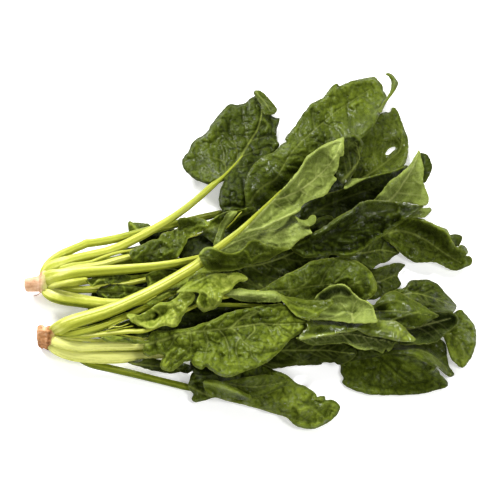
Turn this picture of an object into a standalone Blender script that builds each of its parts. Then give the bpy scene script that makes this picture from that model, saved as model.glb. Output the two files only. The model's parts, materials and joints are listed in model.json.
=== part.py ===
"""A bunch of fresh spinach: two whole plants lying side by side, each with its cut
root, its crown and the leaves that grow from it.

Every leaf is one closed solid: a stalk that leaves the crown and widens into a
blade.  The leaves are laid down one after another, and each one comes to rest on
those under it, as a real bunch does on a table.

The leaves are drawn on a drafting plane that is tilted back from the table by
TILT, so that the heap is seen on it as a person standing over it sees it.  Plan
coordinates (u to the right, v downwards) are in drafting squares of GRID mm.
"""

import math

import bpy
import numpy as np

# ---------------------------------------------------------------- dimensions, mm
GRID = 0.73                   # one square of the drafting plane
SHEET_MIDDLE = (250.0, 250.0)  # the square that lies over the origin of the plane
TILT = math.radians(60.0)     # the plane's line of sight above the table
GAP = 0.35                    # air between a leaf and what it rests on
BLADE = 1.2                   # thickness of a blade, with its small blisters
RIB = 2.6                     # thickness of a blade over its midrib, at the base
HIDDEN_W, HIDDEN_T = 3.4, 2.1  # width and thickness of a stalk inside the heap
FOOT_T = 1.25                 # thickness of every stalk where it leaves the crown
LOFT = 2.9                    # how springy the blades are: scales every blade's lift
PRESS = 1.3                   # a leaf nearer the table than this lies on it
SPRING = 4.2                  # extra air under a blade that lies on other leaves
CELL = 0.6                    # cell of the height map that the leaves rest on
SOFTNESS = 7.0                # how far a leaf bridges the hollows under it
COLLAR_U = {"upper": 45.0, "lower": 55.0}   # where the crowns end and the stalks start

SIN, COS = math.sin(TILT), math.cos(TILT)

# ---------------------------------------------------------------- the leaves
# stalk rows: u, v, width mm, thickness mm, lift mm above what is under it
# blade rows: left margin u v, midrib u v, right margin u v, lift of the three


def hidden(*points):
    """A thin stalk inside the heap, through these (u, v) points."""
    return [(u, v, HIDDEN_W, HIDDEN_T, 0.4) for u, v in points]


LEAVES = [
    ("lower_leaf_front_right", "shade",
     hidden((56.6, 344), (85, 350), (130, 350), (200, 350), (290, 352)),
     [(338, 348, 340, 352, 340, 357, 2, 0, 0),
      (360, 347, 362, 354, 341, 368, 5, 0, 0),
      (378, 348, 378, 360, 343, 381, 6, 1, 0),
      (400, 350, 391, 369, 353, 389, 8, 1, 0),
      (418, 353, 403, 378, 378, 394, 9, 0, 0),
      (434, 366, 416, 382, 403, 394, 8, 0, 0),
      (439, 372, 431, 384, 423, 393, 5, 0, 0),
      (447, 384, 446, 386, 442, 388, 1, 0, 0)]),
    ("lower_leaf_front_folded", "mid",
     [(56.6, 346, 3.5, 2.6, 0.4), (74, 355, 4.5, 3.5, 0.4), (90, 364, 5.2, 4.6, 0.4),
      (120, 370, 5.4, 5.0, 0.4), (150, 377, 5.4, 4.8, 0.4), (175, 383, 5.2, 4.4, 0.4)],
     [(190, 380, 191, 387, 191, 392, 3, 1, 0),
      (205, 372, 208, 387, 197, 400, 6, 2, 0),
      (225, 373, 228, 390, 215, 398, 8, 3, 0),
      (250, 370, 252, 392, 238, 402, 9, 3, 0),
      (271, 367, 272, 399, 256, 407, 5, 4, 0),
      (289, 376, 290, 404, 275, 414, 3, 4, 0),
      (305, 385, 306, 410, 291, 422, 2, 4, 1),
      (318, 395, 319, 413, 307, 428, 2, 3, 1),
      (338, 402, 336, 408, 332, 417, 1, 1, 0)]),
    ("lower_leaf_pointed_tip", "shade",
     hidden((56.6, 341), (90, 346), (150, 342), (230, 340), (300, 345)),
     [(338, 340, 339, 348, 340, 356, 1, 1, 1),
      (361, 335, 363, 347, 364, 358, 3, 2, 1),
      (387, 329, 388, 345, 389, 356, 4, 2, 1),
      (410, 325, 411, 345, 409, 360, 5, 2, 1),
      (428, 328, 428, 350, 423, 366, 5, 2, 1),
      (441, 340, 438, 356, 433, 366, 3, 1, 0),
      (447, 357, 445, 366, 441, 371, 1, 1, 0),
      (453, 373, 452, 375, 449, 376, 0, 0, 0)]),
    ("lower_leaf_far_right", "bright",
     hidden((56.6, 336), (90, 334), (150, 320), (230, 318), (330, 325), (400, 331)),
     [(432, 327, 432, 331, 432, 336, 1, 1, 1),
      (446, 316, 445, 330, 442, 342, 4, 2, 2),
      (460, 309, 456, 330, 446, 350, 3, 4, 1),
      (469, 317, 463, 338, 450, 358, 1, 4, 1),
      (475, 333, 468, 350, 457, 365, 0, 2, 0),
      (472, 354, 468, 360, 463, 367, 0, 0, 0)]),
    ("lower_leaf_rolled_edge", "shade",
     hidden((56.6, 333), (90, 324), (150, 312), (230, 310), (330, 318)),
     [(396, 322, 397, 327, 398, 332, 1, 1, 1),
      (410, 316, 411, 328, 412, 341, 3, 1, 1),
      (425, 313, 427, 328, 425, 345, 5, 1, 1),
      (438, 312, 438, 325, 438, 339, 6, 1, 1),
      (451, 312, 450, 321, 448, 331, 6, 1, 1),
      (457, 316, 457, 318, 456, 321, 4, 2, 1)]),
    ("lower_leaf_shaded_under", "dark",
     [(56.6, 344.5, 5.5, 4.0, 0.4), (66, 352, 6.6, 5.5, 0.6), (80, 356.5, 7.2, 6.4, 0.6),
      (100, 357.5, 7.2, 6.6, 0.6), (120, 357, 7.2, 6.4, 0.6), (143, 355, 6.6, 5.8, 0.6),
      (190, 352, 5.0, 4.0, 0.6)],
     [(234, 345, 235, 350, 236, 356, 1, 1, 1),
      (255, 336, 256, 350, 257, 362, 3, 2, 1),
      (280, 331, 281, 350, 274, 367, 4, 2, 1),
      (305, 331, 305, 350, 300, 365, 4, 2, 1),
      (325, 334, 326, 350, 322, 363, 3, 2, 1),
      (340, 341, 341, 352, 338, 363, 2, 1, 1),
      (353, 349, 354, 353, 351, 358, 1, 1, 1)]),
    ("upper_leaf_back_right", "mid",
     hidden((46.8, 273), (90, 262), (140, 255), (200, 240), (280, 205)),
     [(344, 174, 348, 178, 352, 184, 1, 1, 1),
      (352, 150, 362, 170, 369, 182, 3, 1, 3),
      (362, 128, 378, 160, 386, 176, 4, 1, 4),
      (379, 113, 390, 149, 402, 168, 3, 1, 4),
      (392, 108, 399, 138, 409, 154, 1, 1, 2),
      (396, 107, 401, 119, 407, 137, 0, 0, 0)]),
    ("upper_leaf_shaded_middle", "dark",
     hidden((46.8, 276), (90, 268), (140, 262), (200, 250), (260, 238)),
     [(299, 208, 302, 222, 305, 234, 1, 1, 1),
      (322, 189, 326, 206, 331, 223, 3, 1, 2),
      (345, 186, 348, 197, 351, 212, 4, 1, 2),
      (365, 177, 368, 190, 371, 206, 4, 1, 2),
      (385, 171, 387, 184, 390, 203, 4, 1, 2),
      (405, 165, 408, 172, 408, 182, 1, 1, 1)]),
    ("upper_leaf_dark_tip", "dark",
     hidden((46.8, 283), (90, 282), (160, 275), (230, 275), (300, 280)),
     [(352, 277, 352, 284, 352, 292, 1, 1, 1),
      (366, 270, 367, 285, 368, 299, 3, 2, 1),
      (380, 267, 381, 281, 382, 296, 4, 2, 1),
      (393, 264, 393, 276, 394, 290, 3, 1, 0),
      (405, 265, 400, 275, 400, 285, 0, 0, 0)]),
    ("lower_leaf_right_upper", "dark",
     hidden((56.6, 331), (90, 322), (150, 300), (230, 295), (310, 298)),
     [(380, 297, 382, 302, 384, 308, 1, 1, 1),
      (395, 290, 397, 302, 398, 312, 3, 2, 1),
      (411, 281, 413, 299, 412, 315, 3, 4, 1),
      (428, 280, 429, 300, 428, 316, 2, 5, 1),
      (441, 288, 440, 302, 440, 314, 1, 3, 1),
      (456, 305, 455, 308, 453, 311, 0, 1, 0)]),
    ("lower_leaf_right_glossy", "mid",
     hidden((56.6, 334), (90, 328), (150, 308), (230, 305), (300, 308)),
     [(361, 307, 362, 312, 363, 318, 1, 1, 1),
      (376, 301, 377, 312, 378, 322, 3, 2, 1),
      (391, 291, 393, 310, 393, 324, 3, 4, 1),
      (407, 297, 408, 312, 408, 327, 2, 4, 1),
      (420, 304, 421, 315, 420, 325, 1, 3, 1),
      (436, 314, 436, 316, 434, 318, 1, 1, 1)]),
    ("upper_leaf_under_glossy", "dark",
     hidden((46.8, 281), (90, 276), (160, 268), (230, 262), (300, 255)),
     [(345, 245, 347, 252, 350, 262, 1, 1, 1),
      (362, 240, 364, 253, 368, 267, 2, 2, 1),
      (380, 237, 381, 250, 381, 265, 2, 1, 0),
      (397, 250, 397, 253, 392, 258, 1, 0, 0)]),
    ("upper_leaf_right_tip", "mid",
     hidden((46.8, 280), (90, 274), (160, 262), (230, 256), (300, 246)),
     [(376, 229, 379, 233, 381, 238, 1, 1, 1),
      (394, 217, 397, 231, 391, 244, 5, 1, 1),
      (409, 216, 410, 233, 400, 252, 7, 1, 1),
      (425, 220, 422, 238, 412, 260, 8, 1, 1),
      (440, 228, 433, 245, 427, 261, 7, 0, 2),
      (450, 236, 444, 252, 439, 264, 5, 0, 2),
      (463, 246, 455, 260, 449, 269, 2, 0, 1),
      (472, 260, 468, 264, 461, 270, 0, 0, 0)]),
    ("upper_leaf_pale_back", "pale",
     hidden((46.8, 275), (90, 267), (160, 256), (230, 250), (300, 248), (345, 232)),
     [(372, 203, 384, 206, 396, 210, 1, 1, 1),
      (380, 194, 398, 198, 425, 206, 3, 1, 2),
      (392, 180, 408, 187, 429, 199, 4, 1, 3),
      (404, 170, 414, 175, 423, 184, 3, 1, 2),
      (413, 159, 418, 163, 423, 171, 2, 1, 1),
      (418, 150, 420, 151, 422, 156, 0, 0, 0)]),
    ("upper_leaf_dark_core", "dark",
     [(46.8, 284.5, 3.8, 2.6, 0.4), (75, 288, 4.2, 3.4, 0.5), (100, 287, 4.2, 3.8, 0.5),
      (130, 283, 4.2, 3.8, 0.5), (160, 278, 4.2, 3.4, 0.5)],
     [(198, 264, 199, 271, 200, 279, 1, 1, 1),
      (225, 249, 226, 268, 228, 291, 3, 1, 2),
      (255, 238, 258, 262, 260, 295, 4, 1, 3),
      (285, 230, 288, 252, 290, 290, 4, 1, 3),
      (310, 222, 312, 240, 315, 270, 3, 1, 2),
      (330, 216, 334, 228, 336, 245, 1, 1, 1)]),
    ("upper_leaf_bent_stalk", "dark",
     [(46.8, 267.5, 5.0, 4.0, 3.0), (54, 260.5, 6.2, 5.4, 5.0), (64, 254, 6.4, 6.0, 5.0),
      (74, 248.5, 6.2, 5.8, 4.0), (86, 244.5, 6.2, 5.6, 2.0), (105, 241, 6.2, 5.6, 1.0),
      (125, 236.5, 6.2, 5.4, 0.6), (155, 229, 6.0, 5.0, 0.6), (190, 221, 5.6, 4.6, 0.6)],
     [(221, 207, 224, 212, 229, 216, 1, 1, 1),
      (219, 198, 236, 200, 255, 208, 2, 2, 1),
      (221, 186, 240, 186, 262, 195, 2, 3, 1),
      (224, 172, 244, 171, 263, 180, 1, 2, 1),
      (232, 159, 246, 157, 258, 163, 0, 1, 0)]),
    ("upper_leaf_far_left", "bright",
     [(46.8, 273.5, 5.5, 4.0, 3.0), (55, 267, 6.4, 5.0, 4.0), (66, 262, 6.6, 5.6, 3.0),
      (80, 258, 6.4, 5.6, 1.0), (96, 254.5, 6.2, 5.4, 0.5), (112, 250, 6.0, 5.2, 0.5),
      (128, 242.5, 5.8, 5.2, 0.5), (150, 231, 5.4, 5.0, 1.0), (175, 215.5, 5.0, 4.6, 3.0),
      (200, 196, 4.8, 4.2, 5.0)],
     [(210, 183, 219, 180, 224, 181, 4, 5, 4),
      (196, 180, 228, 171, 240, 175, 3, 4, 2),
      (184, 168, 234, 165, 252, 170, 2, 3, 2),
      (184, 156, 240, 157, 264, 159, 2, 3, 2),
      (193, 141, 246, 147, 276, 150, 2, 3, 2),
      (207, 131, 251, 138, 279, 142, 3, 2, 2),
      (219, 113, 255, 129, 277, 130, 3, 2, 2),
      (232, 103, 259, 117, 279, 118, 2, 2, 2),
      (250, 98, 262, 106, 276, 109, 1, 1, 1),
      (256, 90, 260, 92, 267, 97, 0, 0, 0)]),
    ("upper_leaf_back_large", "bright",
     hidden((46.8, 275), (100, 262), (150, 250), (200, 235)),
     [(244, 197, 249, 205, 256, 210, 1, 1, 1),
      (246, 180, 262, 187, 276, 195, 2, 5, 2),
      (260, 158, 278, 170, 296, 180, 2, 6, 2),
      (284, 140, 293, 152, 318, 160, 2, 6, 3),
      (300, 120, 312, 132, 338, 147, 3, 5, 4),
      (310, 104, 330, 118, 358, 138, 4, 3, 4),
      (330, 88, 347, 105, 375, 124, 4, 2, 4),
      (352, 80, 364, 93, 384, 103, 3, 1, 2),
      (375, 76, 380, 83, 387, 93, 0, 0, 0)]),
    ("upper_leaf_small_round", "dark",
     hidden((46.8, 277), (100, 265), (150, 255), (220, 240), (290, 205)),
     [(338, 177, 342, 180, 347, 182, 1, 1, 1),
      (335, 161, 346, 166, 359, 172, 2, 1, 2),
      (337, 147, 350, 152, 363, 158, 3, 1, 2),
      (343, 137, 352, 135, 361, 141, 1, 2, 1)]),
    ("upper_leaf_folded_inner", "lime",
     [(46.8, 276, 3.0, 2.2, 2.0), (60, 270, 3.0, 2.4, 2.0), (80, 264, 3.0, 2.6, 1.0),
      (105, 257.5, 3.0, 2.6, 0.5), (130, 251, 3.2, 2.6, 0.5), (170, 243, 3.4, 2.6, 0.5)],
     [(204, 223, 205, 230, 204, 237, 1, 1, 1),
      (217, 215, 220, 228, 215, 241, 3, 1, 1),
      (232, 209, 233, 224, 225, 242, 5, 1, 1),
      (246, 207, 246, 220, 238, 236, 4, 1, 1),
      (256, 206, 256, 214, 250, 225, 1, 1, 1)]),
    ("upper_leaf_savoy_inner", "mid",
     [(46.8, 278, 3.4, 2.6, 2.5), (60, 272.5, 4.0, 3.2, 2.5), (76, 268, 4.6, 4.0, 1.0),
      (96, 265.5, 4.8, 4.2, 0.5), (112, 261, 4.6, 4.0, 0.5)],
     [(130, 250, 131, 256, 132, 262, 1, 1, 1),
      (142, 243, 147, 253, 150, 265, 3, 3, 2),
      (156, 238, 161, 248, 166, 264, 4, 4, 2),
      (171, 230, 174, 243, 177, 258, 4, 4, 2),
      (181, 219, 187, 231, 188, 241, 4, 2, 1),
      (199, 218, 204, 224, 201, 233, 1, 1, 1)]),
    ("upper_leaf_heart_lower", "dark",
     [(46.8, 288, 2.8, 2.0, 0.5), (72, 291, 2.8, 2.0, 0.5)],
     [(98, 287, 99, 291, 100, 296, 1, 1, 1),
      (115, 285, 116, 292, 117, 299, 2, 2, 1),
      (132, 286, 133, 293, 134, 299, 2, 1, 1),
      (149, 289, 150, 292, 150, 296, 0, 0, 0)]),
    ("upper_leaf_heart_middle", "lime",
     [(46.8, 281.5, 2.6, 2.0, 0.5), (68, 281, 2.6, 2.0, 0.5)],
     [(88, 276, 88, 280, 88, 284, 1, 1, 1),
      (105, 274, 106, 278, 107, 283, 2, 1, 2),
      (120, 273, 121, 277, 122, 281, 1, 1, 1),
      (131, 275, 132, 277, 132, 279, 0, 0, 0)]),
    ("upper_leaf_round_tip", "mid",
     [(46.8, 289.5, 6.5, 4.5, 2.0), (58, 294.5, 8.0, 6.0, 3.0), (72, 298.5, 9.0, 7.2, 2.0),
      (88, 302, 9.0, 7.2, 1.0), (104, 304, 8.2, 6.6, 0.6), (125, 303, 6.6, 5.0, 0.6),
      (160, 299, 5.0, 3.6, 0.6), (215, 295, 4.4, 3.2, 0.6)],
     [(268, 287, 270, 291, 272, 296, 1, 1, 1),
      (290, 272, 292, 286, 296, 300, 3, 3, 1),
      (310, 262, 312, 281, 316, 304, 3, 4, 1),
      (335, 256, 336, 280, 338, 306, 3, 5, 1),
      (357, 261, 356, 282, 356, 304, 2, 5, 1),
      (370, 270, 368, 285, 367, 300, 1, 3, 1),
      (376, 283, 376, 288, 374, 295, 0, 1, 0)]),
    ("upper_leaf_long_glossy", "dark",
     [(46.8, 279.5, 6.6, 4.6, 3.5), (58, 275.5, 7.4, 6.0, 5.0), (74, 273, 7.4, 6.8, 4.0),
      (96, 271, 7.2, 6.8, 2.5), (120, 269.5, 6.8, 6.4, 2.0), (145, 267.5, 6.2, 6.0, 2.0),
      (172, 264, 5.6, 5.4, 2.0), (200, 258, 5.0, 4.6, 1.0), (250, 252, 4.6, 3.8, 0.6)],
     [(296, 240, 298, 246, 302, 254, 1, 1, 1),
      (315, 229, 319, 240, 325, 254, 5, 3, 1),
      (335, 217, 340, 233, 346, 256, 8, 6, 1),
      (355, 205, 361, 225, 366, 248, 9, 7, 1),
      (375, 201, 382, 216, 386, 233, 9, 6, 1),
      (397, 202, 402, 211, 402, 222, 6, 4, 1),
      (422, 205, 423, 207, 420, 210, 1, 1, 1)]),
    ("lower_leaf_savoy_large", "bright",
     [(56.6, 338.5, 5.0, 4.0, 2.0), (66, 342.5, 6.4, 5.4, 2.5), (78, 346.5, 6.8, 6.0, 2.0),
      (98, 346.5, 6.8, 6.0, 1.0), (120, 345.5, 6.6, 5.6, 0.8)],
     [(144, 341, 147, 347, 146, 354, 1, 1, 1),
      (158, 330, 165, 341, 162, 365, 4, 3, 2),
      (177, 328, 185, 335, 184, 363, 5, 5, 2),
      (197, 325, 205, 331, 203, 368, 6, 6, 2),
      (216, 318, 226, 329, 222, 374, 6, 6, 2),
      (238, 310, 247, 326, 246, 370, 5, 5, 3),
      (260, 306, 267, 324, 266, 362, 4, 4, 3),
      (282, 304, 285, 322, 284, 346, 3, 3, 2),
      (298, 314, 299, 322, 298, 333, 2, 2, 1),
      (308, 320, 308, 323, 306, 326, 0, 0, 0)]),
    ("lower_leaf_arched", "pale",
     [(56.6, 335.5, 3.4, 2.8, 2.0), (68, 336, 3.8, 3.2, 2.0), (86, 336, 3.8, 3.4, 1.0),
      (110, 333, 3.8, 3.4, 0.6), (140, 330, 3.8, 3.2, 0.6), (178, 313, 3.8, 3.0, 0.6),
      (210, 299, 4.0, 3.2, 0.6)],
     [(228, 292, 229, 296, 230, 299, 4, 5, 4),
      (250, 290, 251, 296, 251, 301, 4, 6, 4),
      (273, 291, 276, 296, 280, 301, 4, 5, 3),
      (299, 298, 299, 306, 297, 312, 3, 3, 2),
      (320, 293, 320, 311, 312, 330, 6, 4, 2),
      (338, 284, 339, 313, 332, 336, 8, 6, 2),
      (353, 293, 355, 319, 347, 341, 8, 7, 2),
      (368, 302, 370, 324, 362, 349, 6, 6, 2),
      (379, 320, 385, 329, 382, 350, 5, 5, 1),
      (397, 321, 399, 331, 396, 341, 3, 4, 2),
      (413, 338, 413, 340, 410, 341, 1, 1, 1)]),
    ("lower_leaf_curly_inner", "lime",
     [(56.6, 334, 3.6, 3.0, 4.0), (72, 333, 4.4, 3.8, 3.5), (90, 330, 4.8, 4.2, 2.5),
      (108, 324, 4.8, 4.2, 1.5)],
     [(129, 312, 130, 315, 131, 320, 1, 1, 1),
      (147, 305, 148, 310, 150, 328, 4, 3, 2),
      (165, 294, 166, 301, 172, 326, 5, 4, 3),
      (180, 286, 184, 294, 188, 307, 5, 4, 3),
      (200, 276, 203, 289, 201, 309, 4, 4, 5),
      (215, 274, 218, 286, 217, 306, 4, 4, 6),
      (232, 273, 233, 281, 231, 289, 3, 3, 4),
      (245, 276, 246, 278, 244, 281, 2, 2, 2)]),
    ("lower_leaf_crossing_pale", "pale",
     [(56.8, 331, 7.4, 5.0, 4.0), (64, 326, 9.0, 6.6, 6.0), (76, 321, 9.4, 7.6, 4.0),
      (92, 315.5, 9.2, 7.8, 1.5), (108, 310.5, 8.8, 7.6, 1.0), (126, 303.5, 8.2, 7.2, 1.0),
      (145, 294.5, 7.8, 6.8, 1.0), (165, 284.5, 7.2, 6.4, 1.0), (185, 272.5, 7.0, 6.0, 1.0)],
     [(203, 252, 206, 258, 206, 266, 4, 3, 2),
      (224, 245, 229, 245, 226, 270, 4, 6, 2),
      (246, 225, 250, 231, 252, 264, 4, 5, 2),
      (262, 211, 266, 219, 276, 254, 5, 4, 3),
      (277, 198, 283, 206, 300, 240, 6, 4, 4),
      (290, 185, 297, 196, 310, 222, 7, 5, 5),
      (305, 168, 313, 182, 323, 196, 7, 5, 5),
      (319, 152, 326, 165, 334, 182, 5, 4, 4),
      (334, 141, 338, 142, 342, 149, 2, 2, 2)]),
]

COLOURS = {   # linear base colours of the blades
    "dark": (0.030, 0.070, 0.012),
    "shade": (0.045, 0.100, 0.015),
    "mid": (0.070, 0.150, 0.020),
    "bright": (0.095, 0.190, 0.025),
    "lime": (0.200, 0.320, 0.045),
    "pale": (0.230, 0.330, 0.075),
    "upper_root": (0.820, 0.560, 0.400),
    "lower_root": (0.560, 0.250, 0.110),
}


# ---------------------------------------------------------------- plan to world
def plan(u, v):
    """Drafting squares to plan millimetres."""
    return (u - SHEET_MIDDLE[0]) * GRID, (SHEET_MIDDLE[1] - v) * GRID


def world(points):
    """Plan points (x, w, height) to the table's frame: heights stay as they are."""
    out = np.array(points, float)
    out[:, 1] = (out[:, 1] - out[:, 2] * COS) / SIN
    return out


# ---------------------------------------------------------------- height map
X0, X1 = -175.0, 175.0
W0, W1 = -145.0, 145.0
NX, NW = int((X1 - X0) / CELL), int((W1 - W0) / CELL)
top_map = np.zeros((NX, NW))


def cells(xy):
    i = np.clip(((xy[:, 0] - X0) / CELL).astype(int), 0, NX - 1)
    j = np.clip(((xy[:, 1] - W0) / CELL).astype(int), 0, NW - 1)
    return i, j


def widened(grid):
    """Each cell takes the highest value of its eight neighbours."""
    out = grid.copy()
    for a in (-1, 0, 1):
        for b in (-1, 0, 1):
            out = np.maximum(out, np.roll(np.roll(grid, a, 0), b, 1))
    return out


def blurred(grid, sigma):
    reach = int(3 * sigma / CELL)
    t = np.arange(-reach, reach + 1) * CELL
    k = np.exp(-0.5 * (t / sigma) ** 2)
    k /= k.sum()
    out = np.apply_along_axis(lambda row: np.convolve(row, k, "same"), 0, grid)
    return np.apply_along_axis(lambda row: np.convolve(row, k, "same"), 1, out)


def sample_table(xy, triangles):
    """Points spread over the triangles: their cells, their triangle and weights."""
    tri_of, weights = [], []
    for t, (a, b, c) in enumerate(triangles):
        longest = max(np.linalg.norm(xy[a] - xy[b]), np.linalg.norm(xy[b] - xy[c]),
                      np.linalg.norm(xy[c] - xy[a]))
        n = max(2, int(math.ceil(longest / 0.42)))
        i, j = np.meshgrid(np.arange(n + 1), np.arange(n + 1), indexing="ij")
        keep = i + j <= n
        w = np.stack([i[keep] / n, j[keep] / n, 1 - (i[keep] + j[keep]) / n], 1)
        weights.append(w)
        tri_of.append(np.full(len(w), t))
    tri_of = np.concatenate(tri_of)
    weights = np.concatenate(weights)
    corner = triangles[tri_of]
    where = (xy[corner] * weights[:, :, None]).sum(1)
    return corner, weights, cells(where)


# ---------------------------------------------------------------- one leaf
ACROSS = np.array([-1.0, -0.5, 0.0, 0.5, 1.0])


def leaf_rings(stalk, blade):
    """Plan points, half thickness and lift of each ring: arrays (rings, 5, ...)."""
    middle = [plan(s[0], s[1]) for s in stalk] + [plan(b[2], b[3]) for b in blade]
    middle = np.array(middle)
    tangent = np.gradient(middle, axis=0)
    tangent /= np.linalg.norm(tangent, axis=1)[:, None]
    xy, half, lift = [], [], []
    for n, (u, v, width, thick, up) in enumerate(stalk):
        side = np.array([-tangent[n, 1], tangent[n, 0]]) if n else np.array([0.0, 1.0])
        xy.append(middle[n] - ACROSS[:, None] * side * width / 2)
        thick = FOOT_T if n == 0 else thick
        half.append(thick / 2 * np.sqrt(1 - 0.8 * ACROSS**2))
        lift.append(np.full(5, up))
    for n, row in enumerate(blade):
        left, rib, right = (np.array(plan(*row[k:k + 2])) for k in (0, 2, 4))
        ring = [left if s < 0 else right for s in ACROSS]
        ring = np.array([rib + abs(s) * (edge - rib) for s, edge in zip(ACROSS, ring)])
        xy.append(ring)
        fade = n / (len(blade) - 1)
        rib_t = RIB * (1 - fade) + BLADE * fade
        half.append(np.array([BLADE, BLADE, rib_t, BLADE, BLADE]) / 2)
        zl, zc, zr = (LOFT * z for z in row[6:])
        crown = 1.1 * math.sin(math.pi * min(1.0, fade * 1.2))
        lift.append(np.array([zl, (zl + zc) / 2 + crown, zc, (zc + zr) / 2 + crown, zr]))
    return np.array(xy), np.array(half), np.array(lift, float)


def grid_triangles(rings):
    cells_ = []
    for i in range(rings - 1):
        for k in range(4):
            a, b = i * 5 + k, i * 5 + k + 1
            c, d = a + 5, b + 5
            cells_ += [(a, b, d), (a, d, c)] if k < 2 else [(a, b, c), (b, d, c)]
    return np.array(cells_)


def settle(xy, half, lift, stalk_points):
    """Bottom heights of a leaf that lies on the heap as it is now."""
    flat = xy.reshape(-1, 2)
    triangles = grid_triangles(len(xy))
    corner, weights, (ci, cj) = sample_table(flat, triangles)
    under = widened(top_map)[ci, cj] + GAP
    under[widened(top_map)[ci, cj] <= 0.0] = 0.0
    soft = blurred(top_map, SOFTNESS)
    vi, vj = cells(flat)
    puff = SPRING * np.clip(soft[vi, vj] / 6.0, 0, 1) * (np.arange(len(flat)) >= stalk_points)
    bottom = np.maximum(soft[vi, vj] + lift.reshape(-1) + puff, 0.0)
    shape = half.shape
    rest = bottom.copy()
    for turn in range(70):
        if turn < 40:
            b = (bottom + 0.25 * (rest - bottom)).reshape(shape)
            even = b.copy()
            even[1:-1] += 0.25 * (b[2:] - 2 * b[1:-1] + b[:-2])
            even[0] += 0.25 * (b[1] - b[0])
            even[-1] += 0.25 * (b[-2] - b[-1])
            even[:, 1:-1] += 0.15 * (b[:, 2:] - 2 * b[:, 1:-1] + b[:, :-2])
            bottom = np.maximum(even.reshape(-1), 0.0)
        if turn == 40:
            bottom[bottom < PRESS] = 0.0
        short = under - (bottom[corner] * weights).sum(1)
        bad = short > 1e-6
        if not bad.any():
            if turn >= 40:
                break
            continue
        w = weights[bad]
        push = short[bad][:, None] * w / (w**2).sum(1)[:, None]
        raise_by = np.zeros(len(bottom))
        np.maximum.at(raise_by, corner[bad].reshape(-1), push.reshape(-1))
        bottom = bottom + raise_by * (0.6 if turn < 40 else 1.0)
    short = under - (bottom[corner] * weights).sum(1)
    bad = short > 0
    if bad.any():
        raise_by = np.zeros(len(bottom))
        np.maximum.at(raise_by, corner[bad].reshape(-1), np.repeat(short[bad], 3))
        bottom = bottom + raise_by
    top = bottom + 2 * half.reshape(-1)
    np.maximum.at(top_map, (ci, cj), (top[corner] * weights).sum(1))
    return bottom, top, triangles


def closed_mesh(name, xy, bottom, top, triangles):
    """Top and bottom sheets joined by a wall all the way round."""
    n = len(bottom)
    rings = len(xy)
    flat = xy.reshape(-1, 2)
    points = np.concatenate([np.column_stack([flat, top]), np.column_stack([flat, bottom])])
    a, b, c = (flat[triangles[0][k]] for k in range(3))
    if (b[0] - a[0]) * (c[1] - a[1]) - (b[1] - a[1]) * (c[0] - a[0]) < 0:
        triangles = triangles[:, ::-1]
    faces = [tuple(int(k) for k in t) for t in triangles]
    faces += [tuple(int(k) + n for k in t[::-1]) for t in triangles]
    edges = {}
    for t in triangles:
        for p, q in ((t[0], t[1]), (t[1], t[2]), (t[2], t[0])):
            edges[(int(p), int(q))] = True
    for p, q in edges:
        if (q, p) not in edges:
            faces += [(p, p + n, q + n), (p, q + n, q)]
    mesh = bpy.data.meshes.new(name)
    mesh.from_pydata((world(points) / 1000.0).tolist(), [], faces)
    mesh.validate()
    mesh.shade_smooth()
    mesh.set_sharp_from_angle(angle=math.radians(40))
    return mesh


def material(name, colour, roughness):
    made = bpy.data.materials.new(name)
    made.use_nodes = True
    shader = made.node_tree.nodes["Principled BSDF"]
    shader.inputs["Base Color"].default_value = (*colour, 1.0)
    shader.inputs["Roughness"].default_value = roughness
    shader.inputs["Metallic"].default_value = 0.0
    return made


def place(name, mesh, colour, roughness, parent):
    mesh.materials.append(material(name + "_surface", colour, roughness))
    obj = bpy.data.objects.new(name, mesh)
    bpy.context.scene.collection.objects.link(obj)
    obj.parent = parent
    return obj


# ---------------------------------------------------------------- root and crown
def root_mesh(name, stations, sides=14):
    """A round body along its axis: stations are u, v, height, radius, lean.

    lean moves the bottom of a ring along the axis against its top, for a cut
    that isn't square."""
    points, faces = [], []
    for u, v, height, radius, lean in stations:
        x, w = plan(u, v)
        y = (w - height * COS) / SIN
        for s in range(sides):
            a = 2 * math.pi * s / sides
            points.append((x - lean * math.cos(a), y + radius * math.sin(a),
                           height + radius * math.cos(a)))
    for r in range(len(stations) - 1):
        for s in range(sides):
            t = (s + 1) % sides
            faces.append((r * sides + s, r * sides + t, (r + 1) * sides + t, (r + 1) * sides + s))
    last = (len(stations) - 1) * sides
    faces.append(tuple(range(sides))[::-1])
    faces.append(tuple(last + s for s in range(sides)))
    mesh = bpy.data.meshes.new(name)
    mesh.from_pydata([tuple(c / 1000.0 for c in p) for p in points], [], faces)
    mesh.validate()
    signed = 0.0
    for poly in mesh.polygons:
        corners = [mesh.vertices[k].co for k in poly.vertices]
        for k in range(1, len(corners) - 1):
            signed += corners[0].dot(corners[k].cross(corners[k + 1]))
    if signed < 0:
        mesh.flip_normals()
    mesh.shade_smooth()
    mesh.set_sharp_from_angle(angle=math.radians(50))
    return mesh


ROOTS = {
    "upper_root_and_crown": [
        (24.6, 285.6, 8.2, 4.3, 1.2), (26.0, 285.2, 8.3, 4.9, 1.0), (32.0, 284.6, 8.6, 5.3, 0.3),
        (38.0, 283.8, 8.8, 5.7, 0.0), (41.0, 283.0, 9.0, 6.8, 0.0), (43.2, 281.8, 9.2, 8.2, 0.0),
        (COLLAR_U["upper"], 281.2, 9.2, 8.6, 0.0)],
    "lower_root_and_crown": [
        (38.8, 336.2, 8.6, 7.4, 0.6), (40.2, 336.6, 8.6, 8.4, 0.4), (44.0, 337.2, 8.6, 8.5, 0.0),
        (49.0, 337.6, 8.6, 8.5, 0.0), (52.5, 337.6, 8.6, 8.5, 0.0),
        (COLLAR_U["lower"], 337.6, 8.6, 8.4, 0.0)],
}


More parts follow.
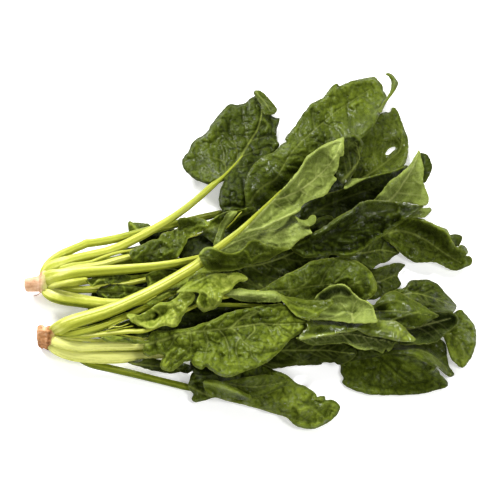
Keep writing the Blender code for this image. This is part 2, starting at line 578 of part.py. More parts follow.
def main():
    for obj in list(bpy.data.objects):
        bpy.data.objects.remove(obj, do_unlink=True)

    solids = []
    for name, tone, stalk, blade in LEAVES:
        xy, half, lift = leaf_rings(stalk, blade)
        bottom, top, triangles = settle(xy, half, lift, 5 * len(stalk))
        solids.append((name, closed_mesh(name, xy, bottom, top, triangles), tone, 0.42))
    for name, stations in ROOTS.items():
        tone = "upper_root" if name.startswith("upper") else "lower_root"
        solids.append((name, root_mesh(name, stations), tone, 0.6))

    # The origin is the middle of the whole bunch's footprint, on the table.
    every = np.concatenate([[tuple(v.co) for v in mesh.vertices] for _, mesh, _, _ in solids])
    low, high = every.min(0), every.max(0)
    shift = np.array([(low[0] + high[0]) / 2, (low[1] + high[1]) / 2, low[2]])
    bunch = bpy.data.objects.new("bunch", None)
    bpy.context.scene.collection.objects.link(bunch)
    for name, mesh, tone, roughness in solids:
        for vertex in mesh.vertices:
            vertex.co = (vertex.co.x - shift[0], vertex.co.y - shift[1], vertex.co.z - shift[2])
        place(name, mesh, COLOURS[tone], roughness, bunch)


main()
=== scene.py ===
"""The looks of the spinach bunch: two whole plants with their roots, stalks and leaves.

Each leaf is a thin closed sheet that is laid on the ones under it, as in part.py,
with its real outline, veins, blisters and folds.  Stalks are ribbed tubes that run
from the crowns into the blades.  Plan coordinates (u, v) are the squares of part.py's
drafting plane, and all lengths below are in millimetres.
"""

import json
import math

import bpy
import numpy as np
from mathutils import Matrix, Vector
from mathutils.geometry import delaunay_2d_cdt


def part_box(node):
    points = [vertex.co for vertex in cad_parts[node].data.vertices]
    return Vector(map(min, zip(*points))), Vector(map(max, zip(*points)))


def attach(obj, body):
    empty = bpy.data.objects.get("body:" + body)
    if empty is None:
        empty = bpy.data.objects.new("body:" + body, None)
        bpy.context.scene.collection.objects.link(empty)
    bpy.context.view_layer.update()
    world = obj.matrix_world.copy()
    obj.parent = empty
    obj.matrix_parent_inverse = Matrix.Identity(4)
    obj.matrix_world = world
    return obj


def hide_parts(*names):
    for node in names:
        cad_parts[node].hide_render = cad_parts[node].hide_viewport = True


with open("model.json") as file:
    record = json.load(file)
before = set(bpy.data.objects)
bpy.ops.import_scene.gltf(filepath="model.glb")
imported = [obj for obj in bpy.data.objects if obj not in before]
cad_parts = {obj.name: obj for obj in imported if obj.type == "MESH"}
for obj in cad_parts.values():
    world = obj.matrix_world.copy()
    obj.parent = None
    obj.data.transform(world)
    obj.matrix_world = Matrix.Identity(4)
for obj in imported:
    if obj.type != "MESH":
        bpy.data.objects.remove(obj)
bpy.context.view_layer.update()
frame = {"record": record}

# ---------------------------------------------------------------- plan and table
GRID = 0.73
TILT = math.radians(60.0)
SIN, COS = math.sin(TILT), math.cos(TILT)
LOFT = 2.9
SPRING = 4.6
GAP = 0.35

ROOT_STATIONS = [(24.6, 285.6, 8.2, 4.3, 1.2), (26.0, 285.2, 8.3, 4.9, 1.0), (32.0, 284.6, 8.6, 5.3, 0.3),
                 (38.0, 283.8, 8.8, 5.7, 0.0), (41.0, 283.0, 9.0, 6.8, 0.0), (43.2, 281.8, 9.2, 8.2, 0.0),
                 (45.0, 281.2, 9.2, 8.6, 0.0)]


def plan(u, v):
    return (u - 250.0) * GRID, (250.0 - v) * GRID


def shift_of_frame():
    """How far part.py's drawing was moved to put its origin under the bunch."""
    xs, ys = [], []
    for u, v, height, radius, lean in ROOT_STATIONS:
        x, w = plan(u, v)
        for s in range(14):
            a = 2 * math.pi * s / 14
            xs.append(x - lean * math.cos(a))
            ys.append((w - height * COS) / SIN + radius * math.sin(a))
    low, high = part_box("upper_root_and_crown")
    return ((min(xs) + max(xs)) / 2 - (low[0] + high[0]) * 500,
            (min(ys) + max(ys)) / 2 - (low[1] + high[1]) * 500)


SHIFT_X, SHIFT_Y = shift_of_frame()


def table_frame(points):
    """Plan points (x, w, height) in mm to the table's frame in metres."""
    out = np.array(points, float)
    out[:, 1] = (out[:, 1] - out[:, 2] * COS) / SIN - SHIFT_Y
    out[:, 0] -= SHIFT_X
    return out / 1000.0


# ---------------------------------------------------------------- noise
class Noise:
    """Smooth value noise and cell noise on the plane, the same on each run."""

    def __init__(self, seed):
        r = np.random.RandomState(seed)
        self.t = r.uniform(-1, 1, (256, 256))
        self.jx = r.uniform(0.1, 0.9, (256, 256))
        self.jy = r.uniform(0.1, 0.9, (256, 256))

    def at(self, x, y, size):
        x, y = np.asarray(x) / size + 113.0, np.asarray(y) / size + 71.0
        i, j = np.floor(x).astype(int), np.floor(y).astype(int)
        fx, fy = x - i, y - j
        fx, fy = fx * fx * (3 - 2 * fx), fy * fy * (3 - 2 * fy)
        a, b = self.t[i % 256, j % 256], self.t[(i + 1) % 256, j % 256]
        c, d = self.t[i % 256, (j + 1) % 256], self.t[(i + 1) % 256, (j + 1) % 256]
        return (a * (1 - fx) + b * fx) * (1 - fy) + (c * (1 - fx) + d * fx) * fy

    def fractal(self, x, y, size, octaves=3):
        total, amp, norm = 0.0, 1.0, 0.0
        for k in range(octaves):
            total = total + amp * self.at(np.asarray(x) + 37.1 * k, np.asarray(y) - 11.7 * k, size)
            norm += amp
            amp *= 0.5
            size *= 0.5
        return total / norm

    def cells(self, x, y, size):
        """Distances to the nearest and the second nearest of scattered points."""
        x, y = np.asarray(x) / size + 97.0, np.asarray(y) / size + 131.0
        i, j = np.floor(x).astype(int), np.floor(y).astype(int)
        f1 = np.full(x.shape, 9.0)
        f2 = np.full(x.shape, 9.0)
        for a in (-1, 0, 1):
            for b in (-1, 0, 1):
                p, q = (i + a) % 256, (j + b) % 256
                d = np.hypot(i + a + self.jx[p, q] - x, j + b + self.jy[p, q] - y)
                f2 = np.minimum(f2, np.maximum(f1, d))
                f1 = np.minimum(f1, d)
        return f1 * size, f2 * size


# ---------------------------------------------------------------- height map
CELL = 0.5
X0, W0 = -174.0, -144.0
NX, NW = 700, 580
top_map = np.zeros((NX, NW))


def bilinear(grid, x, w):
    a = np.clip((np.asarray(x) - X0) / CELL - 0.5, 0, NX - 1.001)
    b = np.clip((np.asarray(w) - W0) / CELL - 0.5, 0, NW - 1.001)
    i, j = a.astype(int), b.astype(int)
    fa, fb = a - i, b - j
    return ((grid[i, j] * (1 - fa) + grid[i + 1, j] * fa) * (1 - fb)
            + (grid[i, j + 1] * (1 - fa) + grid[i + 1, j + 1] * fa) * fb)


def box_mean(grid, r, axis):
    pad = [(0, 0), (0, 0)]
    pad[axis] = (r + 1, r)
    c = np.cumsum(np.pad(grid, pad, mode="edge"), axis=axis)
    n = 2 * r + 1
    return ((c[n:] - c[:-n]) if axis == 0 else (c[:, n:] - c[:, :-n])) / n


def blurred(grid, sigma):
    r = max(1, int(round((math.sqrt(4 * (sigma / CELL) ** 2 + 1) - 1) / 2)))
    for _ in range(3):
        grid = box_mean(box_mean(grid, r, 0), r, 1)
    return grid


def widened(grid, reach):
    """The highest value within reach mm of each cell."""
    for k in range(int(round(reach / CELL))):
        g = grid.copy()
        g[1:] = np.maximum(g[1:], grid[:-1])
        g[:-1] = np.maximum(g[:-1], grid[1:])
        g[:, 1:] = np.maximum(g[:, 1:], grid[:, :-1])
        g[:, :-1] = np.maximum(g[:, :-1], grid[:, 1:])
        if k % 2:
            g[1:, 1:] = np.maximum(g[1:, 1:], grid[:-1, :-1])
            g[:-1, :-1] = np.maximum(g[:-1, :-1], grid[1:, 1:])
            g[1:, :-1] = np.maximum(g[1:, :-1], grid[:-1, 1:])
            g[:-1, 1:] = np.maximum(g[:-1, 1:], grid[1:, :-1])
        grid = g
    return grid


class Window:
    """A part of the height map, with the smooth and the strict supports in it."""

    def __init__(self, xy, pad=26.0):
        lo, hi = xy.min(0) - pad, xy.max(0) + pad
        self.i0, self.j0 = max(0, int((lo[0] - X0) / CELL)), max(0, int((lo[1] - W0) / CELL))
        self.i1, self.j1 = min(NX, int((hi[0] - X0) / CELL)), min(NW, int((hi[1] - W0) / CELL))
        self.top = top_map[self.i0:self.i1, self.j0:self.j1]

    def grid(self, small):
        full = np.zeros((NX, NW))
        full[self.i0:self.i1, self.j0:self.j1] = small
        return full


def supports(xy, softness=6.5):
    """At these plan points: the soft support, and the height that nothing may go under."""
    win = Window(xy)
    soft = bilinear(win.grid(blurred(win.top, softness)), xy[:, 0], xy[:, 1])
    hard = bilinear(win.grid(widened(win.top, 1.0)), xy[:, 0], xy[:, 1])
    wide = bilinear(win.grid(blurred(widened(win.top, 3.0), 1.6)), xy[:, 0], xy[:, 1])
    return soft, hard, wide


def stamp(points, heights, triangles):
    """Adds the triangles' heights to the height map."""
    weights = [(1, 0, 0), (0, 1, 0), (0, 0, 1), (.5, .5, 0), (.5, 0, .5), (0, .5, .5), (1 / 3, 1 / 3, 1 / 3)]
    for w in weights:
        p = sum(points[triangles[:, k]] * w[k] for k in range(3))
        z = sum(heights[triangles[:, k]] * w[k] for k in range(3))
        i = np.clip(((p[:, 0] - X0) / CELL).astype(int), 0, NX - 1)
        j = np.clip(((p[:, 1] - W0) / CELL).astype(int), 0, NW - 1)
        np.maximum.at(top_map, (i, j), z)


# ---------------------------------------------------------------- curves
def spline(points, step, closed=False):
    """A smooth curve through the points, with a point every step mm."""
    p = np.array(points, float)
    if closed:
        p = np.concatenate([p[-1:], p, p[:2]])
    else:
        p = np.concatenate([2 * p[:1] - p[1:2], p, 2 * p[-1:] - p[-2:-1]])
    out = []
    for k in range(1, len(p) - 2):
        a, b, c, d = p[k - 1], p[k], p[k + 1], p[k + 2]
        ta = max(1e-6, np.linalg.norm((b - a)[:2])) ** 0.5
        tb = max(1e-6, np.linalg.norm((c - b)[:2])) ** 0.5
        tc = max(1e-6, np.linalg.norm((d - c)[:2])) ** 0.5
        m1 = (c - b) + tb * ((b - a) / ta - (c - a) / (ta + tb))
        m2 = (c - b) + tb * ((d - c) / tc - (d - b) / (tb + tc))
        n = 12
        t = (np.arange(n) / n)[:, None]
        h = (2 * t**3 - 3 * t**2 + 1) * b + (t**3 - 2 * t**2 + t) * m1 + (-2 * t**3 + 3 * t**2) * c + (t**3 - t**2) * m2
        out.append(h)
    if not closed:
        out.append(p[-2:-1])
    curve = np.concatenate(out)
    if closed:
        curve = np.concatenate([curve, curve[:1]])
    length = np.concatenate([[0], np.cumsum(np.linalg.norm(np.diff(curve[:, :2], axis=0), axis=1))])
    n = max(3, int(round(length[-1] / step)))
    s = np.linspace(0, length[-1], n + 1)
    even = np.stack([np.interp(s, length, curve[:, k]) for k in range(curve.shape[1])], 1)
    return even[:-1] if closed else even


def mm(points):
    """(u, v, more...) to plan mm (x, w, more...)."""
    p = np.array(points, float)
    p[:, 0], p[:, 1] = (p[:, 0] - 250.0) * GRID, (250.0 - p[:, 1]) * GRID
    return p


def near_curve(xy, curve):
    """Distance to the curve, how far along it (0 to 1) and the side (-1 or 1)."""
    best = np.full(len(xy), 1e9)
    along = np.zeros(len(xy))
    side = np.ones(len(xy))
    seg = np.linalg.norm(np.diff(curve[:, :2], axis=0), axis=1)
    start = np.concatenate([[0], np.cumsum(seg)])
    for k in range(len(curve) - 1):
        a, d = curve[k, :2], curve[k + 1, :2] - curve[k, :2]
        t = np.clip(((xy - a) @ d) / max(1e-9, d @ d), 0, 1)
        off = xy - a - t[:, None] * d
        dist = np.hypot(off[:, 0], off[:, 1])
        closer = dist < best
        best = np.where(closer, dist, best)
        along = np.where(closer, (start[k] + t * seg[k]) / start[-1], along)
        side = np.where(closer, np.sign(d[0] * off[:, 1] - d[1] * off[:, 0]), side)
    return best, along, side


def inside(xy, loop):
    x, y = xy[:, 0], xy[:, 1]
    hit = np.zeros(len(xy), bool)
    b = np.roll(loop, -1, 0)
    for (x1, y1), (x2, y2) in zip(loop, b):
        if y1 == y2:
            continue
        cross = (y1 > y) != (y2 > y)
        hit ^= cross & (x < (x2 - x1) * (y - y1) / (y2 - y1) + x1)
    return hit


# ---------------------------------------------------------------- building objects
MADE = []


def build(name, node, points, faces, mats, face_mats, attributes):
    mesh = bpy.data.meshes.new(name)
    mesh.vertices.add(len(points))
    mesh.vertices.foreach_set("co", np.asarray(points, np.float32).reshape(-1))
    faces = np.asarray(faces)
    mesh.loops.add(faces.size)
    mesh.loops.foreach_set("vertex_index", faces.reshape(-1).astype(np.int32))
    mesh.polygons.add(len(faces))
    width = faces.shape[1]
    mesh.polygons.foreach_set("loop_start", (np.arange(len(faces)) * width).astype(np.int32))
    for m in mats:
        mesh.materials.append(m)
    mesh.polygons.foreach_set("material_index", np.asarray(face_mats, np.int32))
    mesh.polygons.foreach_set("use_smooth", np.ones(len(faces), bool))
    for key, values in attributes.items():
        layer = mesh.attributes.new(key, "FLOAT", "POINT")
        layer.data.foreach_set("value", np.asarray(values, np.float32))
    mesh.update(calc_edges=True)
    mesh.validate()
    obj = bpy.data.objects.new(name, mesh)
    bpy.context.scene.collection.objects.link(obj)
    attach(obj, "root")
    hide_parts(node)
    MADE.append(obj)
    return obj


def mesh_of_outline(loop, step, seed, holes=()):
    """Triangles inside a loop, with even inner points.  Returns points, triangles."""
    lo, hi = loop.min(0), loop.max(0)
    xs = np.arange(lo[0], hi[0] + step, step)
    ys = np.arange(lo[1], hi[1] + step, step * 0.8660)
    gx, gy = np.meshgrid(xs, ys, indexing="ij")
    gx = gx + (np.arange(len(ys)) % 2)[None, :] * step / 2
    pts = np.stack([gx.reshape(-1), gy.reshape(-1)], 1)
    r = np.random.RandomState(seed)
    pts = pts + r.uniform(-0.12, 0.12, pts.shape) * step
    loops = [loop] + list(holes)
    keep = inside(pts, loop)
    for h in holes:
        keep &= ~inside(pts, h)
    pts = pts[keep]
    near = np.full(len(pts), 1e9)
    for lp in loops:
        ring = np.concatenate([lp, lp[:1]])
        near = np.minimum(near, near_curve(pts, ring)[0])
    pts = pts[near > 0.55 * step]
    edges, base = [], 0
    for lp in loops:
        n = len(lp)
        edges += [(base + k, base + (k + 1) % n) for k in range(n)]
        base += n
    every = np.concatenate(loops + [pts])
    got = delaunay_2d_cdt([Vector(p) for p in every.tolist()], edges, [], 1, 1e-6, False)
    xy = np.array([tuple(p) for p in got[0]])
    tri = np.array([tuple(f) for f in got[2]])
    centre = xy[tri].mean(1)
    keep = inside(centre, loop)
    for h in holes:
        keep &= ~inside(centre, h)
    tri = tri[keep]
    a, b, c = xy[tri[:, 0]], xy[tri[:, 1]], xy[tri[:, 2]]
    area = (b[:, 0] - a[:, 0]) * (c[:, 1] - a[:, 1]) - (b[:, 1] - a[:, 1]) * (c[:, 0] - a[:, 0])
    tri = tri[np.abs(area) > 1e-7]
    area = area[np.abs(area) > 1e-7]
    tri[area < 0] = tri[area < 0][:, ::-1]
    used = np.unique(tri)
    remap = np.full(len(xy), -1)
    remap[used] = np.arange(len(used))
    return xy[used], remap[tri]


def rim_edges(tri):
    """Directed edges that only one triangle has."""
    e = np.concatenate([tri[:, [0, 1]], tri[:, [1, 2]], tri[:, [2, 0]]])
    key = e[:, 0].astype(np.int64) * 10_000_000 + e[:, 1]
    back = e[:, 1].astype(np.int64) * 10_000_000 + e[:, 0]
    return e[~np.isin(key, back)]


def smooth_field(values, tri, rounds, keep=None):
    """Averages a value over the mesh's edges."""
    e = np.concatenate([tri[:, [0, 1]], tri[:, [1, 2]], tri[:, [2, 0]]])
    e = np.concatenate([e, e[:, ::-1]])
    n = len(values)
    count = np.bincount(e[:, 0], minlength=n).astype(float)
    for _ in range(rounds):
        mean = np.bincount(e[:, 0], weights=values[e[:, 1]], minlength=n) / np.maximum(count, 1)
        values = values + 0.6 * (mean - values)
        if keep is not None:
            values = np.maximum(values, keep)
    return values


def auto_veins(rib, loop, gap=8.0, angle=48.0, seed=0, start=0.06):
    """Side veins that leave the midrib on both sides, bend to the tip and fork."""
    r = np.random.RandomState(seed)
    seg = np.linalg.norm(np.diff(rib[:, :2], axis=0), axis=1)
    s = np.concatenate([[0], np.cumsum(seg)])
    length = s[-1]
    out = []
    for sign in (-1, 1):
        at = length * start + (gap * 0.5 if sign > 0 else 0) + r.uniform(0, 2)
        while at < length * 0.96:
            p = np.array([np.interp(at, s, rib[:, 0]), np.interp(at, s, rib[:, 1])])
            q = np.array([np.interp(min(length, at + 2), s, rib[:, 0]), np.interp(min(length, at + 2), s, rib[:, 1])])
            t = (q - p) / max(1e-6, np.linalg.norm(q - p))
            a = math.radians(angle - 14 * at / length + r.uniform(-7, 7)) * sign
            d = np.array([t[0] * math.cos(a) - t[1] * math.sin(a), t[0] * math.sin(a) + t[1] * math.cos(a)])
            trunk = grow_vein(p, d, -sign * 0.012, loop, r, 60.0)
            if len(trunk) > 2:
                out.append((trunk, 1.0))
                for f in (0.38, 0.66):
                    k = int(len(trunk) * f)
                    if 1 <= k < len(trunk) - 2:
                        d2 = trunk[k + 1] - trunk[k]
                        d2 /= np.linalg.norm(d2)
                        b = math.radians(r.uniform(30, 48)) * (sign if (f < 0.5) else -sign)
                        d2 = np.array([d2[0] * math.cos(b) - d2[1] * math.sin(b), d2[0] * math.sin(b) + d2[1] * math.cos(b)])
                        fork = grow_vein(trunk[k], d2, 0.0, loop, r, 22.0)
                        if len(fork) > 2:
                            out.append((fork, 0.55))
            at += gap * r.uniform(0.75, 1.3)
    return out


def grow_vein(p, d, turn, loop, r, most):
    pts = [p]
    ang = math.atan2(d[1], d[0])
    gone = 0.0
    while gone < most:
        ang += turn * 2.0 + r.uniform(-0.09, 0.09)
        p = p + 2.0 * np.array([math.cos(ang), math.sin(ang)])
        if not inside(p[None], loop)[0]:
            break
        pts.append(p)
        gone += 2.0
    return np.array(pts)


LEAF_STEP = 0.72


def sheet(name, node, slot, outline, lifts, rib=(), veins=(), auto=None, side="upper", tone=0.4,
          ridges=(), tints=(), blister=0.8, cell=5.5, ruffle=1.0, wave=0.8, thick=0.42, rib_width=1.0,
          lime=0.35, seed=1, step=None, holes=(), loft=LOFT, spring=SPRING, softness=6.5, on_top=0.0,
          jag=0.46, vein_pale=0.6, rib_pale=None, crumple=0.8, follow=False, gloss=0.0, wets=(), vein_dark=None,
          press=()):
    """One blade, or one folded-over part of it, laid on what is there already."""
    step = step or LEAF_STEP
    noise = Noise(seed)
    loop = spline(mm(outline), step, closed=True)
    arc = np.arange(len(loop)) * step
    nxt = np.roll(loop, -1, 0) - np.roll(loop, 1, 0)
    normal = np.stack([nxt[:, 1], -nxt[:, 0]], 1) / np.maximum(1e-6, np.linalg.norm(nxt, axis=1))[:, None]
    loop = loop + normal * (jag * noise.fractal(loop[:, 0], loop[:, 1], 3.4, 2)
                            + 0.35 * jag * noise.at(loop[:, 1], loop[:, 0], 1.3))[:, None]
    rings = [spline(mm(h), step * 0.8, closed=True) for h in holes]
    xy, tri = mesh_of_outline(loop, step, seed, rings)
    x, w = xy[:, 0], xy[:, 1]

    d_edge = np.full(len(xy), 1e9)
    for lp in [loop] + rings:
        d_edge = np.minimum(d_edge, near_curve(xy, np.concatenate([lp, lp[:1]]))[0])

    # distances to the veins, each with its own strength
    d_rib = np.full(len(xy), 1e9)
    along = np.zeros(len(xy))
    rib_curve = None
    if len(rib) > 1:
        rib_curve = spline(mm(rib), 2.0)
        d_rib, along, _ = near_curve(xy, rib_curve)
    lines = []
    for v in veins:
        strength = 1.0
        if isinstance(v[0], (int, float)):
            strength, v = v[0], v[1]
        lines.append((spline(mm(v), 2.0), strength))
    drawn = len(lines)
    if auto is not None and rib_curve is not None:
        lines += auto_veins(rib_curve, loop, seed=seed + 5, **auto)
    vein = np.zeros(len(xy))
    vein_relief = np.zeros(len(xy))
    d_vein = np.full(len(xy), 1e9)
    for k, (curve, strength) in enumerate(lines):
        d, t, _ = near_curve(xy, curve)
        fade = strength * (1 - 0.75 * t)
        line = fade * np.exp(-(d / (0.40 + 0.22 * fade)) ** 2)
        vein = np.maximum(vein, line * (1.0 if k < drawn else 0.5))
        vein_relief = np.maximum(vein_relief, line)
        d_vein = np.minimum(d_vein, d + 0.6 * t)
    rib_here = np.exp(-(d_rib / (rib_width * (1.05 - 0.8 * along))) ** 2) if rib_curve is not None else np.zeros(len(xy))
    vein = vein * vein_pale
    vein = np.maximum(vein, rib_here * (vein_pale if rib_pale is None else rib_pale))
    vein_relief = np.maximum(vein_relief, rib_here)
    d_all = np.minimum(d_vein, d_rib)

    # the general shape of the blade
    lp = mm([(a, b, c) for a, b, c in lifts])
    dist2 = (x[:, None] - lp[None, :, 0]) ** 2 + (w[:, None] - lp[None, :, 1]) ** 2
    weight = 1.0 / (dist2 + 9.0) ** 2
    lift = (weight * lp[None, :, 2]).sum(1) / weight.sum(1) * loft
    soft, hard, wide = supports(xy, softness)
    if follow:
        base = wide + lift
    else:
        base = soft + lift + spring * np.clip(soft / 6.0, 0, 1)
    base = np.maximum(base, 0.15 + 0 * base)
    base = np.maximum(base, wide + GAP + on_top)
    base = smooth_field(base, tri, 10)

    # relief: blisters between the veins, waves, and ruffles along the margin
    f1, f2 = noise.cells(x + 1.2 * noise.at(x, w, 6.0), w + 1.2 * noise.at(w, x, 6.0), cell)
    dome = np.clip((f2 - f1) / cell, 0, 1) ** 0.6
    between = 1 - np.exp(-(np.minimum(d_all, 8.0) / 1.7) ** 1.4)
    inner = np.clip(d_edge / 2.0, 0.25, 1)
    relief = blister * (0.55 * dome * (0.4 + 0.6 * between) + 0.55 * between) * inner
    relief = relief + wave * (1 + noise.fractal(x, w, 13.0, 2)) * 0.8
    relief = relief + 0.22 * blister * (1 + noise.at(x, w, 2.1))
    fold1 = 1 - np.minimum(1, np.abs(noise.at(x + 4 * noise.at(x, w, 11.0), w + 4 * noise.at(w, x, 13.0), 13.0)) * 2.0)
    fold2 = 1 - np.minimum(1, np.abs(noise.at(w + 40 + 2 * noise.at(x, w, 7.0), x + 2 * noise.at(w, x, 6.0), 6.2)) * 2.0)
    fold3 = 1 - np.minimum(1, np.abs(noise.at(x - 70, w + 30, 2.4)) * 2.2)
    if side == "upper":
        fold1, fold2, fold3 = (1 - f for f in (fold1 ** 1.3, fold2 ** 1.3, fold3))
    relief = relief + crumple * (1.0 * fold1 + 0.6 * fold2 + 0.16 * fold3) * np.clip(0.35 + d_edge / 3.0, 0, 1)
    relief = relief + ruffle * np.exp(-d_edge / 3.2) * (1 + noise.at(x, w, 6.5)) * 0.9
    if side == "under":
        relief = relief * 0.85 + 0.6 * vein_relief
    tone_at = np.full(len(xy), float(tone))
    # darker bands along the veins and the midrib: painted shade of the grooves they lie in
    tone_at = tone_at - (0.06 if vein_dark is None else vein_dark) * np.exp(-(d_all / 1.6) ** 2)
    for stroke in ridges:
        amp, width, pts = stroke[:3]
        d, t, s = near_curve(xy, spline(mm(pts), 1.5))
        if len(stroke) > 3 and stroke[3] == "step":
            g = 1 / (1 + np.exp(np.clip(-s * d / width, -30, 30)))
            near = np.exp(-(d / (width * 6)) ** 2)
            relief = relief + amp * g * near
        else:
            relief = relief + amp * np.exp(-(d / width) ** 2)
    relief = relief - min(0.0, relief.min())
    for width, pts in press:
        relief = relief * (1 - 0.95 * np.exp(-(near_curve(xy, spline(mm(pts), 1.5))[0] / width) ** 4))
    # tone strokes: some are the leaf's own paler or darker patches; many are painted shade in hollows and under folds,
    # and painted highlights along lit margins and crests
    for amp, width, pts in tints:
        if len(pts) == 1:
            c = mm(pts)[0]
            d = np.hypot(x - c[0], w - c[1])
        else:
            d, t, s = near_curve(xy, spline(mm(pts), 1.5))
        tone_at = tone_at + amp * np.exp(-(d / width) ** 2)
    wet = np.full(len(xy), float(gloss))
    for amp, width, pts in wets:
        d = near_curve(xy, spline(mm(pts), 1.5))[0] if len(pts) > 1 else np.hypot(*(xy - mm(pts)[0][:2]).T)
        wet = wet + amp * np.exp(-(d / width) ** 2)
    bottom = base + relief
    bottom = np.maximum(bottom, np.maximum(hard + GAP * 0.8, 0.12))
    bottom[hard <= 0] = np.maximum(bottom[hard <= 0], 0.12)
    body = thick + ((0.9 if side == "under" else 0.35) * rib_here * (1 - 0.7 * along) if rib_curve is not None else 0)
    top = bottom + body
    stamp(xy, top, tri)

    rim = rim_edges(tri)
    n = len(xy)
    after = np.full(n, -1)
    after[rim[:, 0]] = rim[:, 1]
    ring = np.unique(rim)
    index = np.full(n, -1)
    index[ring] = np.arange(len(ring))
    before = np.full(n, -1)
    before[rim[:, 1]] = rim[:, 0]
    a, b = xy[before[ring]], xy[after[ring]]
    t = b - a
    out = np.stack([t[:, 1], -t[:, 0]], 1) / np.maximum(1e-6, np.linalg.norm(t, axis=1))[:, None]
    mid_xy = xy[ring] + out * min(0.22, thick * 0.4)
    mid_z = (top[ring] + bottom[ring]) / 2
    points = np.concatenate([np.column_stack([xy, top]), np.column_stack([xy, bottom]),
                             np.column_stack([mid_xy, mid_z])])
    p, q = rim[:, 0], rim[:, 1]
    mp, mq = 2 * n + index[p], 2 * n + index[q]
    walls = np.concatenate([np.stack([p, mp, q], 1), np.stack([mp, mq, q], 1),
                            np.stack([mp, p + n, mq], 1), np.stack([p + n, q + n, mq], 1)])
    faces = np.concatenate([tri, tri[:, ::-1] + n, walls])
    mats = [LEAF_MATS[slot]["upper"], LEAF_MATS[slot]["under"]]
    if side == "under":
        mats = mats[::-1]
    kinds = np.concatenate([np.zeros(len(tri)), np.ones(len(tri)), np.zeros(2 * len(p)), np.ones(2 * len(p))])
    # pale lime margin: partly the leaf's own paler edge, partly painted rim light where the thin margin catches the
    # light; the margin walls get it in full
    edge = np.exp(-(d_edge / 0.60) ** 2) * lime * (0.75 + 0.5 * noise.at(x, w, 9.0))

    def three(values):
        return np.concatenate([values, values, values[ring]])
    rim_colour_and_light3 = three(edge)
    rim_colour_and_light3[2 * n:] = lime
    # the dome attribute is the relief's height above its smoothed self; the material uses it for painted shade in the
    # hollows and painted light on the crests
    return build(name, node, table_frame(points), faces, mats, kinds,
                 {"vein": three(np.clip(vein, 0, 1)), "edge": rim_colour_and_light3, "tone": three(tone_at), "wet": three(np.clip(wet, 0, 1)),
                  "dome": three(np.clip(0.5 + (relief - smooth_field(relief, tri, 9)) * 1.5, 0, 1))})


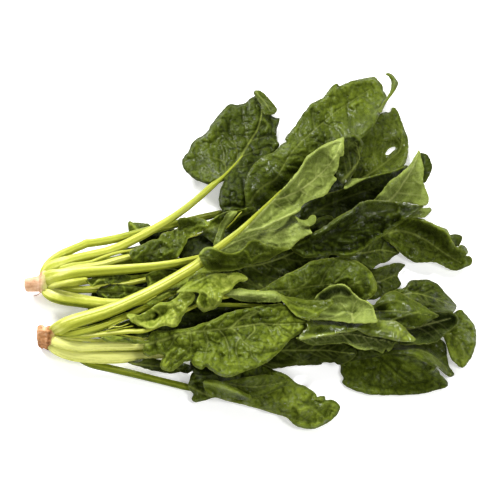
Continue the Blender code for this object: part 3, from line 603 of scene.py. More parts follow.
# ---------------------------------------------------------------- stalks
def stalk(name, node, slot, path, tone=0.5, ridges=7, depth=0.07, seed=1, lift=0.0, sides=28, tip=None,
          pale=(), step=1.0, smooth=10, foot=0.0, merge=10.0, under_shade=0.20, base_pale=0.16):
    """A ribbed stalk.  path: (u, v, width mm, thickness mm, lift mm).

    It leaves the crown foot mm above the table and lies on the heap merge mm later."""
    noise = Noise(seed)
    rows = spline(mm(path), step)
    n = len(rows)
    xy, width, thick, up = rows[:, :2], rows[:, 2], rows[:, 3], rows[:, 4]
    d = np.gradient(xy, axis=0)
    d /= np.linalg.norm(d, axis=1)[:, None]
    across = np.stack([-d[:, 1], d[:, 0]], 1)
    offs = np.linspace(-1, 1, 7)
    under = np.zeros(n)
    for o in offs:
        p = xy + across * (o * width / 2)[:, None]
        s, h, wd = supports(p, 3.0)
        under = np.maximum(under, h - thick / 2 * (1 - math.sqrt(max(0.0, 1 - 0.8 * o * o))))
    gone = np.arange(n) * step / max(merge, 1e-3)
    free = np.clip(gone, 0, 1) ** 2 * (3 - 2 * np.clip(gone, 0, 1))
    z = under + GAP + lift + up
    z = foot * (1 - free) + z * free
    k = np.ones(7) / 7
    for _ in range(smooth):
        pad = np.pad(z, 3, mode="edge")
        z = np.convolve(pad, k, "valid")
        z = np.where(gone >= 1, np.maximum(z, under + GAP * 0.6), z)
        z[0] = foot if foot else z[0]
    # a stalk is stiff: it spans the dips between what it rests on
    if n > 24:
        wide = np.ones(15) / 15
        for _ in range(70):
            pad = np.pad(z, 7, mode="reflect", reflect_type="odd")
            z = np.convolve(pad, wide, "valid")
            z = np.where(gone >= 1, np.maximum(z, under + GAP * 0.3), z)
        for _ in range(6):
            pad = np.pad(z, 3, mode="reflect", reflect_type="odd")
            z = np.convolve(pad, k, "valid")
    z = np.maximum(z, 0.1)
    centre = z + thick / 2
    ang = np.linspace(0, 2 * math.pi, sides, endpoint=False)
    s_along = np.arange(n) * step
    A, S = np.meshgrid(ang, s_along)
    twist = 0.35 * np.sin(S / 60.0 + seed)
    flute = np.cos(ridges * (A + twist) + seed) * depth
    flute = flute + depth * 0.35 * noise.at(S / 26.0, A * 3.0, 1.0)
    flute = flute + 0.012 * noise.at(S / 9.0, A * 4.0 + 40, 1.0)
    r = 1 + flute - depth * 0.5
    ends = np.minimum(1, np.sqrt(np.clip((s_along + 0.2) / 1.6, 0, 1)))[:, None]
    ends = ends * np.minimum(1, np.sqrt(np.clip((s_along[-1] - s_along + 0.2) / 1.6, 0, 1)))[:, None]
    r = r * ends
    # a true ellipse in space: level across the stalk, upright in thickness
    level = np.stack([-d[:, 1] / SIN, d[:, 0]], 1)
    level /= np.linalg.norm(level, axis=1)[:, None]
    seen = level[:, 0] * across[:, 0] + level[:, 1] * SIN * across[:, 1]
    tall = thick * COS * across[:, 1]
    wide_of = np.sqrt(np.maximum(width ** 2 - tall ** 2, (0.6 * width) ** 2)) / np.maximum(seen, 0.5)
    off = r * np.cos(A) * wide_of[:, None] / 2
    up_by = r * np.sin(A) * thick[:, None] / 2
    px = xy[:, None, 0] + level[:, None, 0] * off
    pw = xy[:, None, 1] + level[:, None, 1] * SIN * off + up_by * COS
    pz = centre[:, None] + up_by
    points = np.stack([px, pw, pz], -1).reshape(-1, 3)
    i, j = np.meshgrid(np.arange(n - 1), np.arange(sides), indexing="ij")
    j2 = (j + 1) % sides
    quads = np.stack([i * sides + j, i * sides + j2, (i + 1) * sides + j2, (i + 1) * sides + j], -1).reshape(-1, 4)
    tris = np.concatenate([quads[:, [0, 2, 1]], quads[:, [0, 3, 2]]])
    first, last = len(points), len(points) + 1
    points = np.concatenate([points, [[*xy[0], centre[0]]], [[*xy[-1], centre[-1]]]])
    jj = np.arange(sides)
    k2 = (jj + 1) % sides
    cap0 = np.stack([np.full(sides, first), k2, jj], 1)
    cap1 = np.stack([np.full(sides, last), (n - 1) * sides + jj, (n - 1) * sides + k2], 1)
    faces = np.concatenate([tris, cap0[:, ::-1], cap1[:, ::-1]])
    world = table_frame(points)
    v0, v1, v2 = (world[faces[:, q]] for q in range(3))
    if np.einsum("ij,ij->i", v0, np.cross(v1, v2)).sum() < 0:
        faces = faces[:, ::-1]
    stamp(points[:, :2], points[:, 2], faces)
    # painted shade: the stalk's lower side is darkened by under_shade, as though the light came from above
    painted_underside_shade = np.clip((-np.cos(A - 0.35) - 0.35) / 0.6, 0, 1)
    t = np.full((n, sides), tone) + 0.04 * noise.at(S / 40.0, A * 1.5, 1.0) - under_shade * painted_underside_shade
    t = t + (0.06 if tone >= 0.6 else 0.0) + base_pale * np.exp(-np.abs(S) / 16.0)
    # tone bands along a stretch of the stalk at one angle round it: the narrow pale ones on the upper side are painted
    # highlights, dark ones on the lower side painted shade, broad dark ones the stalk's own colour turning to leaf
    # green
    for amp, s0, s1, a0, aw in pale:
        total = s_along[-1]
        g = np.clip(np.minimum((S / total - s0) / 0.05, (s1 - S / total) / 0.05), 0, 1)
        da = np.abs((A - a0 + math.pi) % (2 * math.pi) - math.pi)
        t = t + amp * g * np.exp(-(da / aw) ** 2)
    ridge = np.clip(flute / max(depth, 1e-3) * 0.5 + 0.5, 0, 1)

    def full(values, at0, at1):
        return np.concatenate([values.reshape(-1), [at0, at1]])
    return build(name, node, world, faces, [STALK_MATS[slot]], np.zeros(len(faces)),
                 {"tone": full(t, t[0].mean(), t[-1].mean()), "ridge": full(ridge, .5, .5),
                  "along": full(S, 0, s_along[-1]), "around": full(A, 0, 0)})


# ---------------------------------------------------------------- materials
def tree_of(name):
    made = bpy.data.materials.new(name)
    made.use_nodes = True
    tree = made.node_tree
    tree.nodes.clear()
    out = tree.nodes.new("ShaderNodeOutputMaterial")
    shader = tree.nodes.new("ShaderNodeBsdfPrincipled")
    tree.links.new(shader.outputs[0], out.inputs[0])
    return made, tree, shader


class Nodes:
    def __init__(self, tree):
        self.tree = tree
        coord = tree.nodes.new("ShaderNodeTexCoord")
        self.place = coord.outputs["Object"]

    def link(self, a, b):
        self.tree.links.new(a, b)

    def attribute(self, name):
        n = self.tree.nodes.new("ShaderNodeAttribute")
        n.attribute_name = name
        return n.outputs["Fac"]

    def math(self, kind, a, b=None, clamp=False):
        n = self.tree.nodes.new("ShaderNodeMath")
        n.operation = kind
        n.use_clamp = clamp
        for k, value in enumerate((a, b)):
            if value is None:
                continue
            if isinstance(value, (int, float)):
                n.inputs[k].default_value = value
            else:
                self.link(value, n.inputs[k])
        return n.outputs[0]

    def noise(self, size_mm, detail=2.0, rough=0.5, vector=None):
        n = self.tree.nodes.new("ShaderNodeTexNoise")
        n.inputs["Scale"].default_value = 1000.0 / size_mm
        n.inputs["Detail"].default_value = detail
        n.inputs["Roughness"].default_value = rough
        self.link(vector or self.place, n.inputs["Vector"])
        return n.outputs["Fac"]

    def voronoi(self, size_mm, feature="DISTANCE_TO_EDGE", vector=None, output="Distance"):
        n = self.tree.nodes.new("ShaderNodeTexVoronoi")
        n.feature = feature
        n.inputs["Scale"].default_value = 1000.0 / size_mm
        self.link(vector or self.place, n.inputs["Vector"])
        return n.outputs[output]

    def ramp(self, value, stops):
        n = self.tree.nodes.new("ShaderNodeValToRGB")
        e = n.color_ramp.elements
        while len(e) > 1:
            e.remove(e[-1])
        e[0].position, e[0].color = stops[0][0], (*stops[0][1], 1)
        for at, colour in stops[1:]:
            s = e.new(at)
            s.color = (*colour, 1)
        self.link(value, n.inputs[0])
        return n.outputs[0]

    def span(self, value, a, b, c=0.0, d=1.0):
        n = self.tree.nodes.new("ShaderNodeMapRange")
        n.inputs[1].default_value, n.inputs[2].default_value = a, b
        n.inputs[3].default_value, n.inputs[4].default_value = c, d
        self.link(value, n.inputs[0])
        return n.outputs[0]

    def mix(self, factor, a, b):
        n = self.tree.nodes.new("ShaderNodeMix")
        n.data_type = "RGBA"
        if isinstance(factor, (int, float)):
            n.inputs[0].default_value = factor
        else:
            self.link(factor, n.inputs[0])
        for socket, value in ((n.inputs[6], a), (n.inputs[7], b)):
            if isinstance(value, tuple):
                socket.default_value = (*value, 1)
            else:
                self.link(value, socket)
        return n.outputs[2]

    def bump(self, height, distance_mm, strength=1.0, normal=None):
        n = self.tree.nodes.new("ShaderNodeBump")
        n.inputs["Distance"].default_value = distance_mm / 1000.0
        n.inputs["Strength"].default_value = strength
        self.link(height, n.inputs["Height"])
        if normal is not None:
            self.link(normal, n.inputs["Normal"])
        return n.outputs[0]

    def combine(self, x, y, z=None):
        n = self.tree.nodes.new("ShaderNodeCombineXYZ")
        self.link(x, n.inputs[0])
        self.link(y, n.inputs[1])
        if z is not None:
            self.link(z, n.inputs[2])
        return n.outputs[0]


UPPER = [(0.0, (0.008, 0.012, 0.001)), (0.2, (0.026, 0.037, 0.003)), (0.4, (0.054, 0.074, 0.005)),
         (0.6, (0.098, 0.130, 0.010)), (0.8, (0.170, 0.215, 0.020)), (1.0, (0.300, 0.350, 0.055))]
UNDER = [(0.0, (0.016, 0.024, 0.004)), (0.3, (0.062, 0.084, 0.012)), (0.6, (0.140, 0.180, 0.032)),
         (0.8, (0.225, 0.280, 0.060)), (1.0, (0.350, 0.410, 0.120))]


def leaf_material(name, side, offset):
    made, tree, shader = tree_of(name)
    n = Nodes(tree)
    under = side == "under"
    tone, vein, edge, dome = (n.attribute(k) for k in ("tone", "vein", "edge", "dome"))
    broad = n.noise(16.0, 3.0)
    fine = n.noise(2.4, 3.0, 0.6)
    spots = n.noise(0.9, 2.0)
    value = n.math("ADD", tone, n.span(broad, 0.25, 0.75, -0.08 + offset, 0.08 + offset))
    value = n.math("ADD", value, n.span(fine, 0.25, 0.75, -0.05, 0.05))
    value = n.math("ADD", value, n.span(spots, 0.3, 0.7, -0.03, 0.03))
    # painted shade in the hollows of the relief and painted light on its crests, from the dome attribute
    value = n.math("ADD", value, n.span(dome, 0.1, 0.9, -0.12, 0.07), clamp=True)
    colour = n.ramp(value, UNDER if under else UPPER)
    net = n.voronoi(3.1)
    line = n.span(net, 0.0, 0.09, 1.0, 0.0)
    net2 = n.voronoi(1.25)
    line2 = n.span(net2, 0.0, 0.10, 1.0, 0.0)
    web = n.math("ADD", n.math("MULTIPLY", line, 0.20 if under else 0.20),
                 n.math("MULTIPLY", line2, 0.07 if under else 0.04))
    vein_colour = (0.42, 0.46, 0.15) if under else (0.26, 0.31, 0.06)
    web = n.math("MULTIPLY", web, n.span(tone, 0.12, 0.36, 0.15, 1.0))
    colour = n.mix(web, colour, (0.34, 0.39, 0.11) if under else (0.16, 0.21, 0.03))
    colour = n.mix(n.math("MULTIPLY", vein, 0.80, clamp=True), colour, vein_colour)
    # pale lime margin: the leaf's own paler edge plus painted rim light
    colour = n.mix(n.math("MULTIPLY", edge, 0.6, clamp=True), colour, (0.30, 0.35, 0.05))
    n.link(colour, shader.inputs["Base Color"])
    wet = n.noise(7.0, 2.0)
    n.link(n.span(wet, 0.35, 0.65, 0.36, 0.50), shader.inputs["Roughness"])
    shader.inputs["Specular IOR Level"].default_value = 0.05
    drops = n.noise(2.6, 1.0)
    beads = n.voronoi(4.6, "F1")
    bead = n.math("MULTIPLY", beads, 1.0 / 0.17)
    bead = n.math("SUBTRACT", 1.0, n.math("MULTIPLY", bead, bead), clamp=True)
    bead = n.math("MULTIPLY", bead, n.span(n.noise(11.0, 2.0), 0.52, 0.58, 0.0, 1.0), clamp=True)
    coat = n.math("ADD", n.span(wet, 0.42, 0.58, 0.06 if under else 0.15, 0.0),
                  n.span(drops, 0.60, 0.70, 0.0, 0.30 if under else 0.60))
    coat = n.math("ADD", coat, n.span(bead, 0.0, 0.25, 0.0, 0.9))
    # no coat on the darkest tones, so the painted-shade filler sheets show no gloss
    coat = n.math("MULTIPLY", coat, n.span(tone, 0.05, 0.16, 0.0, 1.0))
    n.link(n.math("ADD", coat, n.attribute("wet"), clamp=True), shader.inputs["Coat Weight"])
    shader.inputs["Coat Roughness"].default_value = 0.17
    height = n.math("ADD", n.math("MULTIPLY", net, 0.9), n.math("MULTIPLY", fine, 0.7))
    height = n.math("ADD", height, n.math("MULTIPLY", net2, 0.35))
    if under:
        height = n.math("ADD", n.math("MULTIPLY", height, -0.7), n.math("MULTIPLY", line, 0.25))
    height = n.math("ADD", height, n.math("MULTIPLY", bead, 0.8))
    surface = n.bump(height, 0.60, 0.95)
    n.link(surface, shader.inputs["Normal"])
    n.link(surface, shader.inputs["Coat Normal"])
    return made


def stalk_material(name, offset):
    made, tree, shader = tree_of(name)
    n = Nodes(tree)
    tone, ridge, along, around = (n.attribute(k) for k in ("tone", "ridge", "along", "around"))
    grain_at = n.combine(n.math("MULTIPLY", along, 0.035), n.math("MULTIPLY", around, 1.0))
    streak = tree.nodes.new("ShaderNodeTexNoise")
    streak.inputs["Scale"].default_value = 5.0
    streak.inputs["Detail"].default_value = 4.0
    n.link(grain_at, streak.inputs["Vector"])
    fine_at = n.combine(n.math("MULTIPLY", along, 0.09), n.math("MULTIPLY", around, 3.0))
    fine = tree.nodes.new("ShaderNodeTexNoise")
    fine.inputs["Scale"].default_value = 5.0
    fine.inputs["Detail"].default_value = 3.0
    n.link(fine_at, fine.inputs["Vector"])
    mottle = n.noise(3.0, 3.0)
    value = n.math("ADD", tone, n.span(streak.outputs["Fac"], 0.3, 0.7, -0.07 + offset, 0.07 + offset))
    value = n.math("ADD", value, n.span(fine.outputs["Fac"], 0.3, 0.7, -0.05, 0.05))
    # darker in the flute grooves and paler on the ribs: painted shade in the grooves with the ribs' own paler colour
    value = n.math("ADD", value, n.span(ridge, 0.0, 1.0, -0.11, 0.06))
    value = n.math("ADD", value, n.span(mottle, 0.3, 0.7, -0.03, 0.03), clamp=True)
    colour = n.ramp(value, [(0.0, (0.045, 0.068, 0.005)), (0.25, (0.140, 0.175, 0.010)),
                            (0.5, (0.300, 0.335, 0.024)), (0.75, (0.430, 0.458, 0.055)),
                            (1.0, (0.740, 0.755, 0.222))])
    n.link(colour, shader.inputs["Base Color"])
    n.link(n.span(mottle, 0.3, 0.7, 0.42, 0.56), shader.inputs["Roughness"])
    shader.inputs["Specular IOR Level"].default_value = 0.10
    shader.inputs["Coat Weight"].default_value = 0.12
    shader.inputs["Coat Roughness"].default_value = 0.2
    shader.inputs["Subsurface Weight"].default_value = 0.15
    shader.inputs["Subsurface Radius"].default_value = (1.0, 1.0, 0.3)
    shader.inputs["Subsurface Scale"].default_value = 0.0015
    height = n.math("ADD", fine.outputs["Fac"], n.math("MULTIPLY", mottle, 0.5))
    n.link(n.bump(height, 0.25, 0.7), shader.inputs["Normal"])
    return made


def root_material(name, dirty):
    made, tree, shader = tree_of(name)
    n = Nodes(tree)
    tone, green = n.attribute("tone"), n.attribute("green")
    broad = n.noise(5.0, 4.0, 0.6)
    fine = n.noise(1.1, 3.0, 0.6)
    stretched = tree.nodes.new("ShaderNodeMapping")
    stretched.inputs["Scale"].default_value = (0.35, 1.0, 1.0)
    n.link(n.place, stretched.inputs["Vector"])
    grain = n.noise(1.6, 3.0, 0.6, vector=stretched.outputs[0])
    value = n.math("ADD", tone, n.span(broad, 0.3, 0.7, -0.22, 0.22))
    value = n.math("ADD", value, n.span(grain, 0.3, 0.7, -0.16, 0.16), clamp=True)
    if dirty:
        stops = [(0.0, (0.07, 0.025, 0.008)), (0.25, (0.19, 0.078, 0.024)), (0.5, (0.37, 0.165, 0.060)),
                 (0.75, (0.52, 0.27, 0.125)), (1.0, (0.70, 0.46, 0.30))]
    else:
        stops = [(0.0, (0.15, 0.055, 0.020)), (0.25, (0.36, 0.165, 0.070)), (0.5, (0.54, 0.300, 0.165)),
                 (0.75, (0.64, 0.400, 0.245)), (1.0, (0.74, 0.52, 0.37))]
    colour = n.ramp(value, stops)
    dirt = n.span(n.noise(1.7, 4.0, 0.7), 0.56 if dirty else 0.62, 0.70, 0.0, 0.75 if dirty else 0.35)
    colour = n.mix(dirt, colour, (0.085, 0.040, 0.022))
    greens = n.ramp(n.math("ADD", n.math("ADD", tone, 0.22), n.span(grain, 0.3, 0.7, -0.2, 0.2), clamp=True),
                    [(0.0, (0.17, 0.12, 0.02)), (0.5, (0.36, 0.34, 0.06)), (1.0, (0.56, 0.55, 0.20))])
    colour = n.mix(green, colour, greens)
    n.link(colour, shader.inputs["Base Color"])
    n.link(n.span(fine, 0.3, 0.7, 0.5, 0.72), shader.inputs["Roughness"])
    shader.inputs["Specular IOR Level"].default_value = 0.12
    shader.inputs["Subsurface Weight"].default_value = 0.12
    shader.inputs["Subsurface Radius"].default_value = (1.0, 0.6, 0.4)
    shader.inputs["Subsurface Scale"].default_value = 0.001
    height = n.math("ADD", n.math("MULTIPLY", grain, 0.8), n.math("MULTIPLY", fine, 0.5))
    n.link(n.bump(height, 0.35, 0.9), shader.inputs["Normal"])
    return made


LEAF_MATS = {
    "leaf_dark": {"upper": leaf_material("leaf_dark_upper", "upper", 0.0),
                  "under": leaf_material("leaf_dark_under", "under", -0.05)},
    "leaf_green": {"upper": leaf_material("leaf_green_upper", "upper", 0.02),
                   "under": leaf_material("leaf_green_under", "under", 0.0)},
    "leaf_pale": {"upper": leaf_material("leaf_pale_upper", "upper", 0.03),
                  "under": leaf_material("leaf_pale_under", "under", 0.02)},
}
STALK_MATS = {"leaf_dark": stalk_material("stalk_dark", -0.02), "leaf_green": stalk_material("stalk_green", 0.0),
              "leaf_pale": stalk_material("stalk_pale", 0.03)}
ROOT_MATS = {"root_pink": root_material("root_pink", False), "root_brown": root_material("root_brown", True)}


# ---------------------------------------------------------------- roots
def root(name, node, slot, stations, seed, lumps=0.35, cut_tone=0.6, base_tone=0.6, root_underside_shade=-0.3,
         green_from=41.0, green_to=46.0, spots=(), ring=(0.0, 42.0, 2.0), slant=0.0):
    """A cut root with the crown it widens into.  stations: u, v, height, radius, lean."""
    noise = Noise(seed)
    rows = spline(mm([s for s in stations]), 0.45)
    n, sides = len(rows), 64
    ang = np.linspace(0, 2 * math.pi, sides, endpoint=False)
    A, S = np.meshgrid(ang, np.arange(n))
    x, w, height, radius, lean = (rows[:, k][:, None] for k in range(5))
    bumps = (0.09 * noise.fractal(S * 0.45, A * 3.2, 3.2, 3) + 0.035 * np.cos(7 * A + 0.02 * S)
             + 0.03 * noise.at(S * 0.45, A * 8.0, 1.6)) * lumps / 0.35
    bumps = 0.5 * (bumps + np.roll(bumps, sides // 2, 1)) * 0 + bumps
    r = radius * (1 + bumps - 0.03)
    y = (w - height * COS) / SIN
    px = x - lean * np.cos(A) + 0.25 * noise.at(A * 4.0, S * 0.0, 1.3)
    py = y + r * np.sin(A)
    pz = np.maximum(height + r * np.cos(A), 0.02)
    points = np.stack([px, py, pz], -1).reshape(-1, 3)
    u_of = (rows[:, 0] / GRID + 250.0)[:, None] + 0 * A
    i, j = np.meshgrid(np.arange(n - 1), np.arange(sides), indexing="ij")
    j2 = (j + 1) % sides
    quads = np.stack([i * sides + j, i * sides + j2, (i + 1) * sides + j2, (i + 1) * sides + j], -1).reshape(-1, 4)
    faces = [np.concatenate([quads[:, [0, 1, 2]], quads[:, [0, 2, 3]]])]
    # painted shade and light: the root is darker on its underside and a little lighter on top
    tone = base_tone + root_underside_shade * np.clip(-np.cos(A) - 0.1, 0, 1) + 0.1 * np.clip(np.cos(A), 0, 1)
    u_of = u_of - slant * np.sin(A)
    green = np.clip((u_of + 1.5 * noise.at(A * 3.0, S * 0.1, 1.0) - green_from) / (green_to - green_from), 0, 1)
    tone = tone + ring[0] * np.exp(-((u_of + 0.7 * noise.at(A * 4.0, S * 0.2, 1.0) - ring[1]) / ring[2]) ** 2)
    for amp, at_u, at_a, size in spots:
        tone = tone + amp * np.exp(-(((u_of - at_u) * GRID / size) ** 2 + ((A - at_a) * 6 / size) ** 2))
    tone, green = tone.reshape(-1), green.reshape(-1)
    base = len(points)
    # the cut face and the inner end are drawn in by rings, with a slight hollow
    for end, first in ((0, 0), (1, (n - 1) * sides)):
        k0 = 0 if end == 0 else n - 1
        centre = points[first:first + sides].mean(0)
        previous = np.arange(first, first + sides)
        for q, share in enumerate((0.86, 0.6, 0.3)):
            ring = centre + (points[first:first + sides] - centre) * share
            ring[:, 0] += (0.28 if end == 0 else -0.3) * (1 - share) + 0.16 * noise.at(ring[:, 1], ring[:, 2], 1.2)
            start = base
            points = np.concatenate([points, ring])
            base += sides
            now = np.arange(start, start + sides)
            f = np.concatenate([np.stack([previous, now, np.roll(now, -1)], 1),
                                np.stack([previous, np.roll(now, -1), np.roll(previous, -1)], 1)])
            faces.append(f if end == 0 else f[:, ::-1])
            t = cut_tone + 0.12 * noise.at(ring[:, 1] * 1.0, ring[:, 2] * 1.0, 1.5) - 0.18 * (share > 0.8)
            tone = np.concatenate([tone, t])
            green = np.concatenate([green, np.full(sides, green[first])])
            previous = now
        points = np.concatenate([points, [centre + np.array([0.3 if end == 0 else -0.3, 0, 0])]])
        f = np.stack([previous, np.full(sides, base), np.roll(previous, -1)], 1)
        faces.append(f if end == 0 else f[:, ::-1])
        tone = np.concatenate([tone, [cut_tone]])
        green = np.concatenate([green, [green[first]]])
        base += 1
    faces = np.concatenate(faces)
    points[:, 2] = np.maximum(points[:, 2], 0.02)
    world = points.copy()
    world[:, 0] -= SHIFT_X
    world[:, 1] -= SHIFT_Y
    world /= 1000.0
    v0, v1, v2 = (world[faces[:, q]] for q in range(3))
    if np.einsum("ij,ij->i", v0, np.cross(v1, v2)).sum() < 0:
        faces = faces[:, ::-1]
    return build(name, node, world, faces, [ROOT_MATS[slot]], np.zeros(len(faces)),
                 {"tone": tone, "green": green})


def rootlet(name, node, slot, path, tone=0.35):
    """A hair root: path of u, v, height, diameter."""
    rows = spline(mm(path), 0.35)
    n, sides = len(rows), 8
    ang = np.linspace(0, 2 * math.pi, sides, endpoint=False)
    pts = []
    for x, w, h, d in rows:
        y = (w - h * COS) / SIN
        for a in ang:
            pts.append((x + d / 2 * math.cos(a) * 0.6, y + d / 2 * math.sin(a), max(0.02, h + d / 2 * math.cos(a) * 0.8)))
    faces = []
    for i in range(n - 1):
        for j in range(sides):
            k = (j + 1) % sides
            a, b, c, e = i * sides + j, i * sides + k, (i + 1) * sides + k, (i + 1) * sides + j
            faces += [(a, b, c), (a, c, e)]
    pts += [tuple(np.mean(pts[:sides], 0)), tuple(np.mean(pts[-sides:], 0))]
    for j in range(sides):
        k = (j + 1) % sides
        faces += [(len(pts) - 2, k, j), (len(pts) - 1, (n - 1) * sides + j, (n - 1) * sides + k)]
    world = np.array(pts)
    world[:, 0] -= SHIFT_X
    world[:, 1] -= SHIFT_Y
    world /= 1000.0
    faces = np.array(faces)
    v0, v1, v2 = (world[faces[:, q]] for q in range(3))
    if np.einsum("ij,ij->i", v0, np.cross(v1, v2)).sum() < 0:
        faces = faces[:, ::-1]
    m = len(world)
    return build(name, node, world, faces, [ROOT_MATS[slot]], np.zeros(len(faces)),
                 {"tone": np.full(m, tone), "green": np.zeros(m)})


# ---------------------------------------------------------------- the leaves as part.py has them
def hidden(*points):
    """A thin stalk inside the heap, through these (u, v) points."""
    return [(u, v, 3.4, 2.1, 0.4) for u, v in points]


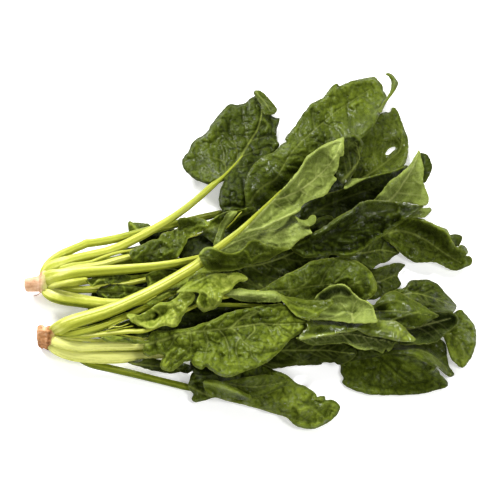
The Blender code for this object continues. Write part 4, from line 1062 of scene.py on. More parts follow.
LEAVES = [
    ("lower_leaf_front_right", 0.30,
     hidden((56.6, 344), (85, 350), (130, 350), (200, 350), (290, 352)),
     [(338, 348, 340, 352, 340, 357, 2, 0, 0),
      (360, 347, 362, 354, 341, 368, 5, 0, 0),
      (378, 348, 378, 360, 343, 381, 6, 1, 0),
      (400, 350, 391, 369, 353, 389, 8, 1, 0),
      (418, 353, 403, 378, 378, 394, 9, 0, 0),
      (434, 366, 416, 382, 403, 394, 8, 0, 0),
      (439, 372, 431, 384, 423, 393, 5, 0, 0),
      (447, 384, 446, 386, 442, 388, 1, 0, 0)]),
    ("lower_leaf_front_folded", 0.42,
     [(56.6, 346, 3.5, 2.6, 0.4), (74, 355, 4.5, 3.5, 0.4), (90, 364, 5.2, 4.6, 0.4),
      (120, 370, 5.4, 5.0, 0.4), (150, 377, 5.4, 4.8, 0.4), (175, 383, 5.2, 4.4, 0.4)],
     [(190, 380, 191, 387, 191, 392, 3, 1, 0),
      (205, 372, 208, 387, 197, 400, 6, 2, 0),
      (225, 373, 228, 390, 215, 398, 8, 3, 0),
      (250, 370, 252, 392, 238, 402, 9, 3, 0),
      (271, 367, 272, 399, 256, 407, 5, 4, 0),
      (289, 376, 290, 404, 275, 414, 3, 4, 0),
      (305, 385, 306, 410, 291, 422, 2, 4, 1),
      (318, 395, 319, 413, 307, 428, 2, 3, 1),
      (338, 402, 336, 408, 332, 417, 1, 1, 0)]),
    ("lower_leaf_pointed_tip", 0.30,
     hidden((56.6, 341), (90, 346), (150, 342), (230, 340), (300, 345)),
     [(338, 340, 339, 348, 340, 356, 1, 1, 1),
      (361, 335, 363, 347, 364, 358, 3, 2, 1),
      (387, 329, 388, 345, 389, 356, 4, 2, 1),
      (410, 325, 411, 345, 409, 360, 5, 2, 1),
      (428, 328, 428, 350, 423, 366, 5, 2, 1),
      (441, 340, 438, 356, 433, 366, 3, 1, 0),
      (447, 357, 445, 366, 441, 371, 1, 1, 0),
      (453, 373, 452, 375, 449, 376, 0, 0, 0)]),
    ("lower_leaf_far_right", 0.46,
     hidden((56.6, 336), (90, 334), (150, 320), (230, 318), (330, 325), (400, 331)),
     [(432, 327, 432, 331, 432, 336, 1, 1, 1),
      (446, 316, 445, 330, 442, 342, 4, 2, 2),
      (460, 309, 456, 330, 446, 350, 3, 4, 1),
      (469, 317, 463, 338, 450, 358, 1, 4, 1),
      (475, 333, 468, 350, 457, 365, 0, 2, 0),
      (472, 354, 468, 360, 463, 367, 0, 0, 0)]),
    ("lower_leaf_rolled_edge", 0.30,
     hidden((56.6, 333), (90, 324), (150, 312), (230, 310), (330, 318)),
     [(396, 322, 397, 327, 398, 332, 1, 1, 1),
      (410, 316, 411, 328, 412, 341, 3, 1, 1),
      (425, 313, 427, 328, 425, 345, 5, 1, 1),
      (438, 312, 438, 325, 438, 339, 6, 1, 1),
      (451, 312, 450, 321, 448, 331, 6, 1, 1),
      (457, 316, 457, 318, 456, 321, 4, 2, 1)]),
    ("lower_leaf_shaded_under", 0.22,
     [(56.6, 344.5, 5.5, 4.0, 0.4), (66, 352, 6.6, 5.5, 0.6), (80, 356.5, 7.2, 6.4, 0.6),
      (100, 357.5, 7.2, 6.6, 0.6), (120, 357, 7.2, 6.4, 0.6), (143, 355, 6.6, 5.8, 0.6),
      (190, 352, 5.0, 4.0, 0.6)],
     [(234, 345, 235, 350, 236, 356, 1, 1, 1),
      (255, 336, 256, 350, 257, 362, 3, 2, 1),
      (280, 331, 281, 350, 274, 367, 4, 2, 1),
      (305, 331, 305, 350, 300, 365, 4, 2, 1),
      (325, 334, 326, 350, 322, 363, 3, 2, 1),
      (340, 341, 341, 352, 338, 363, 2, 1, 1),
      (353, 349, 354, 353, 351, 358, 1, 1, 1)]),
    ("upper_leaf_back_right", 0.42,
     hidden((46.8, 273), (90, 262), (140, 255), (200, 240), (280, 205)),
     [(344, 174, 348, 178, 352, 184, 1, 1, 1),
      (352, 150, 362, 170, 369, 182, 3, 1, 3),
      (362, 128, 378, 160, 386, 176, 4, 1, 4),
      (379, 113, 390, 149, 402, 168, 3, 1, 4),
      (392, 108, 399, 138, 409, 154, 1, 1, 2),
      (396, 107, 401, 119, 407, 137, 0, 0, 0)]),
    ("upper_leaf_shaded_middle", 0.22,
     hidden((46.8, 276), (90, 268), (140, 262), (200, 250), (260, 238)),
     [(299, 208, 302, 222, 305, 234, 1, 1, 1),
      (322, 189, 326, 206, 331, 223, 3, 1, 2),
      (345, 186, 348, 197, 351, 212, 4, 1, 2),
      (365, 177, 368, 190, 371, 206, 4, 1, 2),
      (385, 171, 387, 184, 390, 203, 4, 1, 2),
      (405, 165, 408, 172, 408, 182, 1, 1, 1)]),
    ("upper_leaf_dark_tip", 0.22,
     hidden((46.8, 283), (90, 282), (160, 275), (230, 275), (300, 280)),
     [(352, 277, 352, 284, 352, 292, 1, 1, 1),
      (366, 270, 367, 285, 368, 299, 3, 2, 1),
      (380, 267, 381, 281, 382, 296, 4, 2, 1),
      (393, 264, 393, 276, 394, 290, 3, 1, 0),
      (405, 265, 400, 275, 400, 285, 0, 0, 0)]),
    ("lower_leaf_right_upper", 0.22,
     hidden((56.6, 331), (90, 322), (150, 300), (230, 295), (310, 298)),
     [(380, 297, 382, 302, 384, 308, 1, 1, 1),
      (395, 290, 397, 302, 398, 312, 3, 2, 1),
      (411, 281, 413, 299, 412, 315, 3, 4, 1),
      (428, 280, 429, 300, 428, 316, 2, 5, 1),
      (441, 288, 440, 302, 440, 314, 1, 3, 1),
      (456, 305, 455, 308, 453, 311, 0, 1, 0)]),
    ("lower_leaf_right_glossy", 0.42,
     hidden((56.6, 334), (90, 328), (150, 308), (230, 305), (300, 308)),
     [(361, 307, 362, 312, 363, 318, 1, 1, 1),
      (376, 301, 377, 312, 378, 322, 3, 2, 1),
      (391, 291, 393, 310, 393, 324, 3, 4, 1),
      (407, 297, 408, 312, 408, 327, 2, 4, 1),
      (420, 304, 421, 315, 420, 325, 1, 3, 1),
      (436, 314, 436, 316, 434, 318, 1, 1, 1)]),
    ("upper_leaf_under_glossy", 0.22,
     hidden((46.8, 281), (90, 276), (160, 268), (230, 262), (300, 255)),
     [(345, 245, 347, 252, 350, 262, 1, 1, 1),
      (362, 240, 364, 253, 368, 267, 2, 2, 1),
      (380, 237, 381, 250, 381, 265, 2, 1, 0),
      (397, 250, 397, 253, 392, 258, 1, 0, 0)]),
    ("upper_leaf_right_tip", 0.42,
     hidden((46.8, 280), (90, 274), (160, 262), (230, 256), (300, 246)),
     [(376, 229, 379, 233, 381, 238, 1, 1, 1),
      (394, 217, 397, 231, 391, 244, 5, 1, 1),
      (409, 216, 410, 233, 400, 252, 7, 1, 1),
      (425, 220, 422, 238, 412, 260, 8, 1, 1),
      (440, 228, 433, 245, 427, 261, 7, 0, 2),
      (450, 236, 444, 252, 439, 264, 5, 0, 2),
      (463, 246, 455, 260, 449, 269, 2, 0, 1),
      (472, 260, 468, 264, 461, 270, 0, 0, 0)]),
    ("upper_leaf_pale_back", 0.7,
     hidden((46.8, 275), (90, 267), (160, 256), (230, 250), (300, 248), (345, 232)),
     [(372, 203, 384, 206, 396, 210, 1, 1, 1),
      (380, 194, 398, 198, 425, 206, 3, 1, 2),
      (392, 180, 408, 187, 429, 199, 4, 1, 3),
      (404, 170, 414, 175, 423, 184, 3, 1, 2),
      (413, 159, 418, 163, 423, 171, 2, 1, 1),
      (418, 150, 420, 151, 422, 156, 0, 0, 0)]),
    ("upper_leaf_dark_core", 0.22,
     [(46.8, 284.5, 3.8, 2.6, 0.4), (75, 288, 4.2, 3.4, 0.5), (100, 287, 4.2, 3.8, 0.5),
      (130, 283, 4.2, 3.8, 0.5), (160, 278, 4.2, 3.4, 0.5)],
     [(198, 264, 199, 271, 200, 279, 1, 1, 1),
      (225, 249, 226, 268, 228, 291, 3, 1, 2),
      (255, 238, 258, 262, 260, 295, 4, 1, 3),
      (285, 230, 288, 252, 290, 290, 4, 1, 3),
      (310, 222, 312, 240, 315, 270, 3, 1, 2),
      (330, 216, 334, 228, 336, 245, 1, 1, 1)]),
    ("upper_leaf_bent_stalk", 0.22,
     [(46.8, 267.5, 5.0, 4.0, 3.0), (54, 260.5, 6.2, 5.4, 5.0), (64, 254, 6.4, 6.0, 5.0),
      (74, 248.5, 6.2, 5.8, 4.0), (86, 244.5, 6.2, 5.6, 2.0), (105, 241, 6.2, 5.6, 1.0),
      (125, 236.5, 6.2, 5.4, 0.6), (155, 229, 6.0, 5.0, 0.6), (190, 221, 5.6, 4.6, 0.6)],
     [(221, 207, 224, 212, 229, 216, 1, 1, 1),
      (219, 198, 236, 200, 255, 208, 2, 2, 1),
      (221, 186, 240, 186, 262, 195, 2, 3, 1),
      (224, 172, 244, 171, 263, 180, 1, 2, 1),
      (232, 159, 246, 157, 258, 163, 0, 1, 0)]),
    ("upper_leaf_far_left", 0.46,
     [(46.8, 273.5, 5.5, 4.0, 3.0), (55, 267, 6.4, 5.0, 4.0), (66, 262, 6.6, 5.6, 3.0),
      (80, 258, 6.4, 5.6, 1.0), (96, 254.5, 6.2, 5.4, 0.5), (112, 250, 6.0, 5.2, 0.5),
      (128, 242.5, 5.8, 5.2, 0.5), (150, 231, 5.4, 5.0, 1.0), (175, 215.5, 5.0, 4.6, 3.0),
      (200, 196, 4.8, 4.2, 5.0)],
     [(210, 183, 219, 180, 224, 181, 4, 5, 4),
      (196, 180, 228, 171, 240, 175, 3, 4, 2),
      (184, 168, 234, 165, 252, 170, 2, 3, 2),
      (184, 156, 240, 157, 264, 159, 2, 3, 2),
      (193, 141, 246, 147, 276, 150, 2, 3, 2),
      (207, 131, 251, 138, 279, 142, 3, 2, 2),
      (219, 113, 255, 129, 277, 130, 3, 2, 2),
      (232, 103, 259, 117, 279, 118, 2, 2, 2),
      (250, 98, 262, 106, 276, 109, 1, 1, 1),
      (256, 90, 260, 92, 267, 97, 0, 0, 0)]),
    ("upper_leaf_back_large", 0.46,
     hidden((46.8, 275), (100, 262), (150, 250), (200, 235)),
     [(244, 197, 249, 205, 256, 210, 1, 1, 1),
      (246, 180, 262, 187, 276, 195, 2, 5, 2),
      (260, 158, 278, 170, 296, 180, 2, 6, 2),
      (284, 140, 293, 152, 318, 160, 2, 6, 3),
      (300, 120, 312, 132, 338, 147, 3, 5, 4),
      (310, 104, 330, 118, 358, 138, 4, 3, 4),
      (330, 88, 347, 105, 375, 124, 4, 2, 4),
      (352, 80, 364, 93, 384, 103, 3, 1, 2),
      (375, 76, 380, 83, 387, 93, 0, 0, 0)]),
    ("upper_leaf_small_round", 0.22,
     hidden((46.8, 277), (100, 265), (150, 255), (220, 240), (290, 205)),
     [(338, 177, 342, 180, 347, 182, 1, 1, 1),
      (335, 161, 346, 166, 359, 172, 2, 1, 2),
      (337, 147, 350, 152, 363, 158, 3, 1, 2),
      (343, 137, 352, 135, 361, 141, 1, 2, 1)]),
    ("upper_leaf_folded_inner", 0.75,
     [(46.8, 276, 3.0, 2.2, 2.0), (60, 270, 3.0, 2.4, 2.0), (80, 264, 3.0, 2.6, 1.0),
      (105, 257.5, 3.0, 2.6, 0.5), (130, 251, 3.2, 2.6, 0.5), (170, 243, 3.4, 2.6, 0.5)],
     [(204, 223, 205, 230, 204, 237, 1, 1, 1),
      (217, 215, 220, 228, 215, 241, 3, 1, 1),
      (232, 209, 233, 224, 225, 242, 5, 1, 1),
      (246, 207, 246, 220, 238, 236, 4, 1, 1),
      (256, 206, 256, 214, 250, 225, 1, 1, 1)]),
    ("upper_leaf_savoy_inner", 0.42,
     [(46.8, 278, 3.4, 2.6, 2.5), (60, 272.5, 4.0, 3.2, 2.5), (76, 268, 4.6, 4.0, 1.0),
      (96, 265.5, 4.8, 4.2, 0.5), (112, 261, 4.6, 4.0, 0.5)],
     [(130, 250, 131, 256, 132, 262, 1, 1, 1),
      (142, 243, 147, 253, 150, 265, 3, 3, 2),
      (156, 238, 161, 248, 166, 264, 4, 4, 2),
      (171, 230, 174, 243, 177, 258, 4, 4, 2),
      (181, 219, 187, 231, 188, 241, 4, 2, 1),
      (199, 218, 204, 224, 201, 233, 1, 1, 1)]),
    ("upper_leaf_heart_lower", 0.22,
     [(46.8, 288, 2.8, 2.0, 0.5), (72, 291, 2.8, 2.0, 0.5)],
     [(98, 287, 99, 291, 100, 296, 1, 1, 1),
      (115, 285, 116, 292, 117, 299, 2, 2, 1),
      (132, 286, 133, 293, 134, 299, 2, 1, 1),
      (149, 289, 150, 292, 150, 296, 0, 0, 0)]),
    ("upper_leaf_heart_middle", 0.75,
     [(46.8, 281.5, 2.6, 2.0, 0.5), (68, 281, 2.6, 2.0, 0.5)],
     [(88, 276, 88, 280, 88, 284, 1, 1, 1),
      (105, 274, 106, 278, 107, 283, 2, 1, 2),
      (120, 273, 121, 277, 122, 281, 1, 1, 1),
      (131, 275, 132, 277, 132, 279, 0, 0, 0)]),
    ("upper_leaf_round_tip", 0.42,
     [(46.8, 289.5, 6.5, 4.5, 2.0), (58, 294.5, 8.0, 6.0, 3.0), (72, 298.5, 9.0, 7.2, 2.0),
      (88, 302, 9.0, 7.2, 1.0), (104, 304, 8.2, 6.6, 0.6), (125, 303, 6.6, 5.0, 0.6),
      (160, 299, 5.0, 3.6, 0.6), (215, 295, 4.4, 3.2, 0.6)],
     [(268, 287, 270, 291, 272, 296, 1, 1, 1),
      (290, 272, 292, 286, 296, 300, 3, 3, 1),
      (310, 262, 312, 281, 316, 304, 3, 4, 1),
      (335, 256, 336, 280, 338, 306, 3, 5, 1),
      (357, 261, 356, 282, 356, 304, 2, 5, 1),
      (370, 270, 368, 285, 367, 300, 1, 3, 1),
      (376, 283, 376, 288, 374, 295, 0, 1, 0)]),
    ("upper_leaf_long_glossy", 0.22,
     [(46.8, 279.5, 6.6, 4.6, 3.5), (58, 275.5, 7.4, 6.0, 5.0), (74, 273, 7.4, 6.8, 4.0),
      (96, 271, 7.2, 6.8, 2.5), (120, 269.5, 6.8, 6.4, 2.0), (145, 267.5, 6.2, 6.0, 2.0),
      (172, 264, 5.6, 5.4, 2.0), (200, 258, 5.0, 4.6, 1.0), (250, 252, 4.6, 3.8, 0.6)],
     [(296, 240, 298, 246, 302, 254, 1, 1, 1),
      (315, 229, 319, 240, 325, 254, 5, 3, 1),
      (335, 217, 340, 233, 346, 256, 8, 6, 1),
      (355, 205, 361, 225, 366, 248, 9, 7, 1),
      (375, 201, 382, 216, 386, 233, 9, 6, 1),
      (397, 202, 402, 211, 402, 222, 6, 4, 1),
      (422, 205, 423, 207, 420, 210, 1, 1, 1)]),
    ("lower_leaf_savoy_large", 0.46,
     [(56.6, 338.5, 5.0, 4.0, 2.0), (66, 342.5, 6.4, 5.4, 2.5), (78, 346.5, 6.8, 6.0, 2.0),
      (98, 346.5, 6.8, 6.0, 1.0), (120, 345.5, 6.6, 5.6, 0.8)],
     [(144, 341, 147, 347, 146, 354, 1, 1, 1),
      (158, 330, 165, 341, 162, 365, 4, 3, 2),
      (177, 328, 185, 335, 184, 363, 5, 5, 2),
      (197, 325, 205, 331, 203, 368, 6, 6, 2),
      (216, 318, 226, 329, 222, 374, 6, 6, 2),
      (238, 310, 247, 326, 246, 370, 5, 5, 3),
      (260, 306, 267, 324, 266, 362, 4, 4, 3),
      (282, 304, 285, 322, 284, 346, 3, 3, 2),
      (298, 314, 299, 322, 298, 333, 2, 2, 1),
      (308, 320, 308, 323, 306, 326, 0, 0, 0)]),
    ("lower_leaf_arched", 0.7,
     [(56.6, 335.5, 3.4, 2.8, 2.0), (68, 336, 3.8, 3.2, 2.0), (86, 336, 3.8, 3.4, 1.0),
      (110, 333, 3.8, 3.4, 0.6), (140, 330, 3.8, 3.2, 0.6), (178, 313, 3.8, 3.0, 0.6),
      (210, 299, 4.0, 3.2, 0.6)],
     [(228, 292, 229, 296, 230, 299, 4, 5, 4),
      (250, 290, 251, 296, 251, 301, 4, 6, 4),
      (273, 291, 276, 296, 280, 301, 4, 5, 3),
      (299, 298, 299, 306, 297, 312, 3, 3, 2),
      (320, 293, 320, 311, 312, 330, 6, 4, 2),
      (338, 284, 339, 313, 332, 336, 8, 6, 2),
      (353, 293, 355, 319, 347, 341, 8, 7, 2),
      (368, 302, 370, 324, 362, 349, 6, 6, 2),
      (379, 320, 385, 329, 382, 350, 5, 5, 1),
      (397, 321, 399, 331, 396, 341, 3, 4, 2),
      (413, 338, 413, 340, 410, 341, 1, 1, 1)]),
    ("lower_leaf_curly_inner", 0.75,
     [(56.6, 334, 3.6, 3.0, 4.0), (72, 333, 4.4, 3.8, 3.5), (90, 330, 4.8, 4.2, 2.5),
      (108, 324, 4.8, 4.2, 1.5)],
     [(129, 312, 130, 315, 131, 320, 1, 1, 1),
      (147, 305, 148, 310, 150, 328, 4, 3, 2),
      (165, 294, 166, 301, 172, 326, 5, 4, 3),
      (180, 286, 184, 294, 188, 307, 5, 4, 3),
      (200, 276, 203, 289, 201, 309, 4, 4, 5),
      (215, 274, 218, 286, 217, 306, 4, 4, 6),
      (232, 273, 233, 281, 231, 289, 3, 3, 4),
      (245, 276, 246, 278, 244, 281, 2, 2, 2)]),
    ("lower_leaf_crossing_pale", 0.7,
     [(56.8, 331, 7.4, 5.0, 4.0), (64, 326, 9.0, 6.6, 6.0), (76, 321, 9.4, 7.6, 4.0),
      (92, 315.5, 9.2, 7.8, 1.5), (108, 310.5, 8.8, 7.6, 1.0), (126, 303.5, 8.2, 7.2, 1.0),
      (145, 294.5, 7.8, 6.8, 1.0), (165, 284.5, 7.2, 6.4, 1.0), (185, 272.5, 7.0, 6.0, 1.0)],
     [(203, 252, 206, 258, 206, 266, 4, 3, 2),
      (224, 245, 229, 245, 226, 270, 4, 6, 2),
      (246, 225, 250, 231, 252, 264, 4, 5, 2),
      (262, 211, 266, 219, 276, 254, 5, 4, 3),
      (277, 198, 283, 206, 300, 240, 6, 4, 4),
      (290, 185, 297, 196, 310, 222, 7, 5, 5),
      (305, 168, 313, 182, 323, 196, 7, 5, 5),
      (319, 152, 326, 165, 334, 182, 5, 4, 4),
      (334, 141, 338, 142, 342, 149, 2, 2, 2)]),
]


ROWS = {name: (tone, stem, blade) for name, tone, stem, blade in LEAVES}
SLOT = {entry["node"]: entry["material_slot"] for entry in frame["record"]["subparts"]}


def lifts_of(node, scale=1.0):
    out = []
    for lu, lv, cu, cv, ru, rv, zl, zc, zr in ROWS[node][2]:
        out += [(lu, lv, zl * scale), (cu, cv, zc * scale), (ru, rv, zr * scale)]
    return out


def outline_of(node):
    blade = ROWS[node][2]
    return [(r[0], r[1]) for r in blade] + [(r[4], r[5]) for r in blade[::-1]]


def rib_of(node):
    return [(r[2], r[3]) for r in ROWS[node][2]]


def blade(node, outline=None, part="blade", **more):
    """The blade of a leaf, or another part of it."""
    if "lifts" not in more:
        more["lifts"] = lifts_of(node)
    if part == "blade" and "rib" not in more:
        more["rib"] = rib_of(node)
    if "tone" not in more:
        more["tone"] = ROWS[node][0]
    more["lime"] = more.get("lime", 0.35) * 0.6
    more["crumple"] = more.get("crumple", 0.8) * 1.35
    more["blister"] = more.get("blister", 0.8) * 1.15
    return sheet(node + "." + part, node, SLOT[node], outline or outline_of(node), **more)


def stem(node, path=None, part="stalk", **more):
    """The stalk of a leaf.  Hidden ones are plain and thin."""
    return stalk(node + "." + part, node, SLOT[node], path or ROWS[node][1], **more)


def hidden_stem(node, seed):
    return stem(node, seed=seed, sides=10, step=2.0, ridges=5, tone=0.35, foot=5.0, merge=30.0)


AUTO = {"gap": 8.0, "angle": 48.0}


# ---------------------------------------------------------------- the crowns
root("upper_root_and_crown.root", "upper_root_and_crown", "root_pink",
     [(26.0, 285.4, 8.2, 4.4, 1.2), (27.0, 285.1, 8.3, 5.0, 1.0), (29.5, 284.8, 8.4, 5.25, 0.6),
      (33.0, 284.4, 8.6, 5.45, 0.2), (37.0, 283.9, 8.8, 5.75, 0.0), (39.0, 283.4, 8.9, 6.3, 0.0),
      (40.6, 283.0, 9.0, 7.3, 0.0), (42.6, 282.4, 9.2, 8.4, 0.0), (45.0, 282.0, 9.2, 8.9, 0.0),
      (48.0, 281.6, 8.8, 8.0, 0.0), (52.0, 281.4, 8.2, 5.5, 0.0)],
     seed=11, lumps=0.16, base_tone=0.66, root_underside_shade=-0.5, cut_tone=0.72, green_from=40.6, green_to=46.5, ring=(-0.30, 40.9, 1.3), slant=0.8, spots=[(-0.5, 43.5, -0.9, 1.2), (-0.4, 46.0, -1.1, 1.0)])
root("lower_root_and_crown.root", "lower_root_and_crown", "root_brown",
     [(38.4, 336.2, 8.6, 7.2, 0.7), (39.4, 336.4, 8.6, 8.2, 0.5), (41.0, 336.9, 8.6, 8.45, 0.3),
      (44.0, 337.2, 8.6, 8.3, 0.0), (47.0, 337.5, 8.6, 8.5, 0.0), (50.0, 337.6, 8.6, 8.7, 0.0),
      (53.0, 337.4, 8.4, 8.2, 0.0), (56.0, 337.4, 8.0, 6.8, 0.0), (59.0, 337.6, 7.4, 5.0, 0.0),
      (62.0, 338.0, 7.0, 3.4, 0.0)],
     seed=12, lumps=0.75, base_tone=0.56, root_underside_shade=-0.45, cut_tone=0.4, green_from=52.0, green_to=57.0, ring=(-0.42, 51.0, 1.8), slant=2.6,
     spots=[(0.45, 43.0, 0.55, 2.2), (-0.5, 45.0, -1.25, 2.0), (-0.35, 48.0, -0.5, 2.5)])
rootlet("upper_root_and_crown.rootlet", "upper_root_and_crown", "root_pink",
        [(42.5, 290.2, 5.5, 1.3), (41.0, 292.0, 4.0, 0.9), (39.5, 293.6, 2.8, 0.8), (37.0, 295.2, 1.6, 0.7), (34.0, 295.9, 0.8, 0.5)])
rootlet("lower_root_and_crown.rootlet", "lower_root_and_crown", "root_brown",
        [(52.0, 345.5, 4.5, 1.2), (51.3, 348.0, 3.0, 0.9), (50.6, 350.0, 1.6, 0.7), (50.0, 351.6, 0.8, 0.5)])

# ---------------------------------------------------------------- bottom of the heap, lower plant
N = "lower_leaf_front_right"
hidden_stem(N, 31)
blade(N, [(336, 350), (345, 347), (360, 347), (378, 348), (400, 349), (418, 352), (430, 360), (434, 366.5),
          (438, 370.5), (439, 374.5), (442, 376.5), (447.3, 384.5), (445, 387), (437, 389.5), (422, 392.8),
          (401, 394.3), (381, 394.5), (366, 393), (350, 388), (342, 381.5), (343, 378), (340.5, 372), (340, 364), (338, 357)],
      rib=[(350, 348), (365, 352), (378, 357), (391, 367), (403.5, 377.5), (412, 382), (427, 380.5), (440, 386)],
      auto=AUTO, seed=101, tone=0.38, vein_pale=0.12, vein_dark=0.13, rib_pale=0.0, crumple=1.1, blister=0.9, rib_width=0.8,
      ridges=[(1.6, 2.2, [(383, 361), (392, 369), (404, 380)]), (-1.6, 1.1, [(377, 355.5), (391, 366), (403, 377), (413, 382), (426, 380.5)]),
              (1.6, 1.5, [(395, 357), (405, 361)]), (1.8, 2.0, [(402, 366), (412, 372), (420, 378)]), (1.4, 1.2, [(431, 381.5), (443, 387)])],
      tints=[(0.10, 3.0, [(388, 366), (402, 379)]), (0.10, 4.0, [(404, 362), (420, 374)]), (0.2, 1.0, [(347, 373)]), (0.25, 1.0, [(365, 373.5)]),
             (0.08, 8.0, [(360, 388), (400, 391)])])

N = "lower_leaf_front_folded"
stem(N, [(52, 345, 3.5, 2.6, 0.2), (74, 355, 4.5, 3.6, 0.3), (90, 363.2, 5.4, 4.6, 0.3), (110, 368.0, 5.7, 4.9, 0.3), (130, 372.5, 5.6, 4.9, 0.3),
         (150, 377.5, 5.3, 4.6, 0.3), (170, 382.3, 5.3, 4.4, 0.3), (186, 386.2, 5.4, 4.0, 0.3), (196, 388.5, 4.0, 2.8, 0.2)],
     tone=0.30, seed=41, foot=1.5, merge=16, ridges=6, depth=0.09)
blade(N, [(188, 385), (190, 380), (192, 373), (196, 370), (205, 367), (225, 367), (250, 365), (267, 364), (273, 369.3), (282, 372),
          (289, 376.5), (297, 383), (304, 385), (310, 389), (315, 393), (316.8, 396.5), (320.5, 395.2), (324.3, 396), (325.5, 399.3),
          (330, 399), (336.5, 402), (339.6, 407), (337.5, 412), (332, 418.5), (323, 423.8), (313, 427.6), (302, 427), (294, 423.3),
          (287, 417), (272, 412), (251, 406), (231, 401), (214, 396.8), (209, 398.2), (203, 400), (195, 401.4), (192, 398.5), (193.5, 393), (190, 389)],
      rib=[(190, 386), (204, 393), (214, 396.5), (231, 400.4), (251, 405.2), (272, 411.2), (287, 416.5), (300, 420), (320, 421)],
      auto={"gap": 9.0, "angle": 55.0}, seed=102, tone=0.48, blister=1.4, crumple=1.6, rib_width=0.8, jag=0.3, wets=[(0.5, 1.6, [(236, 384), (256, 386)]), (0.5, 1.6, [(280, 398), (288, 405)]), (0.4, 1.4, [(302, 412), (312, 410)]), (0.4, 2.0, [(226, 399), (240, 402)])],
      ridges=[(2.6, 1.6, [(300, 409), (311, 406), (317, 412), (324, 417.5), (331, 418)]), (-2.2, 1.0, [(293, 407), (297, 412.5)]),
              (2.0, 2.2, [(288, 419), (300, 423), (316, 424)]), (1.8, 3.5, [(296, 391), (306, 398)]), (-1.6, 2.2, [(305, 402), (318, 408), (326, 414)]),
              (1.5, 2.0, [(320, 400), (334, 405)])],
      tints=[(0.16, 7.0, [(282, 396), (296, 404)]), (0.10, 4.0, [(296, 388), (306, 395)]), (0.22, 3.0, [(300, 412), (309, 410), (318, 418)]),
             (0.15, 4.0, [(300, 424), (316, 425)]), (-0.26, 9.0, [(200, 376), (235, 374), (262, 372)]), (-0.2, 3.0, [(308, 402), (320, 410)]),
             (0.10, 3.5, [(326, 405), (336, 408)]), (-0.2, 5.0, [(196, 389), (204, 394)])])
blade(N, [(222, 381.5), (232, 379), (250, 375.5), (270, 374), (283, 377.5), (287.5, 381), (282, 386.5), (272, 391), (262, 395.2),
          (252, 396.8), (243, 392), (232, 386)], part="inner_fold", seed=103, tone=0.30, blister=0.8, rib=[(224, 382), (250, 386), (270, 384), (286, 381)],
      auto={"gap": 7.0, "angle": 50.0}, rib_width=0.5,
      lifts=[(222, 382, 2), (240, 380, 2.4), (265, 375, 2.2), (286, 381, 1.6), (262, 394, 2.6), (250, 388, 2.6), (272, 384, 3.0)], follow=True, loft=1.0,
      ridges=[(1.5, 1.5, [(250, 393), (262, 391), (275, 386), (284, 381)]), (-1.2, 1.5, [(232, 383), (250, 388)])],
      tints=[(0.14, 2.5, [(262, 389), (275, 384)])])
blade(N, [(203.5, 381.8), (206, 379.8), (213, 379.4), (221, 380.4), (230, 384), (243, 391), (251.5, 396.5), (249, 399), (236, 398.2),
          (222, 397.3), (214, 396.2), (208.5, 392.5), (204.5, 387)], part="outer_fold", seed=104, tone=0.50, blister=0.35, wave=0.4,
      lifts=[(204, 382, 1.5), (213, 380, 3.0), (230, 385, 3.6), (251, 396, 2.6), (214, 395, 0.5), (236, 397, 0.6), (225, 391, 2.0)], follow=True, loft=1.0,
      ridges=[(1.8, 1.4, [(205, 381.5), (214, 384), (228, 388), (249, 396.5)]), (-1.0, 1.0, [(206, 386), (214, 391), (216, 396)])],
      tints=[(0.14, 1.8, [(207, 382), (222, 385), (240, 392)]), (-0.18, 2.2, [(215, 393), (232, 395.5), (246, 397.5)])])

N = "lower_leaf_pointed_tip"
hidden_stem(N, 33)
blade(N, [(336, 341), (345, 339), (365, 338), (390, 336), (410, 334), (428, 334), (439, 338.8), (444, 342.6), (446.3, 352), (447, 360),
          (448.8, 367), (453.4, 373.2), (450.6, 376.4), (445.8, 375), (440, 369.8), (436.5, 366.8), (431, 366), (424, 361), (412, 356),
          (400, 353.5), (388, 353.5), (376, 356.5), (360, 359), (345, 361), (338, 356)],
      rib=[(340, 350), (375, 347), (405, 347), (428, 353), (440, 362), (450, 374)], auto=AUTO, seed=105, tone=0.27, blister=0.8, rib_width=0.6,
      tints=[(-0.12, 12.0, [(350, 350), (370, 350)]), (0.08, 6.0, [(410, 352), (438, 356)]), (0.12, 2.0, [(432, 359), (439, 363)])],
      ridges=[(1.5, 2.0, [(430, 356), (440, 366), (449, 374)])])

N = "lower_leaf_far_right"
hidden_stem(N, 34)
blade(N, [(430, 328), (440, 319), (447, 315), (453, 313), (460, 309.3), (467, 316), (473, 324), (475.6, 333), (475, 344), (471.5, 354.5),
          (466, 363), (462.2, 367), (457.6, 365.3), (452, 360), (449.3, 356), (447.3, 350), (445.6, 344), (443, 336.5), (436, 334)],
      rib=[(436, 331), (446, 333), (456, 338), (463, 350), (463, 364)],
      veins=[(0.9, [(446, 333), (456, 327), (469, 326)]), (0.8, [(450, 335), (461, 336), (472, 341)]), (0.7, [(446, 333), (453, 322), (459, 313)]),
             (0.6, [(458, 342), (452, 350), (450, 355)]), (0.6, [(461, 346), (470, 350)])],
      auto={"gap": 7.0, "angle": 50.0}, seed=106, tone=0.47, blister=1.6, crumple=1.2, wets=[(0.5, 1.6, [(456, 322), (466, 324)]), (0.5, 1.4, [(452, 333), (460, 338)]), (0.5, 1.4, [(462, 344), (466, 352)])], cell=4.5,
      ridges=[(1.6, 1.6, [(462, 318), (471, 325), (474, 335)]), (1.2, 1.2, [(452, 332), (458, 336)]), (1.4, 1.2, [(463, 340), (468, 342)])],
      tints=[(0.18, 5.0, [(456, 354), (463, 362)]), (0.10, 2.0, [(470, 345), (472, 352)])])

